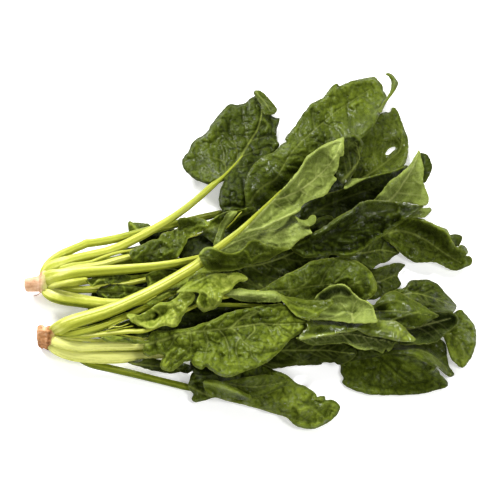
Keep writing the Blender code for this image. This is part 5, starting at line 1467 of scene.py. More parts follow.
N = "lower_leaf_rolled_edge"
hidden_stem(N, 35)
blade(N, [(396, 320), (405, 316), (415, 314), (425, 312.8), (437, 311.8), (450, 312), (455, 314), (457.5, 318.5), (456, 323.5), (450, 329.5),
          (443, 335), (439, 339.5), (430, 343), (415, 344), (400, 343), (395, 333)],
      rib=[(396, 330), (415, 327), (435, 322), (450, 318)],
      veins=[(0.8, [(414, 326), (425, 331), (434, 338)]), (0.8, [(425, 323), (433, 328), (440, 335)]), (0.7, [(432, 321), (441, 324), (447, 330)])],
      seed=107, tone=0.15, blister=0.8, lime=0.8, side="under",
      ridges=[(4.2, 2.0, [(423, 313.5), (437, 312.6), (450, 312.6), (455, 315), (456.5, 320)]), (-2.0, 5.0, [(436, 320), (446, 319)])],
      tints=[(-0.16, 4.0, [(438, 317), (450, 318)])])

N = "lower_leaf_shaded_under"
stem(N, [(50, 342.4, 6.0, 4.2, 0.2), (54, 346.0, 8.4, 5.2, 0.4), (62, 350.4, 9.4, 6.0, 0.5), (76, 354.8, 9.2, 6.4, 0.6), (100, 357.0, 8.8, 6.6, 0.6),
         (120, 357.0, 8.4, 6.4, 0.6), (138, 356.0, 7.2, 6.0, 0.6), (152, 354.6, 6.6, 5.2, 0.5), (175, 353, 5.4, 4.4, 0.6), (210, 351, 4.6, 3.6, 0.6), (236, 350, 3.4, 2.6, 0.6)],
     tone=1.0, seed=42, foot=6.0, merge=14, ridges=11, depth=0.09, pale=[(0.30, 0.06, 0.6, 1.25, 0.35)])
blade(N, [(232, 345), (250, 338), (280, 332), (305, 334), (325, 336), (341, 340), (350, 344), (356, 352), (352, 358), (339.5, 364.3),
          (333, 362.2), (322.5, 362.3), (321, 364), (313, 364.5), (292, 365.4), (272, 368.2), (262, 364), (245, 360), (234, 354)],
      auto=AUTO, seed=108, tone=0.13, blister=0.7)
stem(N, [(132, 361.5, 3.2, 2.6, 0.2), (146, 363, 4.0, 3.0, 0.3), (160, 366, 4.2, 3.0, 0.2)], part="frill_stalk", tone=0.2, seed=43, foot=2.0, merge=4, sides=14)
blade(N, [(128, 362), (140, 359), (152, 358), (163, 360), (175, 362), (186, 363), (193, 368), (189, 372.5), (180, 371.5), (172, 373),
          (162, 372), (150, 369), (140, 366)], part="frill", seed=109, tone=0.17, lifts=[(130, 362, 1), (160, 362, 2), (190, 368, 1), (160, 371, 0.5)],
      follow=True, loft=1.0, blister=0.7, rib=[(130, 363), (160, 366), (188, 369)], auto={"gap": 6.0, "angle": 50.0}, rib_width=0.6)

N = "lower_leaf_shaded_under"
# painted shade: a nearly black sheet filling a deeply shadowed gap between the stalks and leaves
blade(N, [(170, 334), (174, 326), (180, 318), (184, 310), (186, 303), (192, 297), (204, 292), (220, 290), (240, 292), (262, 296), (280, 300), (284, 306), (270, 312), (250, 316), (230, 322),
          (212, 328), (196, 334), (182, 338)], part="shaded_side", seed=913, tone=0.05, lime=0.0, crumple=0.6,
      lifts=[(175, 330, 1.0), (190, 302, 1.5), (240, 298, 2.0), (280, 304, 2.0), (210, 325, 0.8)], loft=1.0, spring=2.0)
# painted shade: another nearly black sheet filling shadowed gaps
blade(N, [(96, 286), (104, 280), (116, 275), (130, 272), (146, 269), (164, 267), (182, 266), (196, 264), (204, 270), (196, 280), (180, 292), (162, 304), (140, 314), (120, 322), (104, 326),
          (90, 328), (86, 318), (90, 304), (92, 294)], part="shaded_middle", seed=914, tone=0.06, lime=0.0, crumple=0.6,
      lifts=[(96, 286, 0.5), (140, 272, 0.6), (196, 268, 1.0), (150, 306, 0.8), (95, 322, 0.4)], loft=1.0, spring=1.0)
blade(N, [(98, 336), (104, 330), (116, 325), (130, 319), (144, 314), (160, 311), (172, 314), (166, 326), (156, 336), (136, 340), (112, 340.6)],
      part="shaded_low", seed=915, tone=0.24, lime=0.5, crumple=1.2, cell=3.4, blister=1.2, lifts=[(98, 336, 0.3), (150, 315, 0.5), (150, 336, 0.5), (104, 339, 0.2)], loft=1.0, spring=1.0)

# painted shade: two more nearly black sheets filling shadowed gaps
blade(N, [(150, 330), (156, 324), (166, 320), (178, 320), (190, 322), (196, 328), (190, 336), (178, 340), (164, 340), (154, 337)],
      part="shaded_gap", seed=918, tone=0.06, lime=0.0, crumple=0.5, lifts=[(152, 330, 0.5), (172, 322, 0.6), (192, 328, 0.6), (170, 338, 0.4)], loft=1.0, spring=1.0)
blade(N, [(190, 362), (194, 356), (204, 354), (216, 356), (226, 360), (228, 368), (218, 373), (206, 374.5), (197, 373.5), (192, 369)],
      part="shaded_edge", seed=919, tone=0.07, lime=0.0, crumple=0.5, lifts=[(192, 362, 0.5), (210, 358, 0.6), (224, 364, 0.5), (204, 372, 0.3)], loft=1.0, spring=1.0)

# ---------------------------------------------------------------- bottom of the heap, upper plant
N = "lower_leaf_shaded_under"
# painted shade: a dark sheet filling the shadowed gap under the arch and the roll
blade(N, [(284, 306), (290, 298), (304, 296), (322, 298), (342, 300), (362, 304), (384, 308), (396, 318), (398, 330), (384, 336), (362, 334), (338, 334), (314, 336), (298, 334), (290, 326), (284, 316)],
      part="shaded_right", seed=916, tone=0.10, lime=0.0, crumple=0.6, lifts=[(290, 300, 1.0), (340, 304, 1.0), (390, 318, 1.0), (340, 330, 0.8), (296, 326, 0.8)], loft=1.0, spring=1.0)

N = "upper_leaf_under_glossy"
# painted shade: a dark sheet filling a shadowed gap
blade(N, [(296, 262), (304, 252), (318, 248), (336, 246), (354, 244), (372, 240), (386, 238), (392, 244), (396, 252), (390, 258), (380, 263), (374, 268), (368, 276), (356, 282), (338, 284),
          (320, 282), (304, 276), (296, 270)], part="shaded_side", seed=917, tone=0.10, lime=0.0, crumple=0.8, lifts=[(300, 262, 1.0), (340, 252, 1.0), (386, 246, 1.0), (360, 276, 0.8), (320, 278, 0.8)], loft=1.0, spring=1.0)

N = "upper_leaf_back_right"
hidden_stem(N, 36)
blade(N, [(343, 172), (350, 155), (358, 138), (370, 124), (381, 113), (386, 111.3), (391, 111), (392.8, 107), (395.3, 107), (400, 114),
          (405, 129), (408, 136), (409.2, 146), (408, 155), (404, 166), (395, 174), (380, 182), (366, 186), (352, 186)],
      rib=[(346, 182), (362, 178), (378, 168), (395, 155), (401, 149), (403, 120)],
      veins=[(0.8, [(378, 168), (374, 150), (380, 130)]), (0.7, [(388, 161), (392, 140), (394, 120)]), (0.6, [(370, 173), (360, 158)]),
             (0.5, [(385, 163), (397, 163)])],
      auto={"gap": 9.0, "angle": 55.0}, seed=110, tone=0.36, blister=1.1, crumple=1.0, rib_width=0.7,
      holes=[[(385.8, 154.2), (387.2, 150.6), (390, 147.8), (395.8, 146.2), (396.2, 148.4), (393, 151.4), (389.4, 154.4)]],
      lime=0.25, lifts=lifts_of(N) + [(391, 150.5, 0.0), (386, 154, 0.0), (396, 147, 0.0), (392, 146, 0.2), (390, 155, 0.2)],
      press=[(7.0, [(387, 152.6), (395, 148.6)])], tints=[(0.35, 0.9, [(386.5, 154.5), (389, 149), (396, 146.2)]), (0.08, 8.0, [(370, 158), (380, 150)]),
             (-0.12, 6.0, [(352, 168), (362, 172)]), (0.06, 6.0, [(395, 160), (402, 150)])])

N = "upper_leaf_shaded_middle"
hidden_stem(N, 37)
# painted shade: a dark sheet filling the shadowed gap under the crossing leaf
blade(N, [(288, 232), (286, 214), (292, 196), (300, 182), (312, 170), (326, 160), (338, 152), (350, 150), (354, 166), (350, 180), (340, 196), (330, 214), (312, 232)],
      part="shade_side", seed=911, tone=0.08, lime=0.0, lifts=[(290, 225, 0.5), (300, 185, 1.0), (345, 155, 1.0), (345, 180, 1.5), (310, 225, 0.5)], loft=1.0)
blade(N, [(345, 188), (355, 183), (365, 178), (380, 174), (395, 170), (403, 166), (408.3, 166), (408.5, 174), (404, 183), (395, 193),
          (388, 204), (372, 208), (351, 214), (331, 224), (305, 237), (292, 232), (294, 216), (304, 203), (318, 196), (332, 192)],
      auto=AUTO, seed=111, tone=0.16, blister=0.9, lime=0.5, vein_pale=0.14, vein_dark=0.14,
      tints=[(-0.08, 14.0, [(310, 215), (345, 200)]), (0.10, 8.0, [(385, 182), (400, 176)]), (0.3, 0.8, [(346, 187.6), (365, 178.5), (380, 174), (395, 170), (407, 166.4)])],
      ridges=[(1.5, 1.2, [(346, 188), (365, 178.5), (380, 174.5), (395, 170.5), (407, 166.5)])])
blade(N, [(344, 189), (346, 184), (348, 179.5), (354, 178.4), (360, 178.8), (366, 178), (358, 182.5), (350, 187)], part="flap", seed=112, side="under",
      tone=0.66, lifts=[(345, 188, 1.0), (350, 180, 1.6), (365, 178, 1.0)], follow=True, loft=1.0, blister=0.3, ruffle=0.3)

N = "upper_leaf_dark_tip"
hidden_stem(N, 38)
blade(N, [(352, 276), (362, 272), (373.5, 269), (385, 266), (397, 263), (405.3, 265), (402, 269), (398, 275.5), (400.8, 284), (397, 288.6),
          (390, 292), (380, 297), (368, 300), (352, 294)],
      auto={"gap": 7.0, "angle": 52.0}, seed=113, tone=0.24, blister=0.9,
      veins=[(0.8, [(366, 277), (378, 275), (388, 277), (398, 274)])], tints=[(0.15, 1.6, [(376, 276), (386, 278), (398, 275)])])

N = "lower_leaf_right_upper"
hidden_stem(N, 39)
blade(N, [(380, 297), (392, 291), (397, 289), (402, 288.2), (405.5, 286), (408, 283), (411, 280.4), (420, 280), (428, 279.6), (433, 282),
          (438.5, 285), (446, 294), (456, 305.6), (454.3, 309.5), (453, 311.6), (445, 312.6), (436, 312.6), (420, 316), (400, 315), (384, 308)],
      rib=[(384, 302), (398, 296), (413, 293), (430, 297), (446, 303), (455, 307)],
      auto=AUTO, seed=114, tone=0.22, blister=1.2, crumple=1.1, rib_width=0.6,
      ridges=[(1.5, 2.5, [(406, 286), (422, 283), (434, 287)]), (-1.4, 1.2, [(410, 289.5), (428, 292), (440, 297)]), (1.2, 1.0, [(428, 304), (438, 308)])],
      tints=[(0.16, 4.0, [(400, 291), (412, 296)]), (-0.14, 5.0, [(420, 298), (434, 304)])])

N = "lower_leaf_right_glossy"
hidden_stem(N, 40)
blade(N, [(361, 306), (368, 304), (374, 305), (376, 302), (380, 298), (386, 293.5), (392, 291), (398, 292), (404, 295.5), (410, 299),
          (422, 305), (430, 311), (437.5, 315.5), (431, 319), (423, 324), (415, 327), (405, 327.5), (395, 325), (376, 323), (363, 318)],
      rib=[(362, 312), (378, 311), (393, 311), (410, 312), (424, 314), (436, 316)],
      veins=[(0.9, [(372, 309.5), (378, 305), (386, 302), (394, 301), (400, 301.3), (405, 303), (408, 308)]),
             (0.9, [(388, 322), (393, 319.5), (400, 317), (410, 314), (418, 313)]), (0.6, [(418, 313), (414, 306), (407, 300)])],
      seed=115, tone=0.27, blister=0.8, rib_width=0.4, lime=0.7, wets=[(0.6, 1.6, [(374, 306), (380, 302.6), (388, 301)]), (0.4, 1.6, [(402, 302), (408, 307)]), (0.4, 1.4, [(400, 318), (412, 314)])],
      ridges=[(2.2, 1.8, [(372, 308), (379, 303.5), (387, 301), (396, 300.5), (404, 303)]), (-2.2, 4.0, [(377, 312), (390, 310), (402, 309)]),
              (1.8, 1.3, [(390, 321), (400, 317), (410, 313.6), (418, 312.5)]), (1.6, 3.0, [(386, 295), (400, 296)])],
      tints=[(-0.14, 4.0, [(378, 308), (384, 315)]), (0.20, 4.0, [(392, 306), (399, 308)]), (0.10, 6.0, [(415, 312), (428, 314)])])

N = "upper_leaf_under_glossy"
hidden_stem(N, 51)
blade(N, [(345, 246), (362, 241), (382, 237), (391, 244), (399.3, 253), (394, 256), (387, 262), (376.5, 265), (373.5, 268.3), (360, 267), (348, 262)],
      auto=AUTO, seed=116, tone=0.25, blister=0.6)

N = "upper_leaf_right_tip"
hidden_stem(N, 52)
blade(N, [(447, 236), (453, 234.5), (459, 235), (462, 237), (461.5, 241.5), (458.5, 246), (452, 246), (447, 242)], part="tip_fold", seed=117, tone=0.22,
      lifts=[(447, 240, 4), (455, 238, 5), (461, 240, 4)], blister=0.5)
blade(N, [(376, 231), (385, 224), (395, 219), (404, 216.5), (410, 216), (419, 218), (430, 222), (440, 227), (446, 229), (449, 234),
          (450.5, 238.5), (453.6, 243), (455.2, 246.3), (458, 247), (461, 245), (464.4, 246), (468.3, 252), (466.3, 255.6), (470.2, 256.2),
          (472.2, 260), (470.3, 265), (466, 267.3), (460, 269.3), (452, 270), (446, 267.2), (440, 264.2), (433, 262.2), (425, 262.2),
          (415, 262.2), (407, 258), (400, 252.3), (392, 244.5), (382, 237)],
      rib=[(378, 234), (387, 233.5), (397, 231), (410, 233), (422, 238), (433, 245), (443, 252), (452, 258), (461, 263)],
      auto={"gap": 7.0, "angle": 52.0}, seed=118, tone=0.33, blister=1.7, crumple=1.5, cell=4.4, lime=0.9, rib_width=1.1, rib_pale=0.8, vein_pale=0.5, jag=0.5,
      ridges=[(2.4, 1.6, [(408, 217.5), (420, 219.5), (432, 224), (442, 229), (448, 234), (452, 241)]),
              (-1.8, 3.0, [(420, 227), (434, 235), (444, 245)]), (1.5, 1.2, [(456, 249), (466, 252)])],
      tints=[(0.20, 1.8, [(410, 217), (430, 223), (446, 231), (452, 241), (458, 248), (467, 254)]), (-0.12, 5.0, [(415, 226), (432, 235)]),
             (0.12, 4.0, [(455, 262), (466, 262)])])
blade(N, [(408, 216.4), (414, 211), (420, 208.2), (426, 207.8), (430, 208), (431.2, 210.5), (429, 213.5), (425, 217), (420, 217.6)], part="side_fold",
      seed=119, side="under", tone=0.45, lifts=[(410, 216, 5), (425, 210, 6), (425, 216, 5)], blister=0.4, ruffle=0.4)

N = "upper_leaf_pale_back"
hidden_stem(N, 53)
blade(N, [(420, 156), (421, 152.5), (424, 152.6), (429, 155.6), (431.4, 161), (432.3, 169), (431, 172.5), (428.5, 178), (424.5, 182.5), (420, 178), (418, 165)],
      part="tip_fold", seed=120, tone=0.13, lifts=[(421, 156, 2), (430, 165, 2.4), (425, 180, 2)], blister=0.5)
blade(N, [(419.3, 149.8), (421.3, 155), (422.3, 160), (424.2, 170), (423.3, 177), (423.6, 182), (426.5, 190), (429.2, 197), (429.3, 201),
          (426, 205.3), (412, 203.4), (400, 202), (385, 202), (373, 202), (376, 198), (380, 194), (385, 188), (390, 181), (398, 176), (405, 170),
          (410, 165), (415, 157)],
      rib=[(376, 204), (390, 200), (397, 193), (404, 182), (413, 168), (419, 152)],
      veins=[(1.0, [(397, 193), (410, 194), (424, 196)]), (0.9, [(390, 200), (396, 193), (400, 185)]), (0.7, [(404, 182), (414, 183), (422, 181)]),
             (0.6, [(408, 175), (415, 173), (422, 170)])],
      side="under", seed=121, tone=0.62, blister=0.7, lime=0.7,
      ridges=[(1.4, 2.0, [(402, 176), (412, 166)]), (-1.0, 2.5, [(404, 190), (418, 189)])], tints=[(-0.12, 5.0, [(400, 197), (420, 200)])])

N = "upper_leaf_dark_core"
stem(N, [(44, 286.0, 4.0, 2.2, 0.2), (60, 288.4, 6.0, 3.4, 0.4), (75, 289.6, 6.0, 3.6, 0.5), (95, 288.6, 5.0, 3.8, 0.5), (110, 286.6, 4.6, 3.8, 0.5),
         (130, 283, 4.2, 3.6, 0.5), (150, 279, 3.8, 3.2, 0.5), (170, 276, 3.4, 2.8, 0.5), (200, 271, 3.0, 2.2, 0.4)],
     tone=0.60, seed=44, foot=6.0, merge=16, ridges=6, pale=[(0.2, 0.15, 0.8, 1.7, 0.5)])
blade(N, [(196, 263), (205, 256), (225, 249), (240, 243), (255, 238), (285, 230), (310, 222), (331, 216), (338, 228), (336, 245), (326, 260),
          (315, 270), (303, 282), (290, 291), (275, 295), (260, 296), (245, 294), (228, 292), (212, 286), (200, 279)],
      rib=[(198, 272), (226, 268), (250, 266), (262, 264), (290, 254), (312, 240), (334, 228)],
      veins=[(1.0, [(262, 264), (266, 267), (270, 271)]), (0.9, [(259, 284), (263, 287), (267, 291)]), (0.7, [(300, 262), (304, 270)]), (0.6, [(285, 258), (292, 268)])],
      auto={"gap": 11.0, "angle": 52.0}, seed=122, tone=0.14, blister=0.8, vein_pale=0.6)

N = "upper_leaf_bent_stalk"
blade(N, [(224, 211), (222, 205), (221.6, 200), (223, 192), (226, 185), (230, 176), (237, 168), (250, 164), (260, 170), (262, 182), (260, 196),
          (254, 208), (243, 213), (230, 217)], auto=AUTO, seed=123, tone=0.10, blister=0.7, lime=0.0)
blade(N, [(128.4, 222.4), (130.5, 221.4), (133, 222.4), (136, 221.8), (141, 222.4), (150, 225.2), (149, 230), (137, 234.4), (131.6, 233.6),
          (128.6, 230.4), (127.8, 226)], part="side_leaflet", seed=124, tone=0.40, lifts=[(128, 226, 2.0), (140, 224, 2.0), (136, 233, 1.0)],
      loft=1.0, blister=0.9, cell=3.5, lime=0.9, ridges=[(1.5, 1.2, [(131, 224), (137, 230), (142, 233)])], tints=[(0.35, 1.6, [(131, 223.5), (136, 229)])])
blade(N, [(140, 236), (150, 231), (160, 226), (166, 225.4), (171, 227.5), (177, 232), (170, 236), (160, 240), (150, 243), (142, 246), (139, 241)],
      # painted shade: a small leaflet piece coloured nearly black for the shade it lies in
      part="shaded_leaflet", seed=125, tone=0.08, lifts=[(140, 240, 1.0), (160, 230, 1.0), (175, 232, 1.0)], loft=1.0, blister=0.5)
blade(N, [(118, 251), (125, 248.5), (133, 247), (141, 245.4), (144, 248), (134, 252), (122, 254)],
      part="shaded_tip", seed=126, tone=0.14, lifts=[(118, 251, 1.0), (144, 246, 1.0)], loft=1.0, blister=0.5, ruffle=0.4)
stem(N, [(43, 270, 4.0, 3.4, 0.5), (47, 265.5, 5.4, 4.6, 0.8), (52, 260.8, 6.2, 5.4, 1.0), (58, 256.6, 6.3, 5.6, 1.0), (64.5, 252.9, 6.3, 5.6, 1.0), (67, 252.2, 6.6, 5.8, 1.0),
         (75, 248.4, 6.2, 5.6, 0.8), (83, 245.2, 6.2, 5.5, 0.8), (86, 243.6, 6.6, 5.6, 0.8), (90, 243.2, 6.2, 5.4, 0.8),
         (105, 241.0, 6.2, 5.4, 0.6), (125, 236.8, 6.2, 5.4, 0.6), (155, 229, 6.0, 5.0, 0.6), (178, 223.5, 5.8, 4.8, 0.6), (200, 218.0, 5.6, 4.6, 0.6),
         (214, 214.6, 5.0, 4.0, 0.6), (224, 211.5, 3.6, 2.8, 0.5)],
     tone=0.62, seed=45, foot=8.5, merge=12, ridges=7, depth=0.05, pale=[(0.26, 0.12, 0.155, 1.5, 1.2), (0.26, 0.245, 0.275, 1.5, 1.2), (-0.20, 0.42, 1.2, 1.5, 9.0), (-0.12, 0.70, 1.2, 1.5, 9.0)])

N = "upper_leaf_far_left"
blade(N, [(224, 181), (217, 184), (209, 184.2), (203, 182), (197, 180), (190, 175), (185, 170), (182, 164), (182, 160), (185, 155), (189, 150),
          (193, 141), (201, 136), (207, 131), (211, 124.5), (216, 117), (222, 110), (231, 103), (235, 104), (240, 103.6), (245, 102), (250, 98),
          (255, 94), (254, 91.3), (255.5, 89.8), (260, 90), (268, 97), (273, 103), (277, 109), (273.4, 114), (271, 114.3), (276, 117), (280, 117.6),
          (278.4, 124), (277, 130), (277, 139), (279.3, 145), (274, 152), (266, 161), (258, 168), (252, 176), (249.5, 186), (250, 196),
          (250.5, 206), (246, 209.5), (239, 212), (230, 213), (224.4, 212.6), (221.4, 209), (219.4, 204), (219, 197), (220.3, 190), (222.6, 184.4)],
      rib=[(214, 182.5), (222, 178), (230, 169), (237, 162), (245, 149), (253, 136), (257, 130), (260, 121), (262, 110), (261, 98)],
      veins=[(1.0, [(222, 177.5), (212, 173), (203, 169.5), (193, 167)]), (0.9, [(226, 171.5), (224, 162), (217, 158.5), (207, 156), (193, 158)]),
             (0.8, [(224, 162), (223, 150), (219, 140), (214, 130)]), (0.8, [(238, 160), (236, 146), (232, 132), (228, 118)]),
             (0.6, [(236, 146), (226, 136), (219, 124)]), (0.7, [(248, 144), (246, 130), (243, 116), (242, 107)]),
             (0.7, [(240, 157), (252, 152), (266, 148), (275, 148)]), (0.7, [(250, 141), (262, 137), (274, 135)]), (0.6, [(232, 167), (244, 166), (256, 162)]),
             (0.6, [(257, 130), (264, 124), (272, 121)]), (0.5, [(212, 173), (206, 164), (198, 160)]), (0.5, [(236, 146), (243, 136), (247, 124)])],
      seed=127, tone=0.27, blister=1.2, cell=6.5, rib_width=1.1,
      ridges=[(2.5, 1.5, [(254, 92), (262, 104), (265, 113)]), (1.6, 1.4, [(264, 119), (268, 125), (266, 131)]), (-1.6, 2.0, [(245, 150), (255, 136), (260, 124)]),
              (1.2, 3.0, [(208, 140), (222, 122), (236, 110)])],
      rib_pale=0.85, vein_pale=0.5, lime=0.25, thick=0.36, crumple=1.5, vein_dark=0.10,
      tints=[(0.10, 6.0, [(196, 172), (206, 176), (216, 180)]), (0.08, 7.0, [(200, 148), (214, 138)]), (-0.10, 10.0, [(258, 150), (266, 130)]),
             (0.16, 1.6, [(264, 119), (268, 125), (266, 131)]), (-0.08, 8.0, [(225, 130), (240, 118)]), (-0.14, 10.0, [(236, 184), (256, 166)]),
             (-0.08, 8.0, [(228, 204), (244, 200)])])
blade(N, [(253.6, 91.6), (255.3, 89.7), (260, 89.8), (268, 96.8), (273, 103), (277.2, 109), (273.6, 113.6), (268, 113.6), (264.6, 113.4), (261, 104), (257, 97)],
      part="tip_fold", seed=128, side="upper", tone=0.30, follow=True, loft=1.0, lifts=[(254, 91, 1.2), (262, 104, 2.0), (265, 113, 1.0), (277, 109, 0.4), (268, 98, 0.6)],
      blister=0.5, rib=[(256, 91), (266, 103), (271, 112)], rib_width=0.6, veins=[(0.6, [(262, 98), (270, 101)]), (0.6, [(266, 104), (275, 107)])])
stem(N, [(41.6, 276.6, 2.6, 2.0, 0.4), (43.2, 274.6, 5.8, 3.8, 0.6), (46, 271.4, 8.4, 5.0, 0.8), (50, 268.0, 9.4, 5.6, 1.0), (58, 264.4, 9.0, 6.0, 1.0), (67, 261.4, 8.0, 6.0, 0.8), (80, 257.8, 7.0, 5.8, 0.6),
         (96, 254.2, 6.8, 5.6, 0.5), (110, 250.6, 6.6, 5.4, 0.5), (125, 244.2, 6.4, 5.2, 0.5), (140, 236.6, 6.2, 5.2, 0.5), (155, 228.2, 6.0, 5.0, 0.6), (170, 219.2, 5.7, 4.8, 1.5),
         (185, 208.6, 5.4, 4.6, 2.5), (200, 196.4, 5.1, 4.4, 3.0), (211, 186.6, 4.8, 4.0, 1.4), (218, 181.0, 3.4, 2.6, 0.6), (225, 174.5, 2.0, 1.3, 0.2), (234, 165.0, 1.3, 0.8, 0.1), (243, 155.0, 0.8, 0.5, 0.0)],
     tone=0.64, seed=46, foot=10.0, merge=12, ridges=7, depth=0.04, pale=[(0.22, 0.06, 0.16, 1.1, 0.6), (0.10, 0.2, 0.75, 1.2, 0.3), (-0.12, 0.55, 1.2, 1.5, 9.0),
                                                                     (-0.16, 0.80, 1.2, 1.5, 9.0)])

N = "upper_leaf_back_large"
hidden_stem(N, 54)
blade(N, [(248, 208), (245, 196), (245, 185), (247, 178), (250, 170), (255, 163), (262, 157), (273, 152), (278, 148), (282, 143.5), (286.5, 141),
          (285, 139), (290, 132), (295, 126), (304, 112), (306, 110), (310, 104), (316, 100.5), (323, 97), (328, 91), (332, 86), (337, 82.8),
          (340, 85), (345, 83), (352, 80), (361, 77.8), (370, 76), (375, 75.8), (379, 79.5), (383, 84), (384, 89), (387.3, 95), (384, 103),
          (380, 113), (375, 124), (366, 134), (356, 144), (345, 151), (330, 158), (314, 166), (298, 181), (276, 198), (260, 209)],
      rib=[(250, 203), (257, 192), (265, 185), (275, 179.5), (284, 165), (290, 155), (298, 145), (312, 132), (328, 118), (345, 105), (362, 94), (380, 83)],
      veins=[(0.9, [(264, 185.5), (260, 182.5), (255, 180)]), (0.9, [(263, 187), (262, 192), (262, 198)]), (0.9, [(266, 184.5), (273, 183), (279, 188)]),
             (0.7, [(279, 173), (291, 172), (302, 170)]), (0.6, [(284, 165), (276, 159), (270, 157)]), (0.7, [(290, 155), (303, 154), (316, 156)]),
             (0.7, [(301, 142), (300, 130), (304, 116)]), (0.7, [(315, 129), (313, 116), (315, 104)]), (0.7, [(322, 123), (336, 128), (344, 140)]),
             (0.7, [(331, 115), (331, 102), (334, 88)]), (0.7, [(345, 105), (356, 112), (364, 126)]), (0.6, [(350, 101), (350, 92), (353, 84)]),
             (0.6, [(360, 95), (370, 101), (378, 106)]), (0.5, [(308, 135), (318, 141), (330, 148)])],
      wets=[(0.45, 4.0, [(338, 128), (347, 120), (352, 106)]), (0.4, 3.4, [(342, 132), (352, 128), (360, 126)]), (0.5, 2.0, [(262, 158), (266, 166)]), (0.5, 2.0, [(276, 170), (282, 178)]),
            (0.4, 2.0, [(290, 166), (297, 169)]), (0.3, 2.0, [(250, 178), (252, 186)])],
      seed=129, tone=0.36, blister=1.4, cell=6.0, rib_width=0.7, lime=0.3, crumple=1.1, vein_pale=0.40, rib_pale=0.45,
      ridges=[(-1.8, 2.2, [(340, 86), (347, 98), (350, 112), (350, 133)]), (1.8, 2.5, [(313, 104), (326, 118), (336, 137)]), (1.5, 1.6, [(263, 164), (268, 159)]),
              (1.4, 2.2, [(276, 171), (284, 178)]), (1.4, 1.2, [(290, 167.5), (298, 169)]), (1.3, 1.5, [(340, 126), (346, 133)]), (1.6, 2.0, [(352, 104), (362, 100)]),
              (1.5, 2.0, [(372, 80), (382, 92)])],
      tints=[(0.12, 12.0, [(330, 100), (362, 90), (374, 84)]), (-0.10, 8.0, [(312, 116), (322, 134)]), (0.05, 3.0, [(286, 176), (302, 174)]),
             (-0.14, 8.0, [(252, 178), (256, 206)]), (0.06, 3.0, [(278, 150), (290, 142)]), (-0.10, 8.0, [(264, 176), (276, 172)]),
             (0.10, 5.0, [(340, 128), (344, 134)]), (-0.10, 6.0, [(282, 186), (300, 176)])])
blade(N, [(386.5, 73), (389, 71.8), (393.5, 73.6), (396.2, 77), (399, 82), (397.4, 87), (395, 91), (391.2, 96), (387.2, 101.4), (384.2, 107), (381.4, 112.4),
          (379.2, 110.5), (382, 105), (384.6, 100.6), (388, 96), (391, 90.5), (392.2, 85), (392, 79.5), (389.6, 75.4)], part="curled_tip", seed=130, side="upper",
      tone=0.42, lifts=[(388, 73, 6.0), (397, 82, 5.0), (391, 92, 4.0), (383, 106, 2.5)], blister=0.3, ruffle=0.2, wave=0.3, loft=1.0, jag=0.1,
      ridges=[(1.2, 1.2, [(389, 73), (395.5, 80), (394, 90), (386, 101)])], lime=0.8)

N = "upper_leaf_small_round"
hidden_stem(N, 55)
blade(N, [(335, 166), (335.5, 156), (338, 145), (341, 137), (347.5, 135), (355, 134), (360, 138), (363.3, 143), (362.4, 150), (360, 158), (356, 168), (350, 179),
          (343, 184), (338, 178)], auto={"gap": 6.0, "angle": 50.0}, seed=131, tone=0.14, lime=0.4, blister=1.0, crumple=1.1,
      rib=[(342, 181), (349, 174), (356, 165), (360, 160), (356, 142)],
      ridges=[(1.8, 1.5, [(343, 136.6), (351, 135), (357, 136.5), (361.5, 142.5), (361, 152)])], tints=[(0.2, 1.5, [(343, 136.6), (351, 135), (357, 136.5), (361.5, 142.5), (361, 152)])])

N = "upper_leaf_folded_inner"
stem(N, [(46, 276, 4.6, 2.0, 2.0), (60, 269.6, 5.0, 2.2, 1.6), (72, 265.5, 4.0, 2.4, 1.0), (90, 262.2, 2.8, 2.4, 0.6), (105, 256.6, 2.6, 2.3, 0.5),
         (118, 252.6, 2.4, 2.0, 0.5), (131, 250.6, 2.4, 2.0, 0.4), (150, 247, 2.4, 2.0, 0.4), (170, 243.5, 2.6, 2.0, 0.4), (190, 238, 2.4, 1.8, 0.4), (206, 232, 2.2, 1.4, 0.4)],
     tone=0.62, seed=47, foot=9.0, merge=14, ridges=5, sides=16)
# painted shade: a nearly black sheet filling the shadowed hollow behind the folded leaf
blade(N, [(186, 240), (196, 236), (206, 230), (214, 222), (222, 215), (232, 212), (242, 210), (252, 208), (258, 210), (258, 220), (250, 230), (240, 240), (228, 246),
          (216, 250), (204, 256), (192, 258), (180, 258), (180, 250)], part="shaded_side", seed=932, tone=0.03, lime=0.0, crumple=0.5,
      lifts=[(182, 255, 1.0), (200, 236, 1.0), (225, 216, 1.0), (255, 212, 1.0), (230, 240, 0.5), (205, 250, 0.5)], loft=1.0)
blade(N, [(203, 229), (205, 223), (212, 219.4), (220, 214.4), (225, 212), (230, 211), (238, 211), (248, 207.4), (255, 207), (256.6, 213), (250, 225),
          (241, 235), (232, 241), (224, 244), (219, 246.5), (214, 243), (208, 238.5), (203.4, 234)],
      rib=[(204, 231), (216, 226), (230, 220), (246, 214), (255, 210)], seed=132, tone=0.20, blister=0.7, lime=0.2,
      ridges=[(1.4, 1.2, [(229, 228), (238, 219), (246, 211)]), (1.4, 0.9, [(204, 226), (214, 219), (224, 212.6), (234, 211.4), (246, 208)])],
      tints=[(0.24, 5.0, [(208, 229), (216, 222)]), (-0.12, 5.0, [(232, 234), (246, 220)]), (0.10, 3.0, [(244, 214), (250, 210)]),
             (0.4, 0.8, [(204, 225), (214, 218.4), (224, 212.4), (234, 211.2), (246, 208)])])
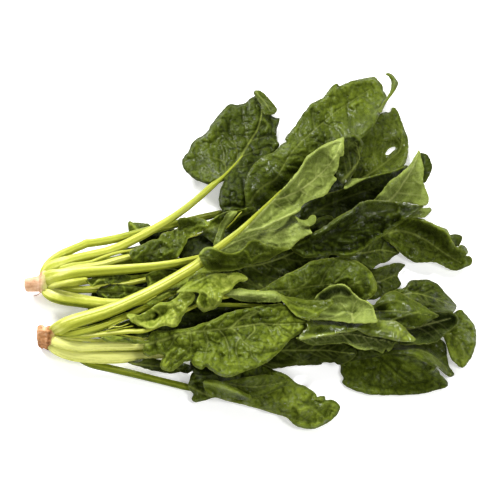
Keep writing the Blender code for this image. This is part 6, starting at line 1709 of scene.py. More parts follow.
blade(N, [(214.6, 247), (213.8, 244), (215, 239), (216.6, 234), (218.4, 229), (221, 223.4), (224.6, 217.4), (228.6, 213), (233, 211.2), (237.4, 211.8), (235.6, 215),
          (232.6, 219), (229.4, 223), (226.8, 227), (225, 231.4), (223.4, 236), (221.4, 241.4), (219.4, 246)], part="narrow_fold", seed=133, side="under", tone=0.50,
      lifts=[(215, 245, 1.4), (222, 226, 3.4), (235, 212, 2.4)], follow=True, loft=1.0, blister=0.4, crumple=0.4, wave=0.3, ruffle=0.2, lime=0.9,
      ridges=[(1.2, 0.9, [(219, 244), (222, 234), (226, 224), (233, 213)])],
      tints=[(0.28, 1.6, [(226, 224), (230, 217), (235, 212.6)]), (-0.10, 2.0, [(217, 240), (220, 231)])])
stem(N, [(221.6, 234, 0.7, 0.6, 1.6), (224.6, 230, 1.0, 0.8, 2.2), (229, 225.6, 1.0, 0.8, 2.2), (234, 220.6, 1.0, 0.8, 2.0), (238, 215.6, 0.9, 0.7, 1.8), (242, 211.6, 0.7, 0.6, 1.4)],
     part="second_margin", tone=0.52, seed=935, foot=10.0, merge=2, ridges=3, sides=10, step=0.7)

N = "upper_leaf_savoy_inner"
stem(N, [(45, 278, 3.4, 2.6, 2.0), (60, 273, 4.2, 3.4, 2.0), (75, 268.6, 4.8, 4.0, 1.0), (90, 266.4, 5.0, 4.2, 0.8), (103, 264.2, 5.0, 4.2, 0.6),
         (115, 260.6, 4.8, 4.0, 0.6), (127, 257.4, 4.4, 3.6, 0.6), (136, 255.6, 3.4, 2.4, 0.4)],
     tone=0.66, seed=48, foot=9.5, merge=12, ridges=6, pale=[(0.2, 0.2, 1.0, 1.4, 0.5)])
blade(N, [(129.4, 252), (131, 250.2), (135, 248), (140, 246), (145, 243.4), (150, 240.4), (154, 239.4), (158, 238.6), (160.4, 236), (163, 233.6), (167, 231.6), (171, 231.2),
          (175, 229.4), (178.6, 227.4), (177.8, 223), (178.4, 219.4), (180.4, 218.2), (186, 217.6), (193, 217.2), (200, 217.8), (204, 219.6), (206, 220.6), (208, 222.6), (209.6, 225.4),
          (206.4, 228.4), (203.6, 229.6), (201.4, 232), (196, 233.6), (190, 236.2), (187.6, 238.6), (185.4, 244), (183, 247.6), (181.4, 251), (177.8, 257.4), (170, 262.4), (160, 265.6), (148, 266.6),
          (136, 264.4), (131.6, 258)],
      rib=[(132, 257), (146, 254), (160, 249), (172, 243), (182, 236), (192, 228), (204, 224.6)], auto={"gap": 5.0, "angle": 52.0}, seed=134, tone=0.36, blister=1.7, cell=4.0,
      lime=0.9, rib_width=0.7, crumple=1.5, vein_pale=0.3,
      lifts=[(131, 252, 2.0), (150, 242, 3.4), (165, 232, 3.4), (180, 219, 2.4), (200, 218, 3.4), (208, 225, 2.6), (196, 233, 1.0), (187, 239, 1.4), (181, 251, 1.8), (170, 262, 0.8),
             (140, 263, 0.8), (150, 254, 4.0), (168, 246, 5.0), (190, 226, 4.4)], follow=True, loft=1.0,
      ridges=[(2.0, 1.0, [(135, 259), (139, 255.4), (144, 251), (147, 247)]), (2.0, 1.5, [(160, 240), (166, 242), (170, 246)]), (1.6, 1.2, [(184, 241), (181, 249), (177, 256)]),
              (1.8, 1.0, [(161, 258), (165, 255), (171, 251.6)]), (1.8, 1.2, [(188, 231), (194, 228), (199, 226), (205, 227)]), (-1.8, 1.6, [(176, 231), (184, 227), (190, 223.6)]),
              (-1.6, 1.6, [(150, 258), (156, 250), (160, 246)]), (1.6, 1.0, [(183, 231), (186, 237)])],
      tints=[(0.34, 1.2, [(187.6, 238.4), (183, 248), (177.4, 257.6)]), (0.34, 1.1, [(187.6, 238), (194, 234), (201.6, 231.4), (209, 225.4), (206, 221)]), (0.22, 3.4, [(190, 232), (198, 229), (205, 226)]),
             (-0.10, 4.0, [(182, 221), (196, 220)]), (-0.14, 3.0, [(148, 252), (155, 259)]), (0.16, 1.6, [(135, 259.6), (141, 254), (145, 251)]), (0.12, 3.0, [(163, 241), (168, 246)]),
             (0.14, 3.0, [(162, 256), (172, 252)]), (-0.12, 3.0, [(156, 250), (160, 246)])])

N = "upper_leaf_heart_lower"
stem(N, [(46, 288, 2.6, 2.0, 0.4), (72, 291, 2.8, 2.0, 0.4), (99, 291.5, 2.4, 1.6, 0.4)], tone=0.5, seed=49, foot=7.0, merge=14, ridges=5, sides=12)
blade(N, [(97, 292), (101, 287.5), (108, 285), (118, 284), (128, 285), (138, 286.5), (149, 288.5), (152, 292), (146, 297), (135, 300), (124, 300.4), (112, 300),
          (103, 298.4)], auto={"gap": 4.0, "angle": 52.0}, seed=135, tone=0.34, crumple=1.6, blister=1.6, cell=3.4, lime=0.6, rib_width=0.6,
      ridges=[(1.6, 0.9, [(102, 294), (107, 298)]), (1.4, 0.9, [(123, 286), (125, 292), (120, 297)])],
      tints=[(0.4, 0.8, [(103, 294), (107, 297.6)]), (0.25, 1.2, [(111, 290), (118, 288)]), (0.25, 1.0, [(124, 287), (125.5, 293), (121, 298)])])
N = "upper_leaf_heart_middle"
stem(N, [(46, 283, 4.0, 2.0, 0.4), (68, 284, 4.6, 2.4, 0.4), (92, 281.6, 2.6, 1.6, 0.4)], tone=0.6, seed=50, foot=7.5, merge=14, ridges=5, sides=12)
blade(N, [(86, 279.6), (90, 278.6), (96, 277), (104, 275), (114, 274.4), (124, 274.6), (131.6, 276.4), (130, 280), (120, 282.4), (110, 283.4), (100, 284.4),
          (93.6, 286), (90, 284.6)], auto={"gap": 3.5, "angle": 50.0}, seed=136, tone=0.42, crumple=1.4, blister=1.5, cell=3.0, lime=0.7, rib_width=0.5,
      ridges=[(1.8, 0.8, [(87, 280.4), (91, 285), (93.6, 285.4), (98, 280.6), (104, 279.4)])],
      tints=[(0.55, 0.9, [(87, 280.4), (91, 285), (93.6, 285.4), (98, 280.6), (104, 279.4)]), (0.35, 0.9, [(113, 276.6), (114.6, 279.6), (112, 282.4)]),
             (0.3, 0.9, [(100, 279), (108, 278.6)]), (-0.3, 2.5, [(106, 279), (122, 278)])])

N = "upper_leaf_heart_middle"
blade(N, [(146.4, 276), (149, 273), (154, 271), (160, 269), (168, 268.6), (176, 269.6), (183, 271.6), (186, 274), (180, 278), (172, 283), (164, 288), (156, 291), (150, 290.6), (147.4, 284)],
      part="between_stalks", seed=137, tone=0.56, blister=1.5, cell=3.4, lime=0.9, crumple=1.2, rib=[(148, 280), (160, 277), (178, 272.4)], auto={"gap": 4.0, "angle": 50.0},
      ridges=[(1.8, 1.0, [(149, 276), (152, 282), (158, 286)]), (1.6, 1.0, [(160, 272), (165, 277), (163, 283)])],
      tints=[(0.3, 1.0, [(148, 277), (151, 284)]), (-0.35, 2.0, [(168, 270), (176, 271)]), (0.2, 1.4, [(160, 273), (166, 278)])])

# ---------------------------------------------------------------- upper side of the heap
N = "upper_leaf_round_tip"
stem(N, [(42.8, 287.8, 2.4, 2.0, 0.8), (44.4, 289.2, 5.6, 3.8, 1.4), (47.4, 291.4, 9.0, 5.2, 2.0), (53, 294.2, 11.0, 6.6, 2.0), (63, 297.4, 11.0, 7.2, 1.6), (78, 300.2, 10.0, 7.2, 1.0),
         (90, 302.0, 9.4, 7.0, 0.8), (104, 303.6, 8.2, 6.6, 0.6), (122, 303, 6.8, 5.2, 0.6), (150, 300, 5.4, 4.0, 0.6), (190, 297, 4.4, 3.2, 0.6), (235, 294.5, 3.8, 2.6, 0.6), (268, 291, 2.6, 1.6, 0.5)],
     tone=0.68, seed=56, foot=7.0, merge=12, ridges=9, depth=0.03, pale=[(0.20, 0.0, 0.10, 1.3, 1.0), (0.10, 0.05, 0.4, 1.0, 0.4), (-0.40, 0.02, 0.26, 2.75, 0.40)])
blade(N, [(258, 292), (266, 287), (273, 282), (285, 275), (300, 268), (310, 262), (320, 259.4), (330, 258), (338, 257), (345, 257), (354, 260), (361, 264),
          (367, 268), (371, 272), (375.3, 282), (376.6, 290), (373.6, 295), (370, 298), (366, 300), (350, 306), (330, 308), (310, 306), (290, 302), (270, 298)],
      rib=[(268, 291), (290, 290), (312, 286), (335, 284), (350, 285), (368, 287)],
      veins=[(0.9, [(286, 298), (292, 292), (300, 287), (308, 281), (314, 274), (321, 266)]), (0.9, [(348, 288), (355, 283), (361, 280), (366, 277)]),
             (0.7, [(291, 290), (288, 280), (286, 275)]), (0.7, [(306, 283), (304, 274), (302, 268)]), (0.6, [(320, 285), (326, 272), (334, 262)]),
             (0.6, [(334, 284), (342, 274), (350, 266)])],
      seed=137, tone=0.35, blister=1.3, cell=5.5, rib_width=0.5, lime=1.0,
      ridges=[(2.0, 2.6, [(366, 270), (371, 279), (372, 290)]), (1.8, 1.0, [(336, 283), (339, 280), (347, 277.4), (351, 278)]), (1.8, 2.2, [(359, 284), (361, 290)]),
              (1.4, 1.5, [(303, 286), (308, 282)]), (-1.2, 2.0, [(366, 280), (365, 292)])],
      tints=[(0.38, 2.0, [(371.5, 275), (374, 282), (374.6, 289), (371, 295)]), (0.16, 2.0, [(358, 286), (362, 291)]), (0.12, 6.0, [(286, 282), (292, 288)]),
             (-0.10, 7.0, [(318, 274), (330, 268)])])

N = "upper_leaf_long_glossy"
stem(N, [(41.8, 281.0, 2.8, 2.2, 0.8), (43.4, 280.4, 7.0, 4.2, 1.6), (46.6, 279.0, 10.6, 5.8, 2.4), (52, 277.0, 11.2, 6.8, 3.0), (62, 275.2, 9.8, 7.0, 3.0), (80, 272.6, 8.0, 7.0, 2.4), (96, 271.2, 7.6, 6.8, 2.0),
         (115, 270.0, 7.2, 6.6, 1.6), (135, 268.4, 6.8, 6.2, 1.4), (155, 266.4, 6.2, 5.8, 1.2), (175, 263.4, 5.6, 5.2, 1.0), (190, 260.4, 5.1, 4.8, 0.9), (200, 258.0, 4.8, 4.4, 0.8),
         (240, 252, 4.2, 3.6, 0.6), (275, 248.6, 3.4, 2.8, 0.5), (298, 246, 2.4, 1.8, 0.4)],
     tone=0.62, seed=57, foot=10.5, merge=10, ridges=6, depth=0.07,
     pale=[(0.50, 0.03, 0.55, 1.10, 0.16), (0.25, 0.03, 0.12, 1.7, 0.25), (0.14, 0.05, 0.5, 0.7, 0.2), (-0.14, 0.08, 1.0, 2.2, 0.5)])
stem(N, [(45, 286.4, 3.0, 2.4, 1.5), (50, 286.2, 4.0, 3.0, 1.6), (60, 284.2, 4.4, 3.2, 1.4), (70, 282, 4.2, 3.0, 1.0), (80, 280, 3.4, 2.4, 0.6), (88, 278.6, 2.4, 1.6, 0.4)], part="sheath",
     tone=0.66, seed=58, foot=8.0, merge=8, ridges=5, sides=18, pale=[(0.2, 0.0, 0.7, 1.4, 0.25)])
blade(N, [(290, 247), (300, 240), (310, 235), (318, 230), (327, 225), (334, 219.6), (341, 215), (351, 210), (357, 205), (365, 201.2), (373, 200), (385, 201),
          (397, 202), (412, 204.6), (423.6, 206), (418, 211), (412, 215), (402, 222), (392, 229), (382, 236), (369, 245), (359, 252), (351, 256.2),
          (341, 256.4), (333, 254.2), (320, 256), (304, 257)],
      rib=[(296, 248), (318, 241), (340, 232), (361, 223), (382, 214), (402, 209.6), (422, 206.6)],
      veins=[(0.7, [(326, 238), (330, 230), (338, 222)]), (0.7, [(345, 230), (349, 221), (356, 212)]), (0.6, [(363, 222), (369, 213), (378, 206)]),
             (0.6, [(318, 241), (328, 246), (338, 252)]), (0.6, [(338, 233), (350, 238), (358, 246)]), (0.6, [(358, 225), (369, 229), (378, 236)]),
             (0.5, [(378, 216), (390, 220), (398, 223)])],
      seed=138, tone=0.25, press=[(4.6, [(360, 210), (374, 207.4), (392, 207.4)])], blister=1.2, cell=5.0, wave=0.7, rib_width=0.6, lime=0.6, vein_pale=0.05, vein_dark=0.16, crumple=1.5, auto={"gap": 8.0, "angle": 45.0},
      wets=[(1.6, 6.4, [(359, 212), (370, 207.4), (383, 205.4), (396, 206)]), (1.2, 2.6, [(318, 238), (328, 232), (338, 225), (346, 219)]), (0.5, 2.2, [(344, 241), (356, 240), (368, 236)]),
            (0.8, 1.4, [(345, 247.6), (349, 247.6)]), (0.3, 2.0, [(364, 244), (382, 232), (398, 222)])],
      ridges=[(2.4, 1.6, [(312, 236.6), (325, 230.6), (334, 224), (342, 218), (352, 213.6), (360, 208)]), (-2.0, 2.4, [(318, 240), (335, 231), (350, 223), (362, 216)]),
              (2.0, 5.0, [(362, 208), (380, 206), (396, 208)]), (1.6, 1.5, [(344, 243), (354, 240), (363, 237)]), (1.2, 1.0, [(347, 247), (350, 246.4)]),
              (1.6, 1.5, [(335, 253), (346, 255), (358, 251), (372, 242), (390, 229.6), (404, 219.6)])],
      tints=[(0.10, 3.0, [(316, 234), (330, 227), (345, 216)]), (0.26, 6.0, [(364, 208), (380, 206), (394, 208)]), (0.15, 1.3, [(340, 255), (356, 252), (382, 235), (404, 220)]),
             (-0.08, 5.0, [(330, 244), (344, 238)])])

# ---------------------------------------------------------------- lower plant, middle of the heap
N = "lower_leaf_savoy_large"
stem(N, [(50.6, 337.4, 2.6, 2.0, 0.8), (52.2, 338.2, 5.6, 3.8, 1.4), (55, 339.6, 8.2, 5.0, 2.0), (62, 342, 8.8, 5.6, 2.0), (74, 345.2, 7.8, 5.8, 1.6), (86, 346.6, 7.2, 5.8, 1.2), (100, 345.9, 7.2, 5.8, 1.0), (120, 345.4, 7.2, 5.6, 0.8),
         (138, 345.0, 6.8, 5.2, 0.6), (150, 344, 5.2, 3.6, 0.4), (162, 341.4, 3.4, 2.2, 0.3)],
     tone=1.0, seed=59, foot=9.5, merge=10, ridges=10, depth=0.09, pale=[(0.35, 0.02, 1.0, 1.55, 0.16), (0.25, 0.04, 0.8, 1.05, 0.14), (-0.10, 0.2, 1.0, 1.3, 0.08), (-0.12, 0.1, 1.0, 2.0, 0.12)])
stem(N, [(53, 336, 2.2, 2.0, 1.4), (60, 336.6, 3.0, 2.4, 1.6), (72, 338.6, 3.0, 2.4, 1.0), (85, 339.6, 2.8, 2.2, 0.6), (100, 340, 2.6, 2.0, 0.5), (120, 339.8, 2.4, 1.8, 0.4), (140, 339.2, 2.2, 1.6, 0.4), (150, 338, 1.8, 1.2, 0.4)],
     part="side_rib", tone=0.66, seed=60, foot=10.0, merge=8, ridges=4, sides=14, pale=[(0.2, 0.0, 1.0, 1.7, 0.6)])
blade(N, [(143.6, 353), (144, 347), (146, 341), (148.6, 337), (153, 331.6), (158, 330), (165, 330.6), (178, 329), (190, 327.6), (200, 324.4), (212, 320),
          (221, 315.5), (230, 312), (240, 309.4), (250, 308), (260, 306), (270, 304.6), (276, 303.8), (282, 303.4), (287, 307), (292, 312), (300, 317),
          (306, 319.4), (308.8, 322.4), (304.6, 328.6), (298, 334), (290, 339), (286, 343.6), (282, 348), (275, 355), (267, 362), (260, 365), (250, 368.6),
          (241, 372), (231, 375.5), (222, 375), (215, 372), (208, 367.2), (206, 366), (203, 368.6), (197, 367), (194, 364.6), (190.6, 360.4), (187, 361),
          (183, 362.2), (178, 366.6), (173, 370.2), (168, 370.6), (163, 369), (161, 365), (162, 360), (164, 355.5), (160, 353.6), (154, 355), (149, 356)],
      rib=[(146, 344), (162, 340), (178, 334.6), (192, 331.6), (205, 330.5), (218, 329), (231, 327.6), (245, 325.6), (260, 323.5), (275, 324), (290, 323.6), (304, 323)],
      veins=[(1.3, [(231, 327.6), (236, 322.5), (241, 318.6), (249, 316.6), (256, 312.5), (261, 309)]), (1.1, [(241, 318.6), (247, 314), (254, 310.6), (259.6, 309)]),
             (1.2, [(231, 327.6), (236, 331), (240, 336), (243, 341)]), (0.9, [(254, 325), (254.6, 330), (249, 336), (245, 340.5)]), (0.9, [(262, 323.5), (267, 325.6), (269, 329), (272, 336)]),
             (1.0, [(203, 330.6), (206, 326.6), (211, 322), (219, 317)]), (0.8, [(218, 329), (222, 322), (226, 318.5)]), (0.8, [(218, 329), (224, 335), (228, 345), (230, 358)]),
             (0.7, [(205, 331), (208, 340), (206, 352), (203, 362)]), (0.7, [(190, 332), (192, 342), (186, 352), (176, 362)]), (0.7, [(176, 335), (172, 344), (166, 350)]),
             (0.6, [(243, 341), (250, 346), (262, 350), (275, 350)]), (0.6, [(240, 336), (236, 346), (238, 358), (240, 368)]), (0.6, [(276, 324), (284, 330), (292, 335)]),
             (0.6, [(276, 324), (284, 317), (291, 313)]), (0.5, [(272, 336), (278, 343), (281, 347)]), (0.5, [(250, 346), (252, 356), (258, 363)])],
      seed=139, tone=0.48, blister=2.6, cell=5.4, rib_width=1.0, lime=0.8, ruffle=1.4, vein_pale=1.1, crumple=2.2, thick=0.36, vein_dark=0.12,
      wets=[(0.3, 2.4, [(200, 352), (212, 358), (226, 362)]), (0.3, 2.4, [(170, 360), (176, 352)]), (0.25, 2.4, [(262, 318), (276, 312)]), (0.3, 2.0, [(232, 330), (240, 340)])],
      ridges=[(2.6, 1.0, [(238, 334), (238.6, 341), (243, 347), (251, 350.6), (264, 350.6), (278, 346)], "step"), (2.0, 1.4, [(166, 366), (171, 360), (179, 354), (186, 351)]),
              (1.8, 1.2, [(164, 362), (168, 355), (176, 348)]), (-2.0, 1.4, [(166, 350), (164, 344), (170, 338), (174, 333)]), (1.5, 1.8, [(196, 358), (206, 362), (214, 352)]),
              (2.0, 2.5, [(150, 336), (156, 342), (163, 348)]), (-1.6, 1.5, [(190, 352), (204, 350), (212, 344)]), (1.6, 1.8, [(212, 345), (224, 352)]),
              (-2.0, 1.4, [(191, 360), (194, 352), (192, 346)]), (1.5, 1.3, [(242, 306), (256, 312)])],
      tints=[(0.12, 12.0, [(270, 345), (292, 330)]), (0.10, 14.0, [(175, 345), (205, 350)]), (0.20, 3.0, [(166, 364), (174, 357)]), (-0.16, 6.0, [(246, 318), (262, 316)]),
             (-0.14, 5.0, [(246, 334), (258, 332)]), (-0.10, 5.0, [(222, 336), (232, 345)]), (0.12, 6.0, [(282, 312), (298, 322)]), (-0.14, 3.0, [(165, 346), (172, 336)]),
             (-0.12, 4.0, [(196, 349), (210, 346)]), (0.10, 4.0, [(230, 364), (244, 362)])])

N = "lower_leaf_arched"
stem(N, [(54, 334, 3.0, 2.4, 1.4), (62, 334.6, 3.6, 3.0, 1.6), (72, 335, 4.0, 3.2, 1.2), (86, 335.6, 4.0, 3.2, 0.8), (100, 334, 3.9, 3.2, 0.6), (115, 332.4, 3.7, 3.0, 0.5), (130, 331, 3.5, 2.8, 0.5),
         (145, 330.4, 3.2, 2.6, 0.4), (165, 322, 3.0, 2.4, 0.4), (190, 308, 3.0, 2.2, 0.4), (212, 299, 3.2, 2.2, 0.4), (230, 296, 3.0, 2.0, 0.4)],
     tone=0.64, seed=61, foot=10.0, merge=10, ridges=6, sides=20, pale=[(0.25, 0.05, 0.5, 1.8, 0.4)])
blade(N, [(296, 337.5), (305, 336), (315, 334.2), (331, 332), (341, 330), (360, 328), (376, 331), (390, 336), (396.4, 340), (393, 344), (391, 347.5), (387.6, 351),
          (385, 349), (382, 352), (377, 350.4), (372, 349), (363, 349.6), (353, 346.6), (347, 343.4), (340, 342.8), (331, 343.2), (320, 344.6), (312, 344.6), (303, 341)],
      part="lower_lobe", seed=140, side="under", tone=0.30, lifts=[(300, 338, 2), (330, 331, 3), (360, 328, 4), (394, 338, 3), (385, 350, 1.5), (350, 345, 1.5), (310, 343, 1)],
      loft=1.6, rib=[(302, 338), (330, 335), (350, 334), (372, 338), (392, 342)], auto={"gap": 8.0, "angle": 50.0}, blister=0.6, rib_width=0.5, lime=0.7,
      ridges=[(1.6, 1.2, [(341, 333.6), (346, 339), (352, 345), (363, 349), (376, 347)])], tints=[(-0.14, 5.0, [(350, 336), (372, 336), (388, 338)]), (0.15, 1.5, [(353, 346), (366, 348.6)])])
blade(N, [(299, 338.6), (299.6, 335.6), (303, 331), (306.4, 327), (306.6, 321.6), (310, 320), (320, 319.4), (335, 319.6), (350, 320), (365, 319.6), (377, 319.6), (386, 320.8),
          (394, 320.6), (397.6, 322), (402.4, 326), (408, 332.6), (414.4, 339), (412, 341.4), (405, 341), (396, 340.4), (385, 337.4), (376, 336), (369, 335), (363, 332.6),
          (357, 330), (350, 331.4), (341, 332.4), (331, 334.6), (315, 337)],
      part="roll", seed=141, tone=0.50, gloss=1.0, lifts=[(302, 336, 1.5), (306, 323, 2.5), (330, 320, 2.0), (330, 328, 4.4), (352, 322, 3.0), (372, 321, 2.6), (372, 330, 5.0), (398, 324, 3.5),
                                               (395, 334, 4.6), (413, 340, 2.6), (340, 332, 1.5), (366, 334, 1.8), (390, 338, 2.0)], follow=True, loft=1.0,
      rib=[(300, 338), (315, 335.6), (331, 333.2), (341, 331.4), (356, 329.4)], rib_width=1.0, blister=0.5, wave=0.4, lime=0.9,
      veins=[(0.5, [(356, 329), (372, 328), (390, 330)]), (0.5, [(390, 330), (394, 337)]), (0.5, [(397, 328), (399, 338)])],
      ridges=[(2.2, 2.6, [(308, 326), (320, 325), (335, 325.6), (346, 328)]), (-2.4, 1.4, [(347, 330), (347, 326), (350, 322)]), (2.0, 3.0, [(354, 327), (370, 327), (388, 329), (400, 332)]),
              (1.2, 0.9, [(393, 332), (392.6, 338)]), (1.2, 0.9, [(398, 331), (397.6, 338)]), (1.4, 1.2, [(315, 327), (321, 324.6)]), (1.4, 1.0, [(352, 329), (358, 327.4)]),
              (1.2, 1.0, [(380, 330), (387, 331.6)]), (-1.4, 2.0, [(320, 331), (334, 330)])],
      tints=[(0.12, 4.0, [(364, 324), (382, 325), (398, 328)]), (0.18, 2.5, [(398, 333), (408, 337)]), (-0.22, 2.6, [(316, 331), (330, 330), (344, 329)]), (-0.2, 2.0, [(306, 327), (303, 333)]),
             (0.25, 1.0, [(300, 337.6), (315, 335.4), (331, 333), (341, 331.2)])])
blade(N, [(313.4, 301), (314.6, 298), (316.4, 295.4), (320, 292), (325, 288.4), (329, 286.2), (333.4, 284.8), (338, 284), (342, 284), (345, 285.2), (349, 288), (352, 291.6),
          (355, 294.6), (358, 297), (361.6, 299.6), (365, 300.6), (368.6, 302.4), (371.4, 305), (373.2, 309), (374.6, 313.6), (376.8, 321.4), (366, 322.6), (350, 322.6),
          (336, 320.6), (322, 319.4), (311, 319.4), (310.4, 316.8), (316, 312), (326, 306), (331, 302)],
      part="arch", seed=142, side="under", tone=0.72, lifts=[(314, 300, 2.5), (329, 287, 6.0), (343, 285, 7.5), (352, 292, 8.0), (366, 301, 7.5), (374, 312, 6.0), (376, 320, 4.5),
                                                            (350, 320, 2.5), (325, 318, 1.5), (333, 296, 3.0), (346, 293, 3.4), (345, 306, 6.0), (358, 309, 7.0), (330, 308, 3.4)],
      follow=True, loft=0.9, rib=[(352, 321), (352, 310), (356, 300)], rib_width=0.7, auto={"gap": 6.0, "angle": 55.0}, blister=0.5, lime=1.0,
      ridges=[(1.8, 1.1, [(315, 298), (320, 292.6), (329, 287), (338, 285), (345, 286), (352, 292.6), (359, 298.6), (366, 301.6), (372, 307), (375, 317)]),
              (2.0, 1.1, [(329, 300), (333, 297), (338, 295.6), (344, 296.4), (351, 296.6)]), (-2.6, 2.6, [(322, 295), (332, 290.6), (341, 289.6), (349, 293)]),
              (1.6, 1.0, [(311, 317.6), (320, 317.4), (331, 316.4), (338, 314.4), (343, 312.6), (350, 313.2), (353, 318)]), (-1.2, 1.8, [(331, 310), (336, 312)])],
      tints=[(-0.58, 3.4, [(322, 296), (332, 291), (341, 290), (348, 293)]), (-0.30, 4.0, [(322, 300), (330, 304)]), (0.16, 1.2, [(329, 300), (333, 296.6), (338, 295.4), (346, 296.4)]),
             (0.18, 1.2, [(316, 297), (320, 292.6), (329, 287), (338, 285), (345, 286), (352, 292.6), (359, 298.6)]), (-0.18, 4.0, [(322, 313), (334, 310)]),
             (0.14, 1.1, [(311, 317.6), (320, 317.4), (331, 316.4), (338, 314.4), (343, 312.6)]), (-0.25, 2.4, [(343, 316.6), (350, 317.6)]), (0.06, 6.0, [(356, 304), (364, 312)])])
blade(N, [(268, 292), (274.4, 290.8), (280, 294), (286, 296.4), (294, 297.6), (302, 299.4), (314, 300.4), (324, 300.2), (331, 299.4), (333.4, 301), (332.6, 304.4), (328.6, 307.6),
          (323, 310.4), (320.4, 312.4), (318, 316), (311, 318), (309.4, 320), (304, 318.6), (300, 317.4), (294.6, 314), (290, 309.4), (284, 302.6), (278, 296.4)],
      part="side", seed=143, tone=0.47, lifts=[(272, 292, 1.6), (286, 297, 2.6), (310, 301, 3.0), (331, 301, 4.5), (322, 311, 3.4), (309, 318, 1.0), (290, 309, 0.8), (305, 309, 3.6)],
      follow=True, loft=1.0, blister=0.7, cell=4.5, lime=1.0, rib=[(276, 293), (290, 301), (304, 306), (322, 306)], rib_width=0.5, auto={"gap": 7.0, "angle": 45.0},
      ridges=[(2.0, 1.2, [(291, 305.6), (297, 308), (304, 309), (311, 311.6), (317, 312.6)]), (1.6, 1.1, [(320, 311.6), (326, 308.4), (331.6, 304.4)])],
      tints=[(0.16, 1.4, [(293, 306.6), (300, 308.6), (316, 312.4)]), (-0.14, 3.0, [(300, 314), (308, 316)]), (0.3, 1.0, [(274, 291.6), (282, 299.6), (290, 308.6), (300, 316.8)])])
blade(N, [(225.6, 294), (228, 291.6), (232, 290), (237, 288.8), (244, 288.6), (250, 289.6), (260, 290.8), (268, 290.6), (274.6, 290.6), (278, 294), (282, 299), (279.6, 301.2),
          (272, 301.8), (262, 301.8), (252, 301.6), (244, 301), (237, 299.4), (229.6, 297)],
      part="rolled_base", seed=144, side="under", tone=0.68, lifts=[(226, 294, 3.0), (237, 289, 2.6), (274, 291, 2.4), (281, 299, 1.0), (250, 301, 0.6), (230, 297, 1.4), (240, 294, 5.6),
                                                                    (256, 295, 5.8), (272, 296, 4.6)], follow=True, loft=1.0, blister=0.35, ruffle=0.3, wave=0.3, lime=0.6,
      rib=[(226, 294), (250, 296), (276, 298)], rib_width=0.4, veins=[(0.5, [(240, 290), (244, 300)]), (0.5, [(256, 291), (260, 301)])],
      ridges=[(2.0, 2.6, [(230, 293), (245, 294), (262, 295), (276, 296)])], tints=[(0.14, 2.4, [(234, 292.6), (250, 292), (268, 293)]), (-0.26, 1.8, [(238, 299), (256, 301), (276, 301)])])

N = "lower_leaf_curly_inner"
stem(N, [(54, 333.6, 3.4, 2.8, 2.6), (62, 333.6, 4.2, 3.4, 2.6), (72, 333.4, 4.8, 3.8, 2.0), (90, 329.6, 5.0, 4.0, 1.4), (105, 325, 5.0, 4.0, 1.0), (120, 319, 4.8, 3.8, 0.9),
         (135, 312, 4.4, 3.4, 0.8), (150, 305.4, 4.0, 3.0, 0.8), (165, 298.4, 3.6, 2.6, 0.7), (178, 292.4, 3.0, 2.0, 0.6), (190, 290, 2.2, 1.4, 0.4)],
     tone=0.46, seed=62, foot=10.5, merge=10, ridges=6, sides=22, pale=[(0.15, 0.1, 1.0, 1.9, 0.4), (-0.2, 0.1, 1.0, 0.5, 0.5)])
blade(N, [(146, 303.4), (152, 299), (158, 295.4), (166, 290.4), (175, 285), (184, 279.4), (193, 273.4), (200, 268.6), (205, 267.4), (210, 270), (213, 272.6), (206, 277), (198, 281), (190, 285.6),
          (180, 291), (170, 295.6), (160, 300.4), (150, 305.6)], part="crinkled_strip", seed=148, tone=0.66, blister=1.6, cell=3.2, lime=0.9, crumple=1.2,
      lifts=[(148, 303, 2.0), (175, 287, 3.0), (205, 269, 3.2), (195, 282, 3.0), (165, 297, 2.0)], follow=True, loft=1.0,
      rib=[(150, 302), (170, 290), (190, 279), (206, 271)], auto={"gap": 4.0, "angle": 55.0}, rib_width=0.5,
      ridges=[(1.8, 1.0, [(158, 297), (164, 294), (170, 291)]), (1.6, 1.2, [(180, 285), (187, 282), (193, 278)])],
      tints=[(0.25, 1.2, [(155, 299), (168, 292)]), (0.2, 1.6, [(186, 280), (198, 272)]), (-0.2, 1.4, [(172, 291), (186, 283)])])
blade(N, [(168, 300), (176, 294), (186, 288), (196, 282), (206, 278), (216, 276), (220, 282), (214, 292), (204, 300), (192, 306), (180, 310), (170, 308)], part="inner_shade", seed=149,
      tone=0.22, blister=1.2, cell=3.6, lime=0.4, crumple=1.2, lifts=[(170, 302, 1.0), (190, 290, 1.2), (212, 280, 1.4), (200, 298, 1.0)], loft=1.0, spring=2.0)
for k, (pts, tone_here) in enumerate([([(98, 331, 1.0, 0.9, 1.2), (108, 327.4, 1.1, 0.9, 1.4), (120, 322, 1.0, 0.8, 1.4), (128, 318.6, 0.8, 0.6, 1.2)], 0.5),
                                      ([(92, 333.6, 1.0, 0.9, 1.2), (104, 331.6, 1.2, 1.0, 1.4), (118, 328.6, 1.1, 0.9, 1.4), (134, 325.6, 0.9, 0.7, 1.0)], 0.55),
                                      ([(106, 330.6, 0.9, 0.8, 1.8), (113, 326.6, 1.0, 0.8, 2.2), (120, 326.4, 0.9, 0.7, 1.8), (130, 323, 0.7, 0.6, 1.2)], 0.6),
                                      ([(112, 333, 0.9, 0.8, 1.8), (122, 334.6, 1.1, 0.9, 2.2), (134, 336.6, 1.1, 0.8, 1.8), (144, 338, 0.8, 0.6, 1.2)], 0.6)]):
    stem(N, pts, part="strand%d" % (k + 1), tone=tone_here, seed=70 + k, foot=7.0, merge=3, ridges=3, sides=8)
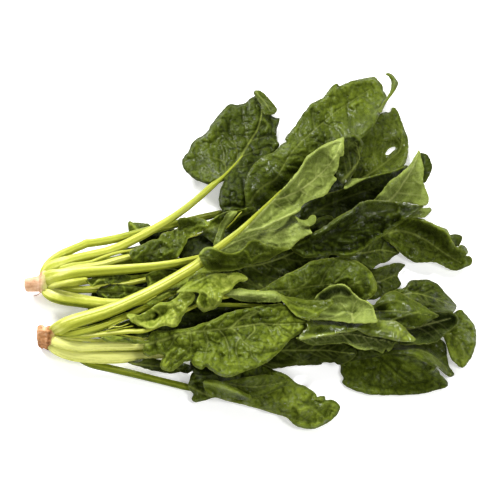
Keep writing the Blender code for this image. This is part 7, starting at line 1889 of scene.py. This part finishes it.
blade(N, [(101, 337.6), (108, 335.6), (116, 335.4), (124, 336.6), (134, 338.6), (143, 340), (150, 341), (140, 343.4), (128, 342), (116, 341.4), (106, 340.6)],
      part="frill", seed=145, tone=0.5, lifts=[(101, 338, 1.0), (150, 341, 1.0), (125, 337, 2.0)], follow=True, loft=1.0, blister=1.4, cell=2.6, lime=1.0,
      ridges=[(1.4, 0.8, [(106, 337.4), (113, 340), (119, 337.6), (127, 340.6), (134, 339)])], tints=[(0.25, 0.9, [(106, 337.4), (113, 340), (119, 337.6), (127, 340.6)]), (-0.5, 1.2, [(124, 338.6), (129, 339)])])
blade(N, [(127.4, 315), (129, 313.6), (134, 314.2), (140, 314.6), (146, 311.6), (150, 309), (156, 305), (160, 302.6), (168, 302), (172, 300.6), (176, 297.6), (180, 293.6),
          (185, 291), (190, 292), (194.6, 294), (194.8, 298), (193, 302), (190.4, 304), (187.6, 306), (187.8, 309), (185, 312.6), (182, 317), (180.6, 321), (176, 326.2),
          (172, 326.4), (168, 325.4), (163, 325.8), (158, 327.2), (152, 328.8), (144, 327), (137, 324), (132, 321), (128.6, 318)],
      part="first_lobe", rib=[(130, 315), (144, 314), (158, 309), (172, 303), (184, 297), (192, 296)], rib_width=0.9,
      veins=[(0.9, [(134, 314), (134, 318), (138, 322), (146, 326.4), (153, 327.4)]), (0.9, [(153, 327.4), (158, 324), (162, 318)]), (0.8, [(158, 309), (161, 314), (160, 320)]),
             (0.8, [(172, 303), (178, 312), (176, 320)]), (0.7, [(146, 313), (150, 319), (150, 326)]), (0.7, [(180, 298), (186, 303), (187, 307)])],
      seed=146, tone=0.86, blister=1.6, cell=3.6, lime=1.4, ruffle=1.3, crumple=1.2, vein_pale=0.6,
      ridges=[(2.0, 1.0, [(134.6, 316), (137, 321), (145, 325.4), (153, 327.6), (158, 324), (163, 317)]), (2.2, 1.0, [(150, 308.4), (156, 310.6), (160, 314.6), (157, 319)]),
              (-2.4, 1.3, [(155, 313), (157.6, 316), (154.6, 318.6)]), (1.8, 1.4, [(174, 312), (176, 318), (172, 323.6)]), (1.8, 1.4, [(182, 300), (186, 306), (184, 312)]),
              (-1.5, 1.3, [(162, 302.6), (172, 302.6)])],
      tints=[(0.30, 1.0, [(134.6, 316), (137, 321), (145, 325.6), (153, 327.8), (160, 322)]), (-0.75, 1.1, [(156, 313), (157.6, 315.6), (154.8, 318.2)]),
             (0.25, 0.9, [(150, 308.4), (156, 310.6), (160, 314)]), (0.15, 1.5, [(174, 314), (176, 320), (171, 324)]), (-0.12, 3.0, [(184, 295), (190, 299)])],
      lifts=[(128, 316, 2.0), (140, 313, 3.0), (160, 303, 3.4), (185, 292, 3.6), (193, 298, 3.0), (186, 308, 3.0), (176, 325, 2.0), (152, 328, 2.0), (137, 322, 2.2), (158, 316, 4.0), (172, 312, 4.4)],
      follow=True, loft=1.0)
blade(N, [(177, 292), (183, 286.6), (188, 281.4), (192, 276), (199, 271), (204.6, 269), (209.4, 271.4), (213, 272.4), (220, 273), (232, 273), (240, 273.2), (244.6, 275.6),
          (247.8, 279), (245, 281), (241, 281), (238, 281.8), (233.6, 286.4), (231, 290.2), (227, 292.6), (224.4, 294), (222.4, 299), (219.8, 304), (216, 307.6),
          (211, 309.8), (206, 311.4), (203, 311.4), (200.6, 309.4), (197.6, 306), (196.4, 302.6), (198, 298), (199.4, 293.4), (196, 291.8), (186, 292.4)],
      part="second_lobe", rib=[(180, 290.4), (190, 285.4), (200, 279.8), (208, 276), (216, 273.8), (226, 273.4), (238, 273.8)], rib_width=0.8,
      veins=[(1.2, [(184, 290.2), (192, 290), (202, 290), (208, 287.6), (214, 287)]), (1.2, [(202, 290), (206, 293), (209, 297.4), (211, 302)]), (0.8, [(208, 287.6), (216, 292), (221, 299)]),
             (0.7, [(208, 276.4), (216, 281), (224, 288)]), (0.7, [(220, 274), (226, 278), (232, 285)]), (0.6, [(192, 284.6), (196, 278), (202, 272)]), (0.6, [(214, 287), (212, 296), (214, 305)])],
      seed=147, tone=0.84, blister=1.8, cell=3.6, lime=1.4, ruffle=1.4, crumple=1.4, vein_pale=0.9, rib_pale=0.9,
      ridges=[(2.2, 1.0, [(199, 295), (197.6, 302), (202, 308.6), (208, 309.6), (216, 305.6), (221.6, 297)]), (-3.0, 2.6, [(203, 296), (204, 303)]), (1.8, 0.9, [(202, 290), (206, 293), (209.6, 298)]),
              (1.6, 0.9, [(184, 288.6), (200, 280), (212, 274.6), (226, 274)]), (1.5, 2.0, [(224, 279), (240, 278)]), (1.5, 1.5, [(203, 307), (209, 307)])],
      tints=[(-0.40, 2.6, [(202.6, 294), (204, 300), (205, 304)]), (-0.15, 3.5, [(194, 284), (206, 280)]), (0.22, 1.2, [(199, 304), (203, 309), (210, 308)]), (0.12, 4.0, [(228, 278), (240, 278)]),
             (0.16, 1.2, [(222, 296), (226, 291), (233, 285)])],
      lifts=[(178, 291, 3.0), (192, 277, 3.4), (205, 270, 3.6), (225, 273, 4.6), (246, 279, 2.6), (233, 287, 4.0), (222, 298, 4.6), (206, 311, 2.2), (197, 303, 3.0), (204, 298, 1.4), (215, 290, 5.6), (200, 288, 4.0)],
      follow=True, loft=1.0)

N = "lower_leaf_crossing_pale"
A_OUT = [(238, 236.5), (244, 229), (250, 221.6), (260, 211.6), (272, 199.6), (285, 186.6), (298, 171.0), (307.8, 155.8), (311.7, 152.8), (320.8, 146.4), (331.2, 141.8), (338, 139), (343.9, 137.4),
         (343.9, 142), (343.8, 148), (343.0, 155.6), (340.4, 156.4), (339.2, 159.6), (338.4, 165), (336.4, 171.4), (333.4, 176.2), (336.8, 178.6), (334.4, 182.4), (331.2, 187),
         (326, 194.2), (322.4, 196.4), (318.2, 197.6), (310.4, 200), (306, 202.8), (302.2, 206), (300.2, 210.2), (296.9, 212.8), (290, 215.8), (284.4, 218.7), (279, 221.6), (274, 223.8),
         (270, 226.8), (266.2, 228.8), (260, 230.2), (253.2, 230.9), (245.4, 232.9)]
blade(N, [(217, 250.6), (224, 243), (232, 237), (240, 232.4), (252, 230.0), (262, 226.6), (270, 221.6), (283, 214.6), (293, 213), (295, 217), (300, 219.6), (305, 220.6), (310, 224.4), (309.4, 226.6),
          (310.2, 230), (312.0, 233.2), (308, 235.2), (305.2, 236.6), (300, 239.2), (296, 243), (290, 248.4), (283, 249), (265, 247.6), (254, 242), (248, 246), (240, 252), (232, 254.4), (224, 253)],
      part="lower_half", seed=148, side="under", tone=0.70, rib=[(220, 251), (236, 242), (252, 236), (270, 230), (290, 228), (308, 228)], rib_width=0.5,
      auto={"gap": 9.0, "angle": 40.0}, blister=0.8, lime=1.2, follow=True, loft=1.0, crumple=0.8,
      lifts=[(218, 250, 2.0), (240, 234, 3.0), (262, 226, 4.0), (283, 216, 5.0), (310, 226, 5.5), (290, 248, 3.0), (265, 247, 2.0), (238, 248, 0.6), (275, 235, 5.0)],
      ridges=[(1.4, 1.5, [(262, 240), (280, 243), (292, 240)])],
      tints=[(-0.12, 5.0, [(236, 246), (242, 245)]), (0.08, 4.0, [(266, 238), (285, 243)])])
blade(N, [(295.4, 216.4), (299, 219), (303, 220.2), (307.6, 219.4), (309.6, 216.6), (312, 215.2), (315.4, 215.8), (316, 219), (315.2, 222.6), (312.4, 224.9), (308.8, 226.2), (303, 224),
          (298, 221.4)], part="side_lobe", seed=149, side="under",
      tone=0.56, jag=0.2, lifts=[(293, 218, 1.0), (312, 216, 1.6), (314, 223, 1.0)], follow=True, loft=1.0, blister=0.6, lime=0.9)
blade(N, A_OUT, part="blade", side="under", seed=150, tone=0.75, rib=[(236, 236), (247, 227.6), (262, 213.6), (272, 201.6), (285, 197), (300, 190), (316, 178), (333, 160), (341, 143)],
      veins=[(1.1, [(272, 202), (279, 206), (286, 213)]), (0.8, [(285, 197), (291, 203), (297, 207)]), (1.1, [(300, 190), (305, 193), (309, 196)]), (0.8, [(308, 184), (319, 188), (326, 190)]),
             (0.8, [(318, 176), (327, 176), (334, 174)]), (0.8, [(326, 168), (333, 166), (338, 163)]), (0.7, [(258, 217), (264, 222), (268, 223)]), (0.7, [(300, 190), (299, 180), (304, 170)]),
             (0.7, [(285, 197), (284, 190), (288, 184)]), (0.7, [(316, 178), (316, 166), (320, 154)]), (0.6, [(328, 166), (328, 154), (332, 144)])],
      blister=1.2, cell=4.6, lime=1.0, rib_width=0.9, vein_pale=0.8, rib_pale=0.9, crumple=1.2,
      lifts=lifts_of(N, 0.8) + [(252, 220, 5), (290, 182, 7), (320, 150, 6)],
      ridges=[(2.6, 1.4, [(250, 223), (272, 201), (298, 173), (308, 158), (320, 148.6), (336, 141)]), (-1.6, 2.6, [(308, 170), (316, 160), (326, 152)]), (1.6, 1.5, [(334, 160), (340, 148)]),
              (1.6, 1.4, [(288, 209), (297, 204)]), (-2.2, 1.4, [(282, 196), (288, 192), (292, 186)]), (-2.2, 1.3, [(292, 203), (297, 198), (299, 192)]), (2.0, 1.2, [(296, 190), (300, 184), (304, 180)]),
              (-2.0, 1.4, [(276, 206), (282, 202), (288, 201)]), (2.0, 1.0, [(246, 232), (254, 229.6), (264, 227), (273, 222), (284, 217.4), (296, 211.8)]), (-2.0, 1.3, [(312, 192), (318, 188), (324, 186)])],
      tints=[(-0.20, 4.0, [(309, 164), (316, 158), (325, 151)]), (0.10, 2.4, [(256, 218), (275, 200), (298, 175)]), (-0.26, 1.8, [(282, 197), (288, 192)]), (-0.26, 1.8, [(292, 203), (297, 197)]),
             (-0.14, 3.0, [(320, 186), (330, 180)]), (0.22, 1.0, [(246, 232), (254, 230), (264, 227.6), (273, 223), (284, 218), (296, 212)]), (-0.18, 1.8, [(277, 207), (286, 202)]),
             (-0.16, 1.6, [(304, 194), (300, 204)]), (0.08, 4.0, [(326, 150), (336, 146)])])
stem(N, [(51.2, 333.8, 2.6, 2.2, 1.2), (52.4, 332.8, 6.4, 4.2, 2.2), (55, 330.6, 9.2, 5.8, 3.0), (60, 327.8, 10.8, 7.0, 3.8), (67, 324, 10.8, 7.6, 3.6), (76, 320.8, 10.6, 7.8, 2.6), (90, 316.6, 10.2, 7.8, 1.8), (105, 312, 9.8, 7.6, 1.4),
         (120, 306.2, 9.2, 7.2, 1.4), (135, 299.4, 8.8, 7.0, 1.2), (150, 292.2, 8.5, 6.8, 1.2), (165, 284.2, 8.2, 6.5, 1.2), (180, 275.6, 7.9, 6.2, 1.2), (193, 267.6, 7.6, 5.8, 1.2),
         (206, 257.6, 6.4, 4.8, 0.8), (216, 249.2, 5.4, 4.2, 0.5), (226, 241.4, 4.8, 3.6, 0.4), (237, 232.6, 4.0, 2.8, 0.3), (247, 223.6, 3.2, 2.2, 0.3), (258, 212.9, 2.4, 1.7, 0.3), (270, 201.4, 1.7, 1.2, 0.3),
         (282, 189.6, 1.2, 0.8, 0.2)],
     tone=0.62, seed=63, foot=11.0, merge=10, ridges=8, depth=0.05,
     pale=[(0.55, 0.04, 0.60, 1.32, 0.13), (0.30, 0.05, 0.66, 1.85, 0.12), (0.16, 0.03, 0.45, 0.95, 0.2), (-0.14, 0.03, 0.62, 2.3, 0.4), (-0.12, 0.05, 0.6, 1.58, 0.09),
           (-0.14, 0.72, 1.2, 1.4, 3.0), (-0.12, 0.82, 1.2, 1.4, 3.0)])
blade(N, [(199.2, 255.4), (200.6, 252), (203, 249), (206, 247.4), (210, 246.8), (215, 248), (221, 251), (226, 252.6), (232, 253.4), (237.6, 252), (242.4, 249), (246, 245), (249, 241.4),
          (253, 240), (258, 240), (264, 244), (270, 245.8), (277, 246.8), (285, 247.4), (292, 248), (285, 251), (277, 254.4), (268, 260), (260, 262.4), (252, 264.4), (239, 269.2),
          (232, 270.6), (225, 271.2), (217, 271.4), (211, 270.6), (207, 269), (203.4, 266), (201, 261.6)],
      part="turned_flap", seed=151, tone=0.36, follow=True, loft=1.0,
      lifts=[(200, 256, 0.8), (210, 248, 1.9), (232, 253, 1.9), (252, 240, 2.1), (264, 244, 2.0), (288, 248, 0.9), (265, 260, 0.6), (240, 268, 0.4), (212, 270, 0.3), (220, 260, 1.4), (245, 256, 1.7)],
      rib=[(201, 257), (216, 259), (232, 259), (250, 256), (272, 250)], rib_width=0.3, auto={"gap": 9.0, "angle": 48.0}, blister=0.8, cell=6.0, lime=1.0,
      ridges=[(1.9, 1.1, [(200.6, 254), (204, 249.6), (210, 248), (217, 250), (225, 253.4), (232, 254.2), (239, 252.2), (244.6, 247.6), (250, 241.6), (258, 241)]), (2.0, 1.3, [(246, 252), (249, 257), (251.4, 261)]),
              (1.8, 1.2, [(251.4, 261), (257, 256.6), (263, 254), (269, 253.6)]), (-1.8, 2.0, [(214, 263), (218, 264), (222, 262)]), (1.4, 1.2, [(208, 256), (213, 261)]),
              (-1.4, 1.4, [(246, 255), (242, 262)]), (-1.4, 1.6, [(256, 247), (262, 250)])],
      tints=[(0.35, 0.9, [(200.2, 254.6), (204, 249.4), (210, 247.6), (217, 249.6), (225, 252.8), (232, 253.6), (239, 251.4), (244.6, 246.8), (250, 241)]), (0.22, 1.2, [(247, 253), (251, 261), (257, 256.6), (268, 253.8)]),
             (0.10, 3.0, [(224, 260), (232, 264)]), (0.16, 4.0, [(272, 252), (282, 250)]), (-0.12, 3.0, [(212, 262), (218, 264)])])


# ---------------------------------------------------------------- floor, light and camera
def stage():
    floor_mesh = bpy.data.meshes.new("floor")
    s = 4.0
    floor_mesh.from_pydata([(-s, -s, -0.0004), (s, -s, -0.0004), (s, s, -0.0004), (-s, s, -0.0004)], [], [(0, 1, 2, 3)])
    floor = bpy.data.objects.new("floor", floor_mesh)
    bpy.context.scene.collection.objects.link(floor)
    made, tree, shader = tree_of("floor_white")
    shader.inputs["Base Color"].default_value = (0.96, 0.96, 0.96, 1)
    shader.inputs["Roughness"].default_value = 0.8
    shader.inputs["Emission Color"].default_value = (1, 1, 1, 1)
    shader.inputs["Emission Strength"].default_value = 0.34
    shader.inputs["Specular IOR Level"].default_value = 0.1
    floor_mesh.materials.append(made)

    world = bpy.data.worlds.new("studio")
    world.use_nodes = True
    world.node_tree.nodes["Background"].inputs[0].default_value = (1, 1, 1, 1)
    world.node_tree.nodes["Background"].inputs[1].default_value = WORLD_LIGHT
    bpy.context.scene.world = world

    def area(name, at, size, power, to=(0.0, 0.0, 0.01)):
        data = bpy.data.lights.new(name, "AREA")
        data.shape = "RECTANGLE"
        data.size, data.size_y = size
        data.energy = power
        obj = bpy.data.objects.new(name, data)
        bpy.context.scene.collection.objects.link(obj)
        obj.location = at
        obj.visible_glossy = name in ("glint", "glint_right", "key")
        obj.rotation_mode = "QUATERNION"
        obj.rotation_quaternion = (Vector(to) - Vector(at)).to_track_quat("-Z", "Y")

    for light in LIGHTS:
        area(*light)

    camera = bpy.data.objects.new("camera", bpy.data.cameras.new("camera"))
    bpy.context.scene.collection.objects.link(camera)
    far = 12.0
    aim = Vector(tuple(table_frame([(0.0, 0.0, 12.0)])[0]))
    back = Vector((0.0, -COS, SIN))
    camera.location = aim + back * far
    camera.rotation_mode = "QUATERNION"
    camera.rotation_quaternion = (-back).to_track_quat("-Z", "Y")
    camera.data.sensor_width = 36.0
    camera.data.lens = 36.0 * far / (500 * GRID / 1000.0)
    camera.data.clip_start, camera.data.clip_end = 1.0, 40.0
    bpy.context.scene.camera = camera
    bpy.context.scene.view_settings.view_transform = "Standard"


WORLD_LIGHT = 0.20
LIGHTS = [("glint", (-0.05, 0.70, 1.15), (0.17, 0.15), 9.0),
          ("glint_right", (0.67, -0.70, 1.28), (0.26, 0.24), 9.0),
          ("key", (-0.80, 1.15, 0.95), (0.7, 0.45), 36.0),
          ("back_right", (0.90, 0.90, 0.90), (0.6, 0.5), 9.0),
          ("front", (-0.10, -1.30, 1.20), (1.1, 0.7), 10.0)]
stage()
